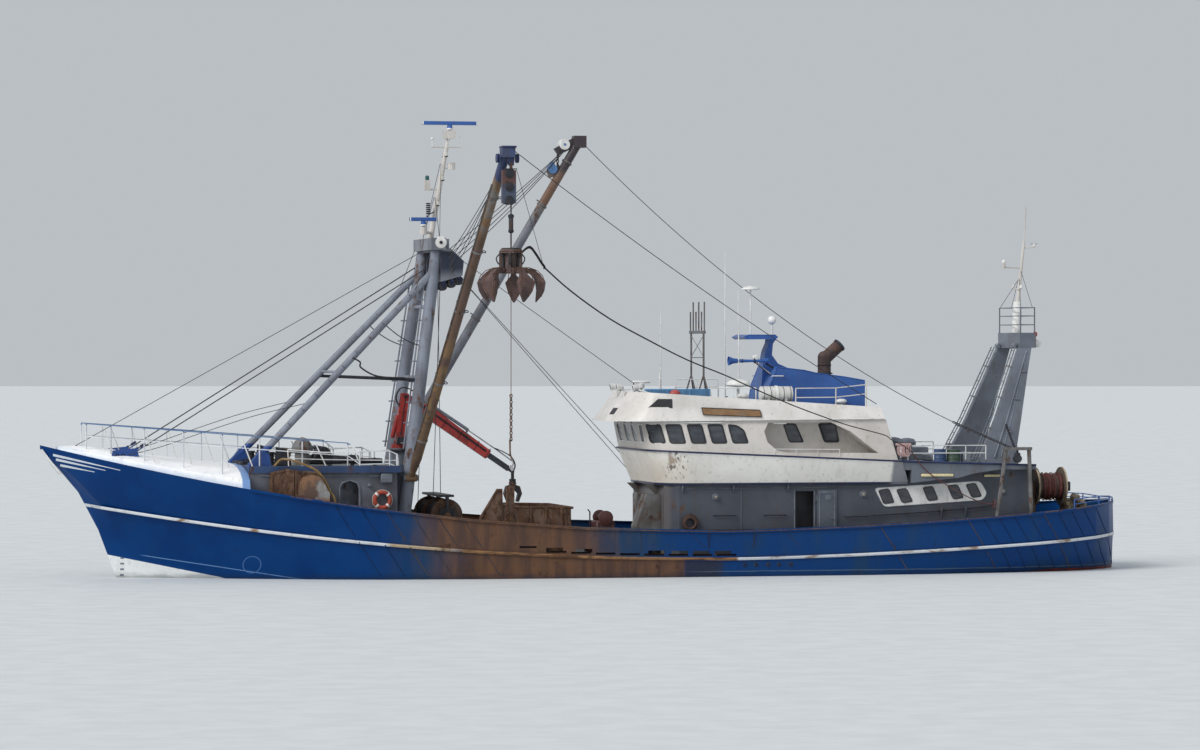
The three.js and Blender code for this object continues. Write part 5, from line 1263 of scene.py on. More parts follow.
def add_mast_head():
    sheaves, cheeks = shapes(2)
    for side in SIDES:
        y = side * 1.35
        for k, x in enumerate((5.60, 5.28, 5.02)):
            z = 10.36 + 0.10 * k
            for dy in (-0.13, 0.0, 0.13):
                sheaves.lathe((x, y + dy - 0.04, z - 0.14), TO_PORT,
                              [(0, 0.15), (0.02, 0.16), (0.04, 0.12), (0.06, 0.16), (0.08, 0.15)], 18)
            cheeks.block((x, y, z + 0.05), (0.12, 0.46, 0.30), edge=0.02)
            cheeks.tube([(x, y - 0.24, z - 0.14), (x, y + 0.24, z - 0.14)], 0.035, 8)
    fit("mast_head_sheaves", sheaves, fitting_dark)
    fit("mast_head_blocks", cheeks, fitting_navy)
    wheel, pin = shapes(2)
    for side in SIDES:
        wheel.lathe((5.72, side * 1.66, 11.76), (0, side, 0),
                    [(0, 0.10), (0.01, 0.20), (0.03, 0.215), (0.05, 0.19), (0.07, 0.215), (0.09, 0.20),
                     (0.10, 0.10)], 24)
        pin.lathe((5.72, side * 1.50, 11.76), (0, side, 0), [(0, 0.06), (0.28, 0.06), (0.30, 0.045)], 14)
        pin.wedge([(5.60, 11.48), (5.84, 11.48), (5.80, 11.80), (5.64, 11.80)], side * 1.62, 0.02)
    fit("mast_head_wheels", wheel, fitting_white)
    fit("mast_head_wheel_pins", pin, fitting_dark)


def add_topmast_lamps():
    lamps, lens, green = shapes(3)
    lamps.lathe((5.89, 0.0, 12.70), UP, [(0, 0.03), (0.06, 0.03)], 10)
    for k in range(6):
        lamps.lathe((5.89, 0.22, 12.79 + 0.07 * k), UP,
                    [(0, 0.05), (0.015, 0.085), (0.04, 0.085), (0.055, 0.05)], 14)
    lamps.tube([(5.60, 0.02, 12.90), (5.89, 0.22, 12.78)], 0.02, 6)
    for z, x in ((13.1, 5.55), (14.0, 5.37), (14.85, 5.24)):
        for side in SIDES:
            lamps.tube([(x, 0, z), (x, side * 0.22, z)], 0.015, 5)
            lamps.lathe((x, side * 0.24, z - 0.02), UP, [(0, 0.06), (0.03, 0.07), (0.04, 0.05)], 12)
            lens.lathe((x, side * 0.24, z + 0.02), UP, [(0, 0.05), (0.11, 0.05), (0.13, 0.03)], 12)
    green.lathe((5.885, 0.0, 14.01), UP, [(0, 0.06), (0.02, 0.07), (0.13, 0.07), (0.17, 0.03)], 14)
    fit("topmast_lamps", lamps, fitting_dark)
    lens_paint = rubber("lamp_lens", (206, 206, 196), (180, 180, 170))
    piece("topmast_lenses", lens, "ship", lens_paint)
    piece("topmast_green_lamp", green, "ship",
          rubber("green_lens", (44, 96, 94), (34, 80, 78)))


def add_topmast_aerials():
    whips = Shape()
    whips.tube([(5.19, 0.5, 15.18), (5.19, 0.5, 15.62)], 0.012, 5)
    whips.tube([(5.19, -0.5, 15.18), (5.19, -0.5, 15.68)], 0.012, 5)
    whips.tube([(4.70, 0, 15.19), (4.70, 0, 15.60)], 0.014, 5)
    whips.tube([(5.70, 0, 15.19), (5.70, 0, 15.45)], 0.02, 6)
    whips.lathe((5.70, 0, 15.44), UP, [(0, 0.03), (0.03, 0.06), (0.08, 0.06), (0.1, 0.02)], 12)
    fit("topmast_aerials", whips, fitting_white)


def add_topmast_stays():
    stays = Shape()
    for side in SIDES:
        stays.tube([(5.62, side * 0.09, 13.4), (5.75, side * 1.65, 11.9)], 0.011, 5)
        stays.tube([(5.4, side * 0.09, 14.6), (5.75, side * 1.65, 11.9)], 0.009, 5)
        stays.tube([(5.9, side * 1.70, 11.85), on_strut(10.0, side) + Vector((0, side * 0.1, 0))], 0.011, 5)
    stays.tube([(18.40, 0.0, 4.62), (5.95, 0.12, 11.55)], 0.012, 5)
    stays.lathe((18.36, 0, 4.50), UP, [(0, 0.09), (0.03, 0.09), (0.05, 0.04), (0.14, 0.03)], 10)
    for side in SIDES:
        stays.tube(smooth([(16.75, side * 1.46, 4.33), (16.54, side * 1.5, 4.36), (15.58, side * 1.6, 4.61),
                           (14.38, side * 1.7, 5.02), (13.36, side * 1.8, 5.36), (12.2, side * 1.9, 5.72),
                           on_strut(6.05, side) + Vector((0.06, 0, 0.06))], 4), 0.012, 5)
    stays.tube([(5.44, 1.45, 11.5), (-1.42, 1.0, 6.78)], 0.012, 5)
    stays.tube([(-1.42, 1.0, 6.78), (-1.45, 1.0, 5.85)], 0.02, 6)
    for k in (0, 1):
        stays.tube([(5.2, -1.45 - 0.1 * k, 11.45), (-4.1 - 0.35 * k, -4.12, 1.66)], 0.012, 5)
    fit("topmast_stays", stays, wire)


def add_scanners():
    for name, at, long, body in (("upper", (5.07, 0, 15.78), 1.98, "upper_scanner"),
                                 ("lower", (6.14, 0.65, 12.335), 0.99, "lower_scanner")):
        bar = Shape()
        x, y, z = at
        section = ((-0.082, 0.22), (0.082, 0.22), (-0.082, 0.31), (0.082, 0.31), (-0.05, 0.328),
                   (0.05, 0.328))
        bar.solid([(x + sx * (long / 2 - 0.02), y + dy, z + dz) for sx in (-1, 1) for dy, dz in section])
        ends = Shape()
        ends.lathe((x, y, z + 0.03), UP, [(0, 0.112), (0.09, 0.10)], 16)
        for sx in (-1, 1):
            ends.block((x + sx * (long / 2 - 0.02), y, z + 0.265), (0.04, 0.170, 0.124), edge=0.008)
        fit(f"scanner_ends_{name}", ends, fitting_white, body)
        bar.lathe((x, y, z + 0.03), UP, [(0, 0.11), (0.10, 0.10), (0.18, 0.075)], 16)
        fit(f"scanner_cover_{name}", bar, blue, body)


# Booms, grab and running rigging

BOOM_BAND = [(0, 0.184), (0.004, 0.195), (0.06, 0.195), (0.064, 0.184)]


def add_port_boom():
    heel, head = Vector((6.95, 2.62, 3.5)), Vector((5.24, 11.0, 14.63))
    rings, plates = shapes(2)
    way = (head - heel).normalized()
    for t in (0.12, 0.3, 0.52, 0.70, 0.86):
        at = lerp(heel, head, t)
        rings.lathe(at, way, BOOM_BAND, 20)
    for t in (0.3, 0.52, 0.70, 0.86):
        at = lerp(heel, head, t)
        plates.ring(at + Vector((-0.24, 0, 0.0)), way, 0.06, 0.016)
    plates.block(head + Vector((-0.05, -0.08, 0.10)), (0.50, 0.55, 0.07), edge=0.02)
    for side in SIDES:
        plates.lathe(head + Vector((-0.28 * side - 0.02, -0.02, -0.28)), (side * -1, 0, 0),
                     [(0, 0.15), (0.03, 0.16), (0.05, 0.12), (0.07, 0.16), (0.1, 0.15)], 20)
        plates.block(head + Vector((-0.10, side * 0.16 - 0.08, -0.28)), (0.28, 0.05, 0.24), edge=0.015)
    fit("port_boom_bands", rings, worn_grey, "port_boom")
    fit("port_boom_head_gear", plates, fitting_navy, "port_boom")
    pipe = Shape()
    pipe.tube([lerp(heel, head, 0.09) + Vector((0.2, 0.05, 0)),
               lerp(heel, head, 0.90) + Vector((0.19, 0.05, 0))], 0.022, 6)
    for t in (0.15, 0.35, 0.55, 0.75):
        pipe.lathe(lerp(heel, head, t) + Vector((0.12, 0.03, 0)), AHEAD, [(0, 0.035), (0.1, 0.035)], 8)
    fit("port_boom_pipe", pipe, worn_grey, "port_boom")
    lifts = Shape()
    for k in range(4):
        dy, dx = 0.09 * (k % 2), 0.10 * (k // 2)
        lifts.tube(sagging((5.40 - dx, 1.56 + dy, 11.30 - 0.2 * k), (5.18 + dx, 10.72 + dy, 14.38),
                           0.12 + 0.05 * k, 20), 0.013, 5)
    piece("port_boom_lifts", lifts, ("ship", "port_boom", (5.3, 1.6, 11.0), (5.2, 10.7, 14.4)),
          wire)
    guy = Shape()
    guy.tube(sagging((-9.92, 2.78, 6.04), (5.0, 10.95, 14.62), 0.25, 24), 0.014, 5)
    piece("port_boom_guy", guy, ("ship", "port_boom", (-9.9, 2.8, 6.0), (5.0, 10.95, 14.6)),
          wire)
    hose = Shape()
    run = [(3.86, 10.6, 10.71), (2.86, 10.08, 9.95), (1.37, 9.32, 9.04), (-0.24, 8.5, 8.28),
           (-1.74, 7.75, 7.63), (-3.27, 6.99, 7.1), (-4.3, 6.49, 6.69), (-5.93, 5.7, 6.08),
           (-7.44, 4.98, 5.59), (-8.43, 4.51, 5.3), (-9.88, 3.82, 4.96), (-10.19, 3.68, 4.79),
           (-10.60, 3.50, 4.62)]
    run = smooth(run, 4)
    hose.tube(run, [0.028 - 0.013 * k / (len(run) - 1) for k in range(len(run))], 7)
    black = rope_paint("black_rope", (40, 38, 42), (30, 28, 32), 40)
    piece("preventer_rope", hose, ("ship", "port_boom", (-10.6, 3.5, 4.6), (3.86, 10.6, 10.7)),
          black)
    sling = Shape()
    sling.tube([(5.24, 10.50, 14.02), (4.80, 10.52, 14.02)], 0.018, 6)
    sling.tube([(4.82, 10.52, 14.03), (3.90, 10.6, 10.74)], 0.009, 5)
    sling.ring((3.88, 10.6, 10.72), (1, 0.4, 0.5), 0.045, 0.012, 6, 18)
    fit("preventer_sling", sling, wire, "port_boom")
    bundle = Shape()
    run = ((4.74, 10.93, 11.18), (4.56, 10.92, 11.34), (4.40, 10.9, 11.36), (4.20, 10.86, 11.12),
           (4.02, 10.75, 10.88), (3.86, 10.6, 10.71))
    for k, radius in enumerate((0.026, 0.020, 0.018)):
        shift = Vector((0.0, 0.03 * (k - 1), 0.025 * k))
        bundle.tube(smooth([Vector(q) + shift for q in run], 5), radius, 7)
    piece("grab_hose_bundle", bundle, ("port_boom", "grab", (3.86, 10.6, 10.7), (4.6, 10.92, 11.3)),
          black)
    tail = Shape()
    tail.tube(smooth([(-10.60, 3.50, 4.62), (-10.81, 3.44, 4.50), (-11.14, 3.46, 4.21), (-11.41, 3.46, 3.82),
                      (-11.88, 3.45, 3.43), (-12.08, 3.44, 3.3), (-12.88, 3.44, 2.84), (-13.61, 3.45, 2.52),
                      (-14.1, 3.46, 2.45)], 4), 0.020, 6)
    tail.ring((-14.1, 3.46, 2.45), AHEAD, 0.14, 0.022, 6, 20)
    piece("preventer_tail", tail, "ship",
          rope_paint("brown_rope", (112, 66, 64), (84, 52, 52), 40))


def add_starboard_boom():
    heel, head = Vector((6.95, -2.62, 3.5)), Vector((-0.34, -3.0, 15.63))
    way = (head - heel).normalized()
    rings = Shape()
    for t in (0.1, 0.28, 0.46, 0.64, 0.80, 0.93):
        rings.lathe(lerp(heel, head, t), way, BOOM_BAND, 20)
    for t in (0.28, 0.46, 0.64, 0.8):
        rings.ring(lerp(heel, head, t) + Vector((0.12, 0, 0.20)), way, 0.06, 0.016)
    fit("starboard_boom_bands", rings, worn_grey, "starboard_boom")
    gear, white_wheel = shapes(2)
    gear.tube([(-0.3, -3.0, 15.74), (-0.3, -3.0, 15.3)], 0.05, 8)
    gear.block((0.70, -3.0, 14.72), (0.16, 0.20, 0.22), edge=0.02)
    for dy in (-0.115, 0.115):
        white_wheel.lathe((0.26, -3.0 + dy, 15.46), (0, dy, 0),
                          [(0, 0.10), (0.01, 0.19), (0.03, 0.20), (0.05, 0.19), (0.06, 0.08)], 22)
        gear.lathe((0.70, -3.0 + dy * 0.9, 14.56), (0, dy, 0),
                   [(0, 0.15), (0.015, 0.17), (0.05, 0.17), (0.06, 0.1)], 18)
        gear.lathe((0.26, -3.0 + dy * 1.4, 15.46), (0, dy, 0), [(0, 0.05), (0.03, 0.045)], 12)
    fit("starboard_boom_sheaves", gear, fitting_blue, "starboard_boom")
    fit("starboard_boom_white_sheave", white_wheel, fitting_white, "starboard_boom")
    links = Shape()
    links.chain((0.48, -3.0, 15.10), (0.50, -3.0, 14.70), 0.13, 0.02)
    fit("starboard_boom_shackles", links, fitting_dark, "starboard_boom")
    lifts = Shape()
    for k in range(4):
        dy, dz = 0.08 * (k % 2), 0.12 * (k // 2)
        lifts.tube(sagging((5.16, -1.50 - dy, 11.30 - 0.2 * k), (0.10 - dz, -2.92 - dy, 15.42 + dz),
                           0.08 + 0.06 * k, 20), 0.014, 5)
    piece("starboard_boom_lifts", lifts, ("ship", "starboard_boom", (5.1, -1.5, 11.0), (0.1, -2.95, 15.4)),
          wire)
    guy = Shape()
    path = sagging((-14.72, 3.46, 4.47), (-0.40, -3.0, 15.56), 1.2, 30)
    guy.tube(path[4:], 0.014, 5)
    guy.chain(path[4], path[0], 0.13, 0.018)
    piece("starboard_boom_guy", guy, ("ship", "starboard_boom", (-14.72, 3.46, 4.47), (-0.40, -3.0, 15.56)),
          wire)


def add_grab():
    pipes, plates, blocks = shapes(3)
    for k in range(5):
        a = math.radians(72 * k)
        bow = ((0.40, 11.16), (0.50, 11.02), (0.44, 10.86), (0.33, 10.78))
        pipes.tube(smooth([on_circle((5.1, 11, z), 2, radius, a) for radius, z in bow], 5), 0.022, 6)
        pipes.lathe(on_circle((5.1, 11, 10.74), 2, 0.25, a), on_circle(UP, 2, 0.1, a),
                    [(0, 0.06), (0.36, 0.06), (0.37, 0.075), (0.44, 0.075)], 12)
    pipes.ring((5.1, 11, 11.345), UP, 0.30, 0.025)
    for z in (11.32, 10.62):
        plates.ring((5.1, 11, z - 0.06), UP, 0.386, 0.014, 6, 30)
    for z in (13.85, 13.4, 12.95):
        for dy in (-0.125, 0.125):
            blocks.lathe((5.18, 11 + dy, z), (0, dy, 0),
                         [(0, 0.14), (0.02, 0.15), (0.035, 0.15), (0.05, 0.1)], 18)
    blocks.block((5.18, 11, 13.98), (0.30, 0.27, 0.05), edge=0.015)
    blocks.block((5.18, 11, 12.84), (0.30, 0.27, 0.05), edge=0.015)
    blocks.lathe((5.1, 11, 12.36), UP, [(0, 0.05), (0.02, 0.1), (0.1, 0.1), (0.14, 0.05)], 14)
    blocks.lathe((5.1, 11, 11.86), UP, [(0, 0.05), (0.04, 0.095), (0.1, 0.095), (0.12, 0.06)], 14)
    fit("grab_hoses", pipes, gasket, "grab")
    fit("grab_fittings", plates, fitting_rust, "grab")
    fit("grab_blocks", blocks, fitting_dark, "grab")
    line = Shape()
    line.tube([(5.1, 11, 10.53), (5.1, 11, 6.45)], 0.012, 6)
    line.chain((5.1, 11, 6.5), (5.1, 11, 4.95), 0.14, 0.02)
    line.tube([(5.06, 11, 4.97), (5.14, 11, 4.98), (5.13, 11, 4.5), (5.06, 11, 4.32)], 0.03, 8)
    fit("grab_tail_chain", line, fitting_rust, "grab")
    for k in range(5):
        a = math.radians(36 + 72 * k)
        c, s = math.cos(a), math.sin(a)
        rib = Shape()
        profile = [(0.40, 0.075), (0.62, 0.07), (0.86, -0.02), (1.02, -0.18), (1.115, -0.42), (1.09, -0.69),
                   (1.0, -0.90)]
        for sign in SIDES:
            wide = [0.05, 0.06, 0.14, 0.2, 0.24, 0.17, 0.09]
            points = [Vector((5.1 + u * c - sign * w * s, 11 + u * s + sign * w * c, 10.64 + v))
                      for (u, v), w in zip(profile, wide)]
            rib.tube(points, 0.014, 5)
        rib.lathe((5.1 + 0.43 * c + 0.13 * s, 11 + 0.43 * s - 0.13 * c, 10.64), (-s, c, 0),
                  [(0, 0.05), (0.26, 0.05)], 14)
        fit(f"tine_ribs_{k + 1}", rib, fitting_rust, f"tine_{k + 1}")


# Crane: points along the outer boom from its knuckle

SLOPE = math.atan2(6.33 - 4.29, 6.8 - 3.8)


def along_outer(far, rise, y=0.6):
    return Vector((6.8 - far * math.cos(SLOPE) - rise * math.sin(SLOPE), y,
                   6.33 - far * math.sin(SLOPE) + rise * math.cos(SLOPE)))


def add_crane():
    foot = Shape()
    foot.lathe((7.0, 0.6, 4.36), UP, [(0, 0.34), (0.02, 0.36), (0.08, 0.36), (0.10, 0.34)], 24)
    for k in range(12):
        foot.lathe(on_circle((7, 0.6, 4.46), 2, 0.30, math.radians(30 * k)), UP, [(0, 0.022), (0.05, 0.022)],
                   6)
    fit("crane_base_ring", foot, fitting_dark)
    turn = Shape()
    turn.block((7.02, 0.98, 4.78), (0.30, 0.22, 0.26), edge=0.02)
    for k in range(5):
        turn.tube([(7.14 - 0.05 * k, 1.02, 4.90), (7.14 - 0.05 * k, 1.06, 5.08)], 0.009, 5)
    turn.lathe((7.0, 0.355, 4.82), TO_PORT, [(0, 0.05), (0.03, 0.065), (0.46, 0.065), (0.49, 0.05)], 16)
    fit("crane_valve_block", turn, fitting_dark, "crane_turntable")
    lower = Shape()
    lower.lathe((7.26, 0.6, 4.86), (-0.30, 0, 1.25), [(0, 0.05), (0.06, 0.075), (0.80, 0.075), (0.84, 0.05)],
                16)
    fit("crane_lower_ram", lower, red, "crane_turntable")
    arm = Shape()
    arm.tube([(7.16, 0.6, 5.30), (6.93, 0.6, 6.02)], 0.035, 10)
    arm.tube([(6.62, 0.6, 5.05), (6.52, 0.6, 5.75)], 0.07, 12)
    fit("crane_rods", arm, chrome, "crane_arm")
    pins = Shape()
    pins.lathe((6.8, 0.38, 6.33), TO_PORT, [(0, 0.05), (0.03, 0.065), (0.41, 0.065), (0.44, 0.05)], 16)
    for y in (0.44, 0.76):
        pins.tube([(6.98, y, 4.95), (6.86, y, 5.9), (6.80, y, 6.25)], 0.018, 6)
    fit("crane_knuckle_pin", pins, fitting_dark, "crane_arm")
    jib = Shape()
    jib.tube([along_outer(0.75, 0.27), along_outer(2.55, 0.29)], 0.06, 12)
    for far in (0.72, 2.55):
        jib.tube([along_outer(far, 0.14, 0.50), along_outer(far, 0.30, 0.50), along_outer(far, 0.30, 0.70),
                  along_outer(far, 0.14, 0.70)], 0.022, 6)
    fit("crane_jib_ram", jib, fitting_grey, "crane_jib")
    strips = Shape()
    for far in (1.0, 1.7, 2.4, 3.1, 3.6):
        for y in (0.485, 0.715):
            strips.tube([along_outer(far, rise, y) for rise in (-0.20, 0.14, 0.19)], 0.012, 5)
    for rise in (0.06, 0.10):
        strips.tube([along_outer(0.4, rise, 0.73), along_outer(3.5, rise - 0.06, 0.73)], 0.016, 6)
    fit("crane_jib_pipes", strips, fitting_dark, "crane_jib")
    slide = Shape()
    slide.tube([along_outer(1.9, 0.284), along_outer(3.9, 0.285), along_outer(4.56, 0.27),
                along_outer(4.62, 0.12)], 0.024, 8)
    slide.block(along_outer(4.62, 0.03), (0.13, 0.17, 0.20), Matrix.Rotation(SLOPE, 3, "Y"))
    fit("crane_slide_rod", slide, chrome, "crane_slide")
    hoses = Shape()
    for y in (0.53, 0.57, 0.63, 0.67):
        hoses.tube(smooth([along_outer(3.72, 0.30, 0.6 + 0.5 * (y - 0.6)), along_outer(4.05, 0.36, y),
                           along_outer(4.4, 0.37, y), along_outer(4.66, 0.22, y), along_outer(4.74, 0.02, y)],
                          6), 0.014, 6)
    fit("crane_tip_hoses", hoses, gasket, "crane_slide")
    loops = Shape()
    for y in (0.52, 0.68):
        loops.tube(smooth([(6.93, y, 5.9), (7.12, y, 6.25), (6.95, y, 6.62), (6.55, y, 6.55),
                           along_outer(0.75, 0.22, y)], 7), 0.018, 6)
    piece("crane_knuckle_hoses", loops, ("crane_arm", "crane_jib", (7.0, 0.6, 6.1), (6.4, 0.6, 6.4)),
          gasket)
    claw = Shape()
    x, z = along_outer(4.725, -0.035).xz
    claw.lathe((x, 0.6, z - 0.44), UP, [(0, 0.12), (0.01, 0.14), (0.05, 0.14), (0.06, 0.12)], 18)
    for sign in SIDES:
        claw.tube([(x + sign * 0.02, 0.6, z - 0.50), (x + sign * 0.24, 0.6, z - 0.70)], 0.04, 10)
        for y in (0.47, 0.73):
            claw.tube([(x + sign * 0.02, y, z - 0.46), (x + sign * 0.24, y, z - 0.54),
                       (x + sign * 0.31, y, z - 0.78), (x + sign * 0.20, y, z - 1.06)], 0.014, 5)
    fit("crane_claw_trim", claw, fitting_rust, "crane_claw")


# Working deck

def bollard(neck):
    """The profile of a mooring post with its collar above the neck."""
    return [(0, 0.09), (neck, 0.09), (neck + 0.01, 0.12), (neck + 0.05, 0.12), (neck + 0.06, 0.09)]


def add_winch():
    warp = Shape()
    for side in SIDES:
        profile = []
        for k in range(34):
            y = 0.15 + 0.0445 * k
            profile += [(y, 0.455), (y + 0.011, 0.474), (y + 0.022, 0.48), (y + 0.033, 0.474)]
        profile.append((1.63, 0.455))
        warp.lathe((5.5, 0, 2.15), (0, side, 0), profile, 28)
    piece("winch_warps", warp, "winch", wire)
    rims = Shape()
    for side in SIDES:
        for y in (0.13, 1.62):
            rims.ring((5.5, side * y, 2.15), TO_PORT, 0.56, 0.02, 6, 36)
            for k in range(8):
                a = math.radians(45 * k)
                out = -1 if y < 1 else 1
                rims.tube([on_circle((5.5, side * (y + 0.05 * out), 2.15), 1, 0.14, a),
                           on_circle((5.5, side * (y + 0.04 * out), 2.15), 1, 0.54, a)], 0.022, 5)
    fit("winch_drum_ribs", rims, fitting_rust, "winch")
    drive = Shape()
    drive.block((4.72, 0.9, 1.62), (0.42, 0.9, 0.55), edge=0.04)
    drive.lathe((4.72, 1.35, 1.65), TO_PORT, [(0, 0.20), (0.05, 0.22), (0.45, 0.22), (0.5, 0.16)], 18)
    drive.block((4.72, -0.9, 1.62), (0.42, 0.9, 0.55), edge=0.04)
    for y in (-1.75, 0, 1.75):
        for dx in (-0.20, 0.20):
            drive.lathe((5.5 + dx, y, 2.52), UP, [(0, 0.03), (0.04, 0.03)], 6)
    fit("winch_drive", drive, fitting_dark)
    leads = Shape()
    for side in SIDES:
        leads.tube([(5.96, side * 1.45, 2.35), (5.70, side * 1.45, 10.12)], 0.013, 5)
    leads.tube([(5.22, -0.95, 2.56), (5.26, -1.27, 10.22)], 0.013, 5)
    fit("warp_leads", leads, wire)


def add_deck_machine():
    gear = Shape()
    gear.block((-0.30, 1.0, 1.35), (0.70, 0.9, 1.1), edge=0.05)
    gear.lathe((-0.30, 0.40, 2.0), TO_PORT, [(0, 0.16), (0.04, 0.26), (0.1, 0.26), (0.12, 0.15), (1.0, 0.15),
                                             (1.02, 0.26), (1.1, 0.26), (1.14, 0.1)], 22)
    gear.block((0.20, 1.05, 1.2), (0.3, 0.5, 0.8), edge=0.04)
    gear.tube([(0.12, 0.72, 1.6), (0.12, 0.72, 2.2), (0.2, 0.72, 2.28)], 0.025, 6)
    maroon = painted("deck_machine_red", (88, 54, 51), (64, 44, 45), rust=0.2, fine=3.0)
    piece("deck_machine", gear, "ship", maroon)


def add_deck_bitts():
    bits = Shape()
    for side in SIDES:
        for x in (-1.2, -8.2, -13.0):
            y = side * 3.75
            base = deck_edge(x) + 0.01
            for dx in (-0.2, 0.2):
                bits.lathe((x + dx, y, base), UP, bollard(0.42), 14)
            bits.block((x, y, base + 0.02), (0.8, 0.3, 0.04), edge=0.01)
    fit("deck_bitts", bits, fitting_dark)


def add_hopper_stiffeners():
    rims = Shape()
    rims.tube([(1.10, -1.6, 2.40), (1.10, 2.3, 2.40), (3.06, 2.3, 2.44), (3.06, -1.6, 2.44)], 0.045, 8,
              closed=True)
    for y in (-1.62, 2.32):
        for x in (1.5, 2.05, 2.6):
            rims.block((x, y, 1.65), (0.07, 0.05, 1.5), edge=0.012)
    for x in (1.13, 2.985):
        for y in (-1.0, -0.2, 0.6, 1.4):
            rims.block((x, y, 1.62), (0.05, 0.07, 1.45), edge=0.012)
    fit("hopper_stiffeners", rims, fitting_rust)


def add_trawl_shoe_chains():
    shoes = Shape()
    for y in (3.30, 3.38):
        shoes.tube([(4.62, y, 1.1), (4.60, y, 2.13), (4.03, y, 3.06), (3.86, y, 3.06)], 0.03, 6)
    shoes.ring((4.2, 3.34, 2.2), TO_PORT, 0.13, 0.04, 8, 24)
    shoes.tube([(3.66, 3.70, 3.16), (3.66, 3.82, 3.16)], 0.07, 10)
    shoes.chain((4.2, 3.42, 2.05), (4.5, 3.52, 1.15), 0.13, 0.02)
    shoes.chain((3.7, 3.84, 3.10), (3.9, 3.90, 1.2), 0.13, 0.02)
    shoes.chain((3.6, 3.62, 3.0), (3.3, 3.50, 1.2), 0.13, 0.02)
    fit("trawl_shoe_chains", shoes, fitting_rust)


add_forecastle_sides()
add_fore_doorways()
add_windlass()
add_foredeck_gear()
add_pulpit_braces()
add_anchor_cable()
add_turnbuckles()
add_mast_ties()
add_mast_head()
add_topmast_lamps()
add_topmast_aerials()
add_topmast_stays()
add_scanners()
add_port_boom()
add_starboard_boom()
add_grab()
add_crane()
add_winch()
add_deck_machine()
add_deck_bitts()
add_hopper_stiffeners()
add_trawl_shoe_chains()


# Wheelhouse and roof

def add_mouldings():
    knuckle = Shape()
    for side in SIDES:
        line = [(-1.485, 0.0, 4.43)]
        for i in range(13):
            a = math.pi / 2 * i / 12
            x, y = -3.0 + 1.5 * math.cos(a), 1.9 + 1.5 * math.sin(a)
            share = (-1.5 - x) / 9.2
            line.append((x + 0.012 * math.cos(a), side * (y + 0.012 * math.sin(a)), 4.43 - 0.42 * share))
        line += [(-6.0, side * 3.412, 4.225), (-8.5, side * 3.412, 4.11), (-10.7, side * 3.412, 4.01)]
        knuckle.tube(line, 0.032, 6)
        knuckle.tube([(-10.72, side * 3.37, 4.0), (-12.5, side * 3.37, 3.945), (-14.0, side * 3.37, 3.90),
                      (-15.7, side * 3.37, 3.845)], 0.035, 6)
    fit("knuckle_moulding", knuckle, fitting_navy)
    brow = Shape()
    for side in SIDES:
        line = []
        for i in range(11):
            a = math.pi / 2 * i / 10
            x, y = -1.7 + 1.1 * math.cos(a), 1.98 + 1.1 * math.sin(a)
            line.append((x, side * y, 5.455 + 0.07 * (-0.6 - x) / 9.55))
        line += [(-5.0, side * 3.085, 5.485), (-10.1, side * 3.085, 5.525)]
        brow.tube(line, 0.02, 6)
    fit("brow_moulding", brow, fitting_white)


def add_boards():
    """The blank name boards and the slotted panels of the visor."""
    board, rim, dark_panel = shapes(3)
    for side in SIDES:
        corners = [on_side(CABIN_SIDE, x, z, side, 0.004) for x, z in ((-3.42, 5.93), (-5.54, 5.84),
                                                                       (-5.60, 5.60), (-3.47, 5.68))]
        board.slab(corners, (0, side * 0.035, 0))
        for a, b in zip(corners, corners[1:] + corners[:1]):
            rim.tube([a + Vector((0, side * 0.035, 0)), b + Vector((0, side * 0.035, 0))], 0.014, 6)
        spots = [on_side(CABIN_SIDE, x, z, side, 0.004) for x, z in ((-1.52, 5.94), (-1.87, 6.24),
                                                                     (-2.36, 6.24), (-2.36, 5.92))]
        if all(spots):
            dark_panel.slab(spots, (0, side * 0.016, 0))
            for x in (-1.80, -2.0, -2.2):
                dark_panel.block(on_side(CABIN_SIDE, x, 6.08, side, 0.026), (0.018, 0.02, 0.22), edge=0.004)
    p = Paint("bare_board")
    grain = p.noise(4.0, stretch=(1.2, 1, 14), detail=6, rough=0.6)
    worn = p.noise(2.0, detail=4, shift=5)
    colour = p.mix(p.step(grain, 0.35, 0.65), rgb(150, 116, 78), rgb(118, 88, 60))
    colour = p.mix(p.times(p.step(worn, 0.5, 0.7), 0.5), colour, rgb(134, 124, 110))
    piece("name_board", board, "ship",
          p.finish(colour, p.step(grain, 0.3, 0.7, 0.55, 0.8), grain, 0.002))
    fit("name_board_rim", rim, fitting_dark)
    fit("roof_slot_panels", dark_panel, gasket)
    plate = Shape()
    corners = [on_end(CABIN_SIDE, y, z, 1, 0.004) for y, z in ((0.15, 5.68), (0.75, 5.68), (0.75, 5.90),
                                                               (0.15, 5.90))]
    plate.slab(corners, (0.02, 0, 0))
    fit("front_plate", plate, fitting_dark)


def add_wheelhouse_rails():
    rails = Shape()
    for side in SIDES:
        y = side * 3.33
        rails.tube([(-6.0, y, 4.46), (-7.2, y, 4.45), (-8.4, y, 4.44)], 0.012, 6)
        for x in (-6.0, -6.8, -7.6, -8.4):
            rails.tube([(x, y, 4.45), (x, y - side * 0.02, 4.22)], 0.010, 6)
        rails.tube([on_side(CABIN_SIDE, x, 5.40, side, 0.06) for x in (-2.0, -3.0, -4.2)], 0.016, 6)
        for x in (-2.0, -2.75, -3.5, -4.2):
            spot = on_side(CABIN_SIDE, x, 5.40, side, 0.0)
            rails.tube([spot, spot + Vector((0, side * 0.06, 0))], 0.014, 6)
    fit("wheelhouse_handrails", rails, fitting_white)


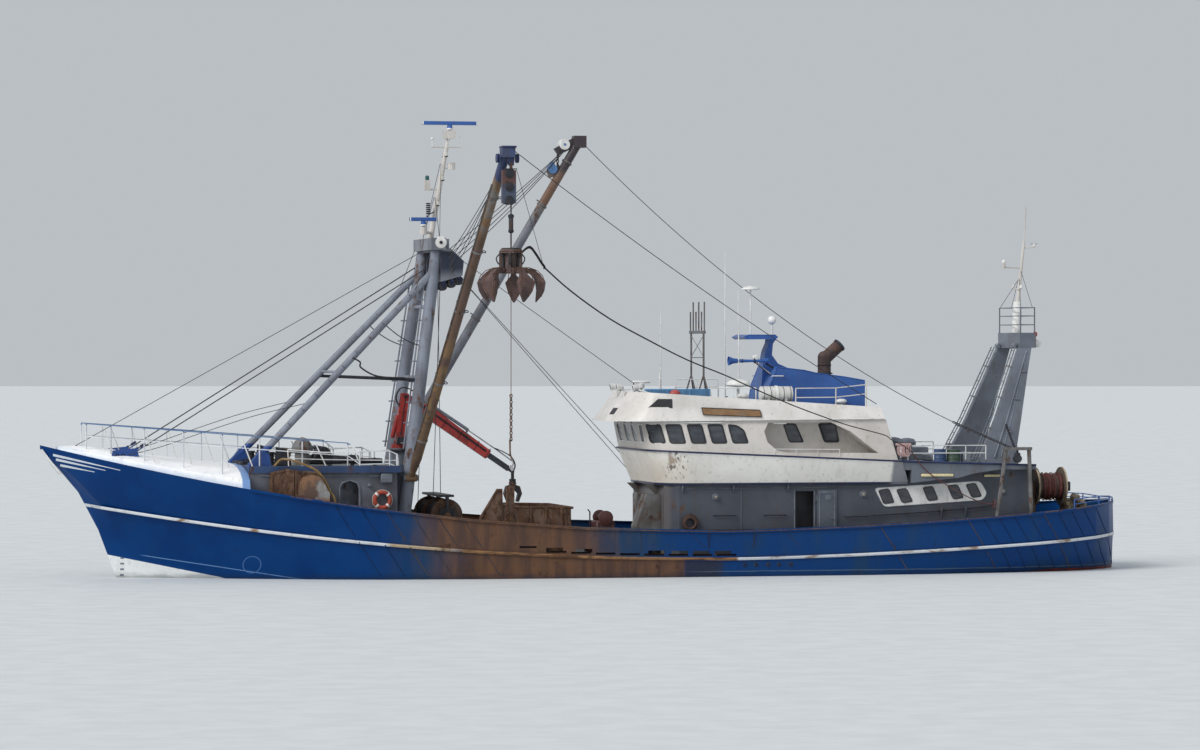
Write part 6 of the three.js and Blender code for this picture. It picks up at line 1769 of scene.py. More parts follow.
def add_wipers():
    arms = Shape()
    for y in (-1.1, 0, 1.1):
        top = on_end(CABIN_SIDE, y, 5.39, 1, 0.02)
        arms.lathe(top - Vector((0.02, 0, 0)), AHEAD, [(0, 0.025), (0.04, 0.025), (0.05, 0.015)], 10)
        arms.tube([top + Vector((0.02, 0, 0)), Vector((top.x - 0.08, y + 0.12, 5.04))], 0.005, 5)
        arms.tube([Vector((top.x - 0.06, y + 0.10, 5.12)), Vector((top.x - 0.12, y + 0.16, 4.90))], 0.007, 5)
    fit("wipers", arms, fitting_dark)


def add_wheelhouse_inside():
    inside, seats, screens = shapes(3)
    inside.wedge([(-2.45, 4.45), (-1.95, 4.50), (-2.05, 4.95), (-2.75, 4.90), (-2.75, 4.45)], 0, 1.9)
    inside.block((-4.4, 1.5, 4.72), (1.0, 1.2, 0.55), edge=0.03)
    inside.block((-4.8, -1.6, 4.80), (0.7, 1.4, 0.7), edge=0.03)
    inside.ring((-2.92, 0, 4.85), (1, 0, 0.3), 0.28, 0.018, 7, 24)
    for k in range(6):
        inside.tube([(-2.92, 0, 4.85), on_circle((-2.92, 0, 4.85), 0, 0.27, math.radians(60 * k))], 0.012, 5)
    for y in (-1.3, -0.75, 0.75, 1.3):
        screens.block((-2.32, y, 5.10), (0.12, 0.42, 0.28), Matrix.Rotation(0.2, 3, "Y"))
    for y in (-0.9, 0.9):
        seats.block((-3.35, y, 4.86), (0.50, 0.52, 0.14), edge=0.05)
        seats.block((-3.60, y, 5.10), (0.12, 0.50, 0.50), Matrix.Rotation(-0.15, 3, "Y"), edge=0.05)
        seats.tube([(-3.35, y, 4.52), (-3.35, y, 4.80)], 0.05, 10)
    fit("wheelhouse_console", inside, fitting_grey)
    fit("wheelhouse_seats", seats, gasket)
    fit("wheelhouse_screens", screens, fitting_dark)


def add_recess_lamps():
    lamps = Shape()
    for x in (-6.3, -8.6):
        for side in SIDES:
            lamps.block((x, side * 2.9, 5.37), (0.5, 0.14, 0.06), edge=0.02)
    fit("recess_lamps", lamps, fitting_white)


def dish(shape, x, y, foot, top, radius, squash=1.0):
    """A radome on a stalk."""
    shape.lathe((x, y, foot), UP, [(0, 0.07), (0.02, 0.045), (top - foot - 2 * radius * squash, 0.04)], 12)
    low = top - 2 * radius * squash
    profile = [(0, 0.3 * radius)] + [(radius * squash * (1 - math.cos(math.pi * (0.12 + 0.88 * k / 9))),
                                      radius * math.sin(math.pi * (0.12 + 0.84 * k / 9))) for k in range(10)]
    shape.lathe((x, y, low), UP, profile, 24)


def add_radomes():
    domes = Shape()
    floor = 5.74
    domes.lathe((-5.04, 1.9, floor), UP, [(0, 0.10), (0.03, 0.05), (0.90, 0.05), (0.94, 0.40), (0.98, 0.435),
                                          (1.04, 0.43), (1.10, 0.38), (1.15, 0.28), (1.18, 0.15),
                                          (1.19, 0.02)], 28)
    dish(domes, -5.1, 2.40, floor - 0.02, 6.44, 0.21, 0.6)
    dish(domes, -9.0, 1.4, floor - 0.06, 6.22, 0.2, 0.5)
    dish(domes, -6.79, 0, 8.50, 9.20, 0.155)
    dish(domes, -7.6, -2.2, floor - 0.02, 6.9, 0.24)
    domes.lathe((-2.65, 2.2, 5.78), UP, [(0, 0.08), (0.02, 0.05), (0.52, 0.05), (0.53, 0.15), (0.62, 0.16)],
                16)
    domes.lathe((-5.99, 0, 10.14), UP, [(0, 0.28), (0.02, 0.33), (0.06, 0.32), (0.12, 0.2), (0.15, 0.03)], 24)
    fit("radomes", domes, fitting_white)
    cap = Shape()
    cap.lathe((-2.65, 2.2, 6.40), UP, [(0, 0.20), (0.06, 0.19), (0.13, 0.13), (0.17, 0.03)], 18)
    piece("red_radome_cap", cap, "ship",
          painted("cap_red", (174, 82, 78), (154, 70, 68), rust=-0.3, fine=4.0))


def add_searchlights():
    dark_gear, spots = shapes(2)
    for x, y, z in ((-0.98, 0.5, 6.66), (-1.42, 1.2, 6.62), (-0.98, -0.5, 6.66), (-1.42, -1.2, 6.62)):
        spots.tube([(x - 0.20, y, 5.78), (x - 0.20, y, z - 0.16), (x - 0.10, y, z - 0.09)], 0.028, 8)
        spots.lathe((x - 0.13, y, z), (1, 0, -0.1), [(0, 0.06), (0.02, 0.10), (0.15, 0.125), (0.17, 0.135),
                                                     (0.20, 0.135), (0.21, 0.115), (0.185, 0.10)], 20)
        dark_gear.lathe((x + 0.04, y, z - 0.017), (1, 0, -0.1), [(0, 0.08), (0.025, 0.105), (0.03, 0.10)], 20)
    fit("searchlights", spots, fitting_white)
    fit("searchlight_glasses", dark_gear, window_glass)


def add_roof_boxes():
    boxes = Shape()
    boxes.block((-5.0, 2.05, 5.92), (0.50, 0.34, 0.36), edge=0.02)
    boxes.block((-4.45, 2.15, 5.88), (0.34, 0.30, 0.26), edge=0.02)
    boxes.tube([(-4.45, 2.15, 5.98), (-4.45, 2.15, 6.25), (-4.6, 2.1, 6.32)], 0.02, 6)
    piece("roof_boxes_dark", boxes, "ship",
          painted("dark_teal", (44, 66, 74), (34, 52, 60), rough=0.5, rust=0.0, fine=4.0))
    box_white = Shape()
    box_white.block((-5.55, 2.1, 5.90), (0.32, 0.30, 0.30), edge=0.02)
    fit("roof_box_white", box_white, fitting_white)
    bar = Shape()
    bar.lathe((-2.05, -0.5, 5.78), UP, [(0, 0.10), (0.04, 0.05), (0.80, 0.05), (0.82, 0.12), (0.98, 0.12),
                                        (1.0, 0.05)], 16)
    bar.block((-2.05, -0.5, 6.82), (0.66, 0.10, 0.09), edge=0.03)
    fit("small_radar", bar, fitting_white)
    panel = Shape()
    panel.block((-2.85, 1.75, 6.17), (2.45, 0.10, 0.84), edge=0.03)
    for x in (-1.72, -2.5, -3.3, -4.02):
        panel.block((x, 1.81, 6.17), (0.05, 0.04, 0.78), edge=0.01)
    piece("roof_locker", panel, "ship",
          painted("locker_blue", (100, 148, 188), (86, 132, 174), rough=0.4, rust=-0.1, fine=3.0))


def add_roof_aerials():
    poles = Shape()
    poles.tube([(-2.63, 0, 5.78), (-2.63, 0, 6.5), (-2.63, 0, 7.14)], [0.07, 0.055, 0.035], 10)
    poles.tube([(-2.63, -0.35, 6.95), (-2.63, 0.35, 6.95)], 0.018, 6)
    poles.tube([(-5.04, 0.0, 5.70), (-5.04, 0.0, 7.6), (-5.04, 0.0, 11.55)], [0.035, 0.022, 0.010], 8)
    poles.tube([(-5.30, 0.95, 5.70), (-5.30, 0.95, 8.6), (-5.28, 0.95, 10.1)], [0.03, 0.022, 0.012], 8)
    poles.tube([(-5.99, 0, 8.50), (-5.99, 0, 10.16)], 0.03, 8)
    poles.tube([(-3.2, -2.3, 5.75), (-3.2, -2.3, 8.4), (-3.2, -2.3, 9.6)], [0.025, 0.018, 0.008], 6)
    fit("whip_aerials", poles, fitting_white)


def add_roof_rails():
    rails = Shape()
    for side in SIDES:
        top = [(-3.84, side * 2.72, 6.62), (-4.65, side * 2.72, 6.62), (-5.48, side * 2.72, 6.62)]
        rails.tube(top, 0.022, 7)
        for x, y, z in top:
            rails.tube([(x, y, z), (x, y, 6.1)], 0.02, 6)
    rails.tube([(-1.75, 2.5, 6.42), (-1.55, 1.8, 6.52), (-1.5, 0, 6.56), (-1.55, -1.8, 6.52),
                (-1.75, -2.5, 6.42)], 0.02, 6)
    rails.tube([(-3.05, 0.7, 5.76), (-3.05, 0.7, 6.92), (-4.60, 0.7, 6.92), (-4.60, 0.7, 5.74)], 0.022, 7)
    rails.tube([(-3.82, 0.7, 5.75), (-3.82, 0.7, 6.92)], 0.016, 6)
    fit("roof_front_rails", rails, fitting_white)


def add_aerial_frame_fittings():
    braces = Shape()
    for y in (-1.04, -0.62, -0.21, 0.21, 0.62, 1.04):
        braces.lathe((-4.01, y, 8.56), UP, [(0, 0.05), (0.10, 0.05), (0.11, 0.03)], 10)
        braces.lathe((-4.01, y, 8.98), UP, [(0, 0.032), (0.05, 0.032)], 8)
    braces.tube([(-4.01, -0.93, 7.7), (-4.01, 0.93, 7.7)], 0.018, 6)
    for side in SIDES:
        braces.tube([(-4.01, side * -0.93, 7.72), (-4.01, side * 0.93, 8.5)], 0.012, 5)
    fit("aerial_frame_fittings", braces, fitting_grey)


def add_liferaft_fittings():
    straps = Shape()
    for x in (-6.80, -6.55, -6.07, -5.82):
        straps.ring((x, 2.35, 6.4), AHEAD, 0.283, 0.009, 5, 30)
    fit("raft_straps", straps, gasket)
    seam = Shape()
    seam.lathe((-6.35, 2.35, 6.4), AHEAD, [(0, 0.28), (0.005, 0.305), (0.075, 0.305), (0.08, 0.28)], 30)
    for x, way in ((-6.875, -1), (-5.745, 1)):
        seam.lathe((x, 2.35, 6.4), (way, 0, 0), [(0, 0.27), (0.012, 0.24), (0.02, 0.12), (0.022, 0.02)], 30)
    fit("raft_seam", seam, fitting_white)


def add_roof_hatches():
    hatch = Shape()
    hatch.block((-7.6, 1.9, 5.80), (0.75, 0.65, 0.24), edge=0.04)
    hatch.block((-3.4, -1.3, 5.88), (0.75, 0.75, 0.26), edge=0.04)
    fit("roof_hatches", hatch, fitting_grey)


def add_horn():
    horn, lamp = shapes(2)
    horn.lathe((-6.40, 0.9, 7.58), (1, 0, 0.0),
               [(0, 0.10), (0.12, 0.11), (0.14, 0.06), (0.5, 0.045), (1.0, 0.06), (1.3, 0.10), (1.46, 0.17),
                (1.47, 0.15), (1.2, 0.06)], 20)
    fit("horn", horn, blue)
    lamp.block((-5.98, 0.72, 7.66), (0.20, 0.30, 0.26), Matrix.Rotation(0.35, 3, "Y"), edge=0.03)
    lamp.tube([(-6.04, 0.72, 7.56), (-6.10, 0.74, 7.42), (-6.52, 0.78, 7.12)], 0.022, 6)
    fit("casing_lamp", lamp, fitting_white)
    bracket = Shape()
    bracket.tube([(-6.30, 0.9, 7.5), (-6.62, 0.9, 7.32)], 0.035, 8)
    bracket.tube([(-5.9, 0.9, 7.54), (-6.52, 0.9, 7.05)], 0.022, 6)
    bracket.ring((-5.90, 0.9, 7.58), AHEAD, 0.075, 0.018, 6, 18)
    bracket.ring((-5.45, 0.9, 7.58), AHEAD, 0.065, 0.014, 6, 18)
    fit("horn_brackets", bracket, fitting_dark)


def add_casing_fittings():
    rails, vents = shapes(2)
    for side in SIDES:
        y = side * 1.35
        rails.tube([(-6.42, y, 7.02), (-6.42, y + side * 0.08, 7.04), (-6.84, y + side * 0.08, 7.04),
                    (-6.84, y, 7.02)], 0.018, 6)
    for k in range(12):
        vents.block((-9.91, 0, 5.95 + 0.07 * k), (0.035, 1.6, 0.03), Matrix.Rotation(-0.5, 3, "Y"),
                    edge=0.006)
    fit("casing_handrails", rails, fitting_white)
    fit("casing_vents", vents, fitting_navy)


def add_exhaust_rings():
    cap = Shape()
    way = Vector((-0.6, 0, 0.54)).normalized()
    tip = Vector((-9.35, 0, 8.18))
    cap.lathe(tip - way * 0.10, way, [(0, 0.232), (0.01, 0.25), (0.09, 0.25), (0.10, 0.235), (0.115, 0.20),
                                      (0.06, 0.19)], 24)
    cap.lathe((-8.75, 0, 7.10), UP, [(0, 0.24), (0.0, 0.30), (0.05, 0.30), (0.06, 0.243)], 24)
    cap.ring((-8.75, 0, 7.42), UP, 0.247, 0.018, 6, 30)
    fit("exhaust_rings", cap, fitting_dark)


def add_casing_edges():
    edge = Shape()
    for side in SIDES:
        edge.tube([(-6.10, side * 1.352, 5.9), (-6.25, side * 1.352, 6.0), (-6.36, side * 1.352, 6.7),
                   (-6.51, side * 1.352, 7.06), (-6.62, side * 1.352, 7.36), (-7.63, side * 1.352, 7.245),
                   (-8.11, side * 1.352, 7.135), (-9.15, side * 1.352, 7.005), (-9.89, side * 1.352, 6.875)],
                  0.018, 6)
        edge.tube([(-5.52, side * 0.898, 8.43), (-5.70, side * 0.898, 8.515), (-6.68, side * 0.898, 8.515),
                   (-6.77, side * 0.898, 8.43)], 0.014, 6)
    fit("casing_edges", edge, blue)


# Deckhouse and boat deck

def hand_bar(shape, points, side, thick=0.018, off=0.07):
    """A grab rail held off a wall by its two ends."""
    out = Vector((0, side * off, 0))
    line = [Vector(points[0])] + [Vector(p) + out for p in points] + [Vector(points[-1])]
    shape.tube(line, thick, 6)


def add_deckhouse_sides():
    bars, lamps, lens, coils, frames, brackets, inner = shapes(7)
    for side in SIDES:
        y = side * 2.85
        for fore, aft, high, low in ((-3.9, -4.72, 2.1, 2.1), (-5.74, -6.56, 2.1, 2.1),
                                     (-8.75, -9.6, 2.02, 2.04)):
            hand_bar(bars, [(fore, y, high), (aft, y, low)], side)
        line = [(-9.7, y, 2.06), (-10.9, y, 2.12), (-12.2, y, 2.20), (-13.5, y, 2.3), (-14.2, y, 2.38)]
        hand_bar(bars, line, side)
        for x, _, z in line[1:4]:
            bars.tube([(x, y, z), (x, y + side * 0.07, z)], 0.014, 6)
        for x, z in ((-3.97, 2.76), (-9.4, 2.82), (-14.6, 2.9)):
            lamps.lathe((x, y, z), (0, side, 0), [(0, 0.14), (0.02, 0.14), (0.035, 0.12), (0.045, 0.085)], 18)
            lens.lathe((x, y + side * 0.035, z), (0, side, 0), [(0, 0.075), (0.06, 0.07), (0.09, 0.03)], 14)
            lamps.ring((x, y + side * 0.10, z), TO_PORT, 0.065, 0.006, 5, 16)
            for a in (0, 90):
                c, s = math.cos(math.radians(a)) * 0.085, math.sin(math.radians(a)) * 0.085
                lamps.tube([(x - c, y + side * 0.04, z - s), (x - 0.7 * c, y + side * 0.115, z - 0.7 * s),
                            (x + 0.7 * c, y + side * 0.115, z + 0.7 * s), (x + c, y + side * 0.04, z + s)],
                           0.006, 5)
        for k in range(4):
            coils.ring((-3.04 + 0.01 * k, y + side * (0.05 + 0.035 * k), 1.88 - 0.012 * k),
                       (0.04 * (k - 2), 1, 0.03 * (k % 2)), (0.25, 0.20)[k % 2], 0.042, 8, 28)
        coils.tube([(-3.04, y, 2.16), (-3.04, y + side * 0.16, 2.17), (-3.04, y + side * 0.17, 2.22)], 0.016,
                   6)
        frames.tube([(-7.60, y - side * 0.013, 0.98), (-7.60, y - side * 0.013, 2.98),
                     (-6.87, y - side * 0.013, 2.98), (-6.87, y - side * 0.013, 0.98)], 0.028, 7)
        inner.block((-7.24, side * 2.38, 1.98), (0.9, 0.03, 2.1), edge=0.008)
        inner.tube([(-7.0, side * 2.36, 1.1), (-7.0, side * 2.36, 2.9)], 0.03, 6)
        brackets.tube([(-2.9, y + side * 0.02, 3.05), (-7.4, y + side * 0.02, 3.08),
                       (-9.6, y + side * 0.02, 3.10)], 0.012, 6)
        brackets.tube([(-4.9, y + side * 0.02, 3.06), (-4.9, y + side * 0.02, 1.0)], 0.012, 6)
        for x in (-12.3, -13.2):
            brackets.solid([(x + dx, y, z) for dx in (-0.02, 0.02) for z in (1.95, 2.35)]
                           + [(x + dx, y + side * 0.2, 2.35) for dx in (-0.02, 0.02)])
        for x in (-2.75, -4.6, -6.6):
            brackets.solid([(x + dx, y, z) for dx in (-0.012, 0.012) for z in (3.17, 2.88)]
                           + [(x + dx, y + side * 0.20, 3.17) for dx in (-0.012, 0.012)])
    fit("deckhouse_handrails", bars, fitting_dark)
    fit("bulkhead_lamps", lamps, fitting_grey)
    piece("bulkhead_lenses", lens, "ship",
          rubber("bulkhead_lens", (150, 147, 136), (126, 122, 112)))
    piece("hose_coils", coils, "ship",
          rope_paint("hose_brown", (96, 70, 60), (70, 52, 46), 30))
    fit("doorway_frames", frames, fitting_grey)
    fit("deckhouse_boxes", brackets, fitting_grey)
    fit("doorway_linings", inner, dark)


def add_deckhouse_front():
    front = Shape()
    front.wedge([(-2.19, 0.85), (-1.35, 0.85), (-1.30, 1.7), (-1.68, 2.84), (-2.19, 2.84)], 1.525, 0.425)
    front.block((-2.10, -1.3, 1.85), (0.20, 0.75, 1.9), edge=0.03)
    front.block((-2.02, -1.3, 1.85), (0.06, 0.62, 1.72), edge=0.02)
    for y in (-1.5, 1.5):
        front.wedge([(-1.75, 3.17), (-2.2, 3.17), (-2.2, 2.72)], y, 0.02)
    front.lathe((-1.75, 0.5, 0.72), UP, [(0, 0.14), (1.0, 0.14), (1.02, 0.22), (1.12, 0.24), (1.22, 0.18),
                                         (1.25, 0.05)], 18)
    fit("deckhouse_front_gear", front, worn_grey, sharp=20)


def add_strip_lights():
    tubes = Shape()
    for side in SIDES:
        tubes.block((-12.0, side * 3.38, 3.50), (1.2, 0.08, 0.10), edge=0.03)
        tubes.block((-14.2, side * 2.90, 3.46), (0.62, 0.09, 0.09), edge=0.03)
    for y in (-1.9, 0.6):
        tubes.block((-2.16, y, 3.05), (0.09, 0.55, 0.10), edge=0.03)
    piece("strip_lights", tubes, "ship",
          rubber("strip_light", (226, 212, 168), (204, 190, 150)))


def add_door_fittings():
    door = Shape()
    x, y = -8.04, 2.922
    door.border([(x - 0.30, y, 1.06), (x + 0.30, y, 1.06), (x + 0.30, y, 2.94), (x - 0.30, y, 2.94)], [
        (x - 0.25, y, 1.11), (x + 0.25, y, 1.11), (x + 0.25, y, 2.89), (x - 0.25, y, 2.89)], (0, 0.012, 0))
    for z in (1.3, 1.7, 2.3, 2.7):
        door.tube([(x - 0.32, y + 0.01, z), (x - 0.32, y + 0.05, z), (x - 0.24, y + 0.055, z + 0.06)], 0.014,
                  6)
    door.tube([(x - 0.22, y, 2.0), (x - 0.22, y + 0.06, 2.0), (x - 0.10, y + 0.06, 2.0)], 0.014, 6)
    fit("door_dogs", door, fitting_grey, "side_door")
    plate = Shape()
    plate.block((x - 0.06, y + 0.008, 2.72), (0.22, 0.012, 0.16), edge=0.003)
    fit("door_plate", plate, fitting_grey, "side_door")


def add_drums():
    blue_drum, green_drum = shapes(2)
    drum = [(0, 0.235), (0.01, 0.245), (0.03, 0.235), (0.14, 0.235), (0.15, 0.245), (0.165, 0.235),
            (0.29, 0.235), (0.30, 0.245), (0.315, 0.235), (0.44, 0.235), (0.45, 0.245), (0.47, 0.235),
            (0.465, 0.21)]
    blue_drum.lathe((-12.34, 2.5, 3.945), UP, drum, 24)
    green_drum.lathe((-12.87, 2.5, 3.93), UP, drum, 24)
    piece("drum_blue", blue_drum, "ship",
          painted("drum_blue_paint", (70, 92, 134), (58, 78, 116), rust=-0.1, fine=4.0))
    piece("drum_green", green_drum, "ship",
          painted("drum_green_paint", (78, 96, 84), (62, 80, 70), rust=-0.1, fine=4.0))


def add_rope_coil():
    coil = Shape()
    for k in range(6):
        wide, drop = 0.10 + 0.012 * (k % 3), 0.40 + 0.03 * (k % 2)
        y = 3.24 + 0.012 * k
        top = Vector((-10.66 - 0.05 * k, y, 4.60))
        loop = [top + Vector((-wide * math.sin(a), 0.02 * math.sin(2 * a), -drop / 2 * (1 - math.cos(a))))
                for a in [2 * math.pi * i / 24 for i in range(24)]]
        coil.tube(loop, 0.021, 7, closed=True)
    coil.tube([(-10.5, 3.22, 4.60), (-11.05, 3.30, 4.60)], 0.045, 8)
    piece("rope_coil_pink", coil, "ship",
          rope_paint("pink_rope", (206, 172, 170), (184, 148, 148), 30))


def add_boat_deck_gear():
    boxes = Shape()
    boxes.block((-13.35, 2.5, 4.12), (0.30, 0.36, 0.40), edge=0.03)
    boxes.block((-11.7, -2.3, 4.18), (1.0, 0.7, 0.48), edge=0.04)
    boxes.block((-12.9, -2.3, 4.16), (0.8, 0.6, 0.48), edge=0.04)
    for side in SIDES:
        boxes.lathe((-11.6, side * 0.9, 3.95), UP,
                    [(0, 0.20), (0.55, 0.20), (0.56, 0.32), (0.68, 0.34), (0.80, 0.26), (0.84, 0.08)], 20)
    boxes.block((-13.1, 0, 4.06), (1.0, 1.2, 0.26), edge=0.05)
    fit("boat_deck_gear", boxes, fitting_grey)
    doorway = Shape()
    doorway.block((-10.50, 0.0, 4.85), (0.10, 0.72, 1.55), edge=0.03)
    doorway.ring((-10.56, 0.0, 5.2), AHEAD, 0.13, 0.02, 8, 24)
    fit("aft_cabin_door", doorway, fitting_white)


# Stern

KINK = 0.38


def add_gantry_ladders():
    """Ladders up the gantry's legs, bent where the legs bend, at KINK of their length."""
    ladders, pipes = shapes(2)
    for side in SIDES:
        line = [(-13.92, 3.94, 1.90), (-14.65, 5.45, 1.59), (-15.70, 8.03, 1.09)]
        points = [Vector((x, side * (y + 0.17), z)) for x, z, y in line]
        out = Vector((0.16, 0, 0.06))
        for dy in (-0.17, 0.17):
            ladders.tube([p + out + Vector((0, dy, 0)) for p in points], 0.022, 6)
        for k in range(15):
            t = (k + 0.5) / 15
            if t < KINK:
                at = lerp(points[0], points[1], t / KINK)
            else:
                at = lerp(points[1], points[2], (t - KINK) / (1 - KINK))
            ladders.tube([at + out + Vector((0, -0.17, 0)), at + out + Vector((0, 0.17, 0))], 0.015, 5)
            if k % 4 == 0:
                for dy in (-0.17, 0.17):
                    ladders.tube([at + out + Vector((0, dy, 0)), at + Vector((0, dy * 0.8, 0))], 0.014, 5)
        pipes.tube([(-14.5, side * 2.22, 4.1), (-15.05, side * 1.94, 5.45), (-15.95, side * 1.47, 7.95)],
                   0.028, 7)
        pipes.tube([(-14.75, side * 2.20, 4.1), (-15.22, side * 1.93, 5.45), (-16.0, side * 1.45, 7.95)],
                   0.018, 6)
        for z in (5.0, 6.2, 7.2):
            pipes.block((-15.25 - 0.30 * (z - 5.45), side * (2.02 - 0.188 * (z - 5.0)), z),
                        (0.22, 0.10, 0.05), edge=0.01)
    fit("gantry_ladders", ladders, fitting_grey)
    fit("gantry_pipes", pipes, mast_paint)


def add_gantry_lamps():
    lamps, grey_lamps = shapes(2)
    for y in (-0.9, 0.9):
        lamps.block((-16.50, y, 8.22), (0.26, 0.34, 0.24), Matrix.Rotation(-0.4, 3, "Y"), edge=0.03)
        grey_lamps.block((-15.64, y * 1.1, 8.12), (0.16, 0.24, 0.18), Matrix.Rotation(0.4, 3, "Y"), edge=0.03)
        grey_lamps.tube([(-15.72, y * 1.1, 8.12), (-15.85, y * 1.1, 8.05)], 0.025, 6)
        lamps.tube([(-16.40, y, 8.30), (-16.2, y, 8.3)], 0.03, 6)
    lamps.lathe((-15.56, 0, 11.14), UP, [(0, 0.06), (0.02, 0.075), (0.10, 0.075), (0.13, 0.04)], 14)
    lamps.lathe((-16.72, 0, 11.75), UP, [(0, 0.03), (0.02, 0.06), (0.08, 0.06), (0.1, 0.03)], 14)
    for side in SIDES:
        lamps.lathe((-16.08, side * 0.44, 10.2), UP, [(0, 0.03), (0.03, 0.06), (0.12, 0.06), (0.15, 0.03)],
                    14)
        for k in range(3):
            lamps.tube([on_circle((-16.72, 0, 11.86), 2, radius, 2.1 * k) for radius in (0.06, 0.13)], 0.02,
                       6)
    fit("gantry_lamps", lamps, fitting_white)
    fit("gantry_front_lamps", grey_lamps, fitting_grey)


def add_stern_mast_sleeve():
    sleeve = Shape()
    sleeve.lathe((-16.04, 0, 8.24), (-0.02, 0, 1), [(0, 0.19), (0.03, 0.19), (0.05, 0.172), (1.30, 0.165),
                                                    (1.34, 0.15), (1.48, 0.14), (1.50, 0.10)], 18)
    sleeve.ring((-16.07, 0, 9.35), UP, 0.17, 0.012, 6, 24)
    fit("stern_mast_sleeve", sleeve, fitting_white)


def add_gantry_chains():
    chain = Shape()
    for side in SIDES:
        chain.chain((-14.86, side * 3.46, 4.47), (-14.98, side * 2.08, 5.28), 0.13, 0.018)
    fit("gantry_chains", chain, fitting_dark)
    red_lamp = Shape()
    red_lamp.lathe((-16.46, 0.9, 8.46), UP, [(0, 0.05), (0.02, 0.08), (0.14, 0.08), (0.18, 0.03)], 16)
    piece("gantry_red_lamp", red_lamp, "ship", rubber("red_lens", (190, 50, 44), (160, 42, 38)))


def add_gantry_braces():
    braces = Shape()
    for x in (-15.9, -16.2):
        for y in (-0.7, 0, 0.7):
            braces.block((x, y, 8.07), (0.28, 0.05, 0.10), edge=0.01)
    braces.tube([(-16.0, 0, 8.2), (-16.0, 0, 8.3)], 0.2, 16)
    fit("gantry_braces", braces, grey)
    stays = Shape()
    for y in (-1.25, 1.25):
        stays.tube([(-16.25, y, 9.5), (-16.2, 0, 10.9)], 0.009, 5)
        stays.tube([(-15.8, y, 9.5), (-16.15, 0, 10.6)], 0.009, 5)
    fit("stern_mast_stays", stays, wire)


def add_reel():
    rope = Shape()
    profile = [(0.04, 0.36)]
    for k in range(22):
        x = 0.05 + 0.0402 * k
        fill = 0.44 + 0.035 * math.sin(2.3 * k) + 0.05 * math.cos(0.55 * k)
        profile += [(x, fill - 0.02), (x + 0.01, fill - 0.006), (x + 0.02, fill), (x + 0.03, fill - 0.006)]
    profile += [(0.935, 0.42), (0.94, 0.36)]
    rope.lathe((-17.24, 1.5, 3.02), AHEAD, profile, 30)
    for k in range(9):
        x = -17.15 + 0.10 * k
        tilt = 0.12 * (1 if k % 2 else -1)
        rope.ring((x, 1.5, 3.02), (1, tilt, 0.4 * tilt), 0.47 + 0.03 * math.sin(2.3 * k), 0.022, 6, 36)
    piece("reel_rope", rope, "reel",
          rope_paint("red_rope", (128, 72, 66), (92, 54, 52), 26, 0.005))
    spokes, rims = shapes(2)
    for x in (-17.27, -16.23):
        rims.ring((x, 1.5, 3.02), AHEAD, 0.685, 0.030, 8, 40)
        for k in range(8):
            a = math.radians(45 * k)
            spokes.tube([on_circle((x, 1.5, 3.02), 0, radius, a) for radius in (0.12, 0.68)], 0.022, 6)
    fit("reel_spokes", spokes, worn_grey, "reel")
    piece("reel_rims", rims, "reel",
          painted("rim_buff", (176, 160, 134), (146, 130, 108), rough=0.5, rust=0.25, fine=4.0))
    drive = Shape()
    drive.block((-17.50, 1.5, 3.02), (0.14, 0.34, 0.34), edge=0.03)
    fit("reel_drive", drive, fitting_dark)


def add_float_bin():
    bin_walls, floats = shapes(2)
    for x, y, wide, deep in ((-18.0, 0.35, 0.9, 0.05), (-18.0, 1.35, 0.9, 0.05), (-17.57, 0.85, 0.05, 1.0),
                             (-18.43, 0.85, 0.05, 1.0)):
        bin_walls.block((x, y, 1.70), (wide, deep, 0.95), edge=0.012)
    bin_walls.block((-18.0, 0.85, 1.32), (0.84, 0.98, 0.05), edge=0.01)
    fit("float_bin", bin_walls, fitting_rust)
    for k in range(22):
        a = 2.4 * k
        r = 0.12 + 0.25 * ((k * 37) % 10) / 10
        middle = on_circle((-18.0, 0.85, 2.30 + 0.13 * ((k * 13) % 4) - 0.4 * r), 2, r, a)
        floats.ball(middle, 0.12)
    floats_paint = Paint("float_buff")
    mottle = floats_paint.noise(6, detail=3)
    hue = floats_paint.mix(floats_paint.step(mottle, 0.42, 0.58), rgb(176, 158, 128), rgb(128, 116, 100))
    piece("net_floats", floats, "ship",
          floats_paint.finish(hue, floats_paint.step(mottle, 0.3, 0.7, 0.5, 0.8), mottle, 0.002))


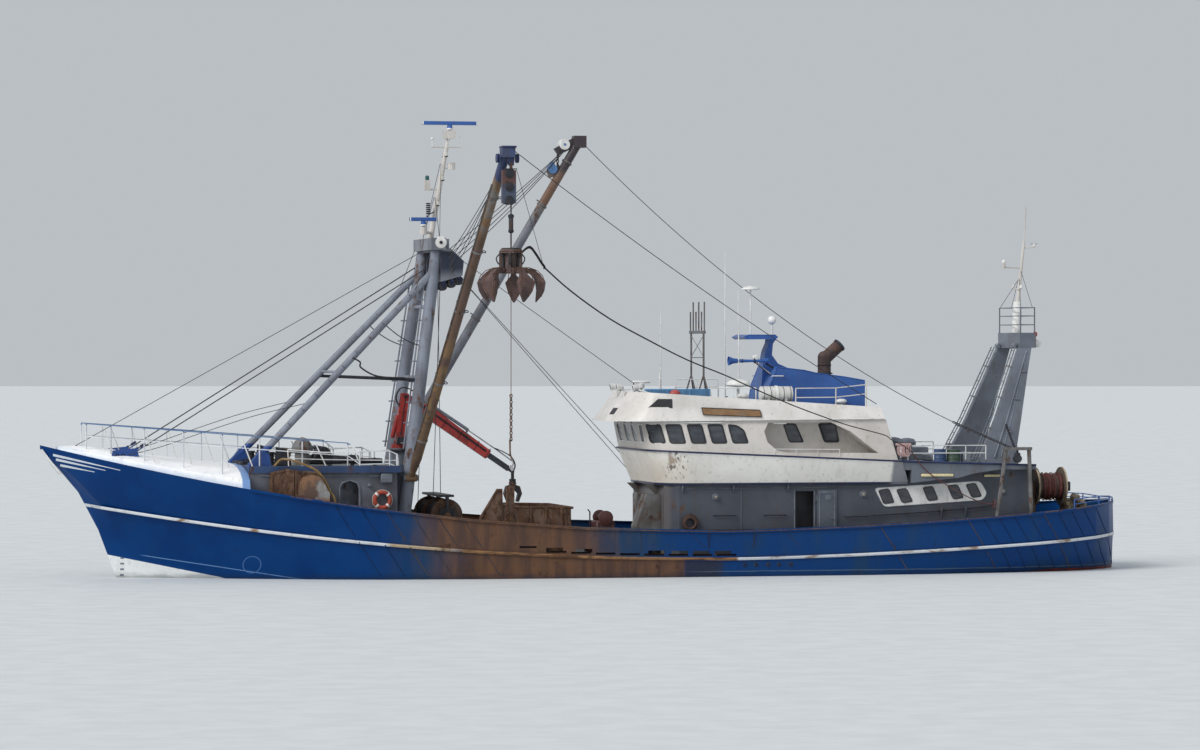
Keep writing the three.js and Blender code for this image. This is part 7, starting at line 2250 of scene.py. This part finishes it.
def add_stern_bitts():
    bits = Shape()
    for side in SIDES:
        for dx in (-0.2, 0.2):
            bits.lathe((-17.9 + dx, side * 2.2, 1.25), UP, bollard(0.5), 14)
        bits.lathe((-14.97, side * 3.46, 4.38), (0, 0, -1), [(0, 0.04), (0.10, 0.04)], 10)
        bits.block((-14.97, side * 3.46, 4.12), (0.20, 0.14, 0.34), edge=0.03)
        bits.lathe((-14.97, side * 3.46 - 0.10, 4.08), TO_PORT,
                   [(0, 0.13), (0.03, 0.15), (0.17, 0.15), (0.2, 0.13)], 18)
    fit("stern_bitts", bits, fitting_dark)


def add_anodes():
    zincs = Shape()
    for side in SIDES:
        for x, z in ((-11.5, -2.0), (-12.3, -1.9), (-9.5, -2.4), (-5.0, -2.8), (3.0, -2.8)):
            spot = on_side(HULL_SIDE, x, z, side)
            if spot:
                zincs.block(spot, (0.35, 0.10, 0.12), edge=0.02)
    fit("hull_anodes", zincs, chrome)


def add_propeller_cone():
    hub = Shape()
    low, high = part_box("propeller")
    centre = (low + high) / 2
    hub.lathe((low.x + 0.02, centre.y, centre.z), AHEAD,
              [(0, 0.03), (0.03, 0.09), (0.10, 0.13), (0.12, 0.13)], 20)
    piece("propeller_cone", hub, "screw", FINISHES["propeller"])


add_mouldings()
add_boards()
add_wheelhouse_rails()
add_wipers()
add_wheelhouse_inside()
add_recess_lamps()
add_radomes()
add_searchlights()
add_roof_boxes()
add_roof_aerials()
add_roof_rails()
add_aerial_frame_fittings()
add_liferaft_fittings()
add_roof_hatches()
add_horn()
add_casing_fittings()
add_exhaust_rings()
add_casing_edges()
add_deckhouse_sides()
add_deckhouse_front()
add_strip_lights()
add_door_fittings()
add_drums()
add_rope_coil()
add_boat_deck_gear()
add_gantry_ladders()
add_gantry_lamps()
add_stern_mast_sleeve()
add_gantry_chains()
add_gantry_braces()
add_reel()
add_float_bin()
add_stern_bitts()
add_anodes()
add_propeller_cone()


def stand():
    p = Paint("studio_floor")
    grain = p.noise(0.8, detail=4)
    colour = p.mix(p.step(grain, 0.3, 0.7), rgb(214, 218, 220), rgb(206, 210, 213))
    material = p.finish(colour, p.step(grain, 0.3, 0.7, 0.6, 0.7), grain, 0.002)
    mesh = bpy.data.meshes.new("floor")
    mesh.from_pydata([(-600, -900, 0), (600, -900, 0), (600, 300, 0), (-600, 300, 0)], [], [(0, 1, 2, 3)])
    mesh.materials.append(material)
    floor = bpy.data.objects.new("floor", mesh)
    scene.collection.objects.link(floor)


stand()
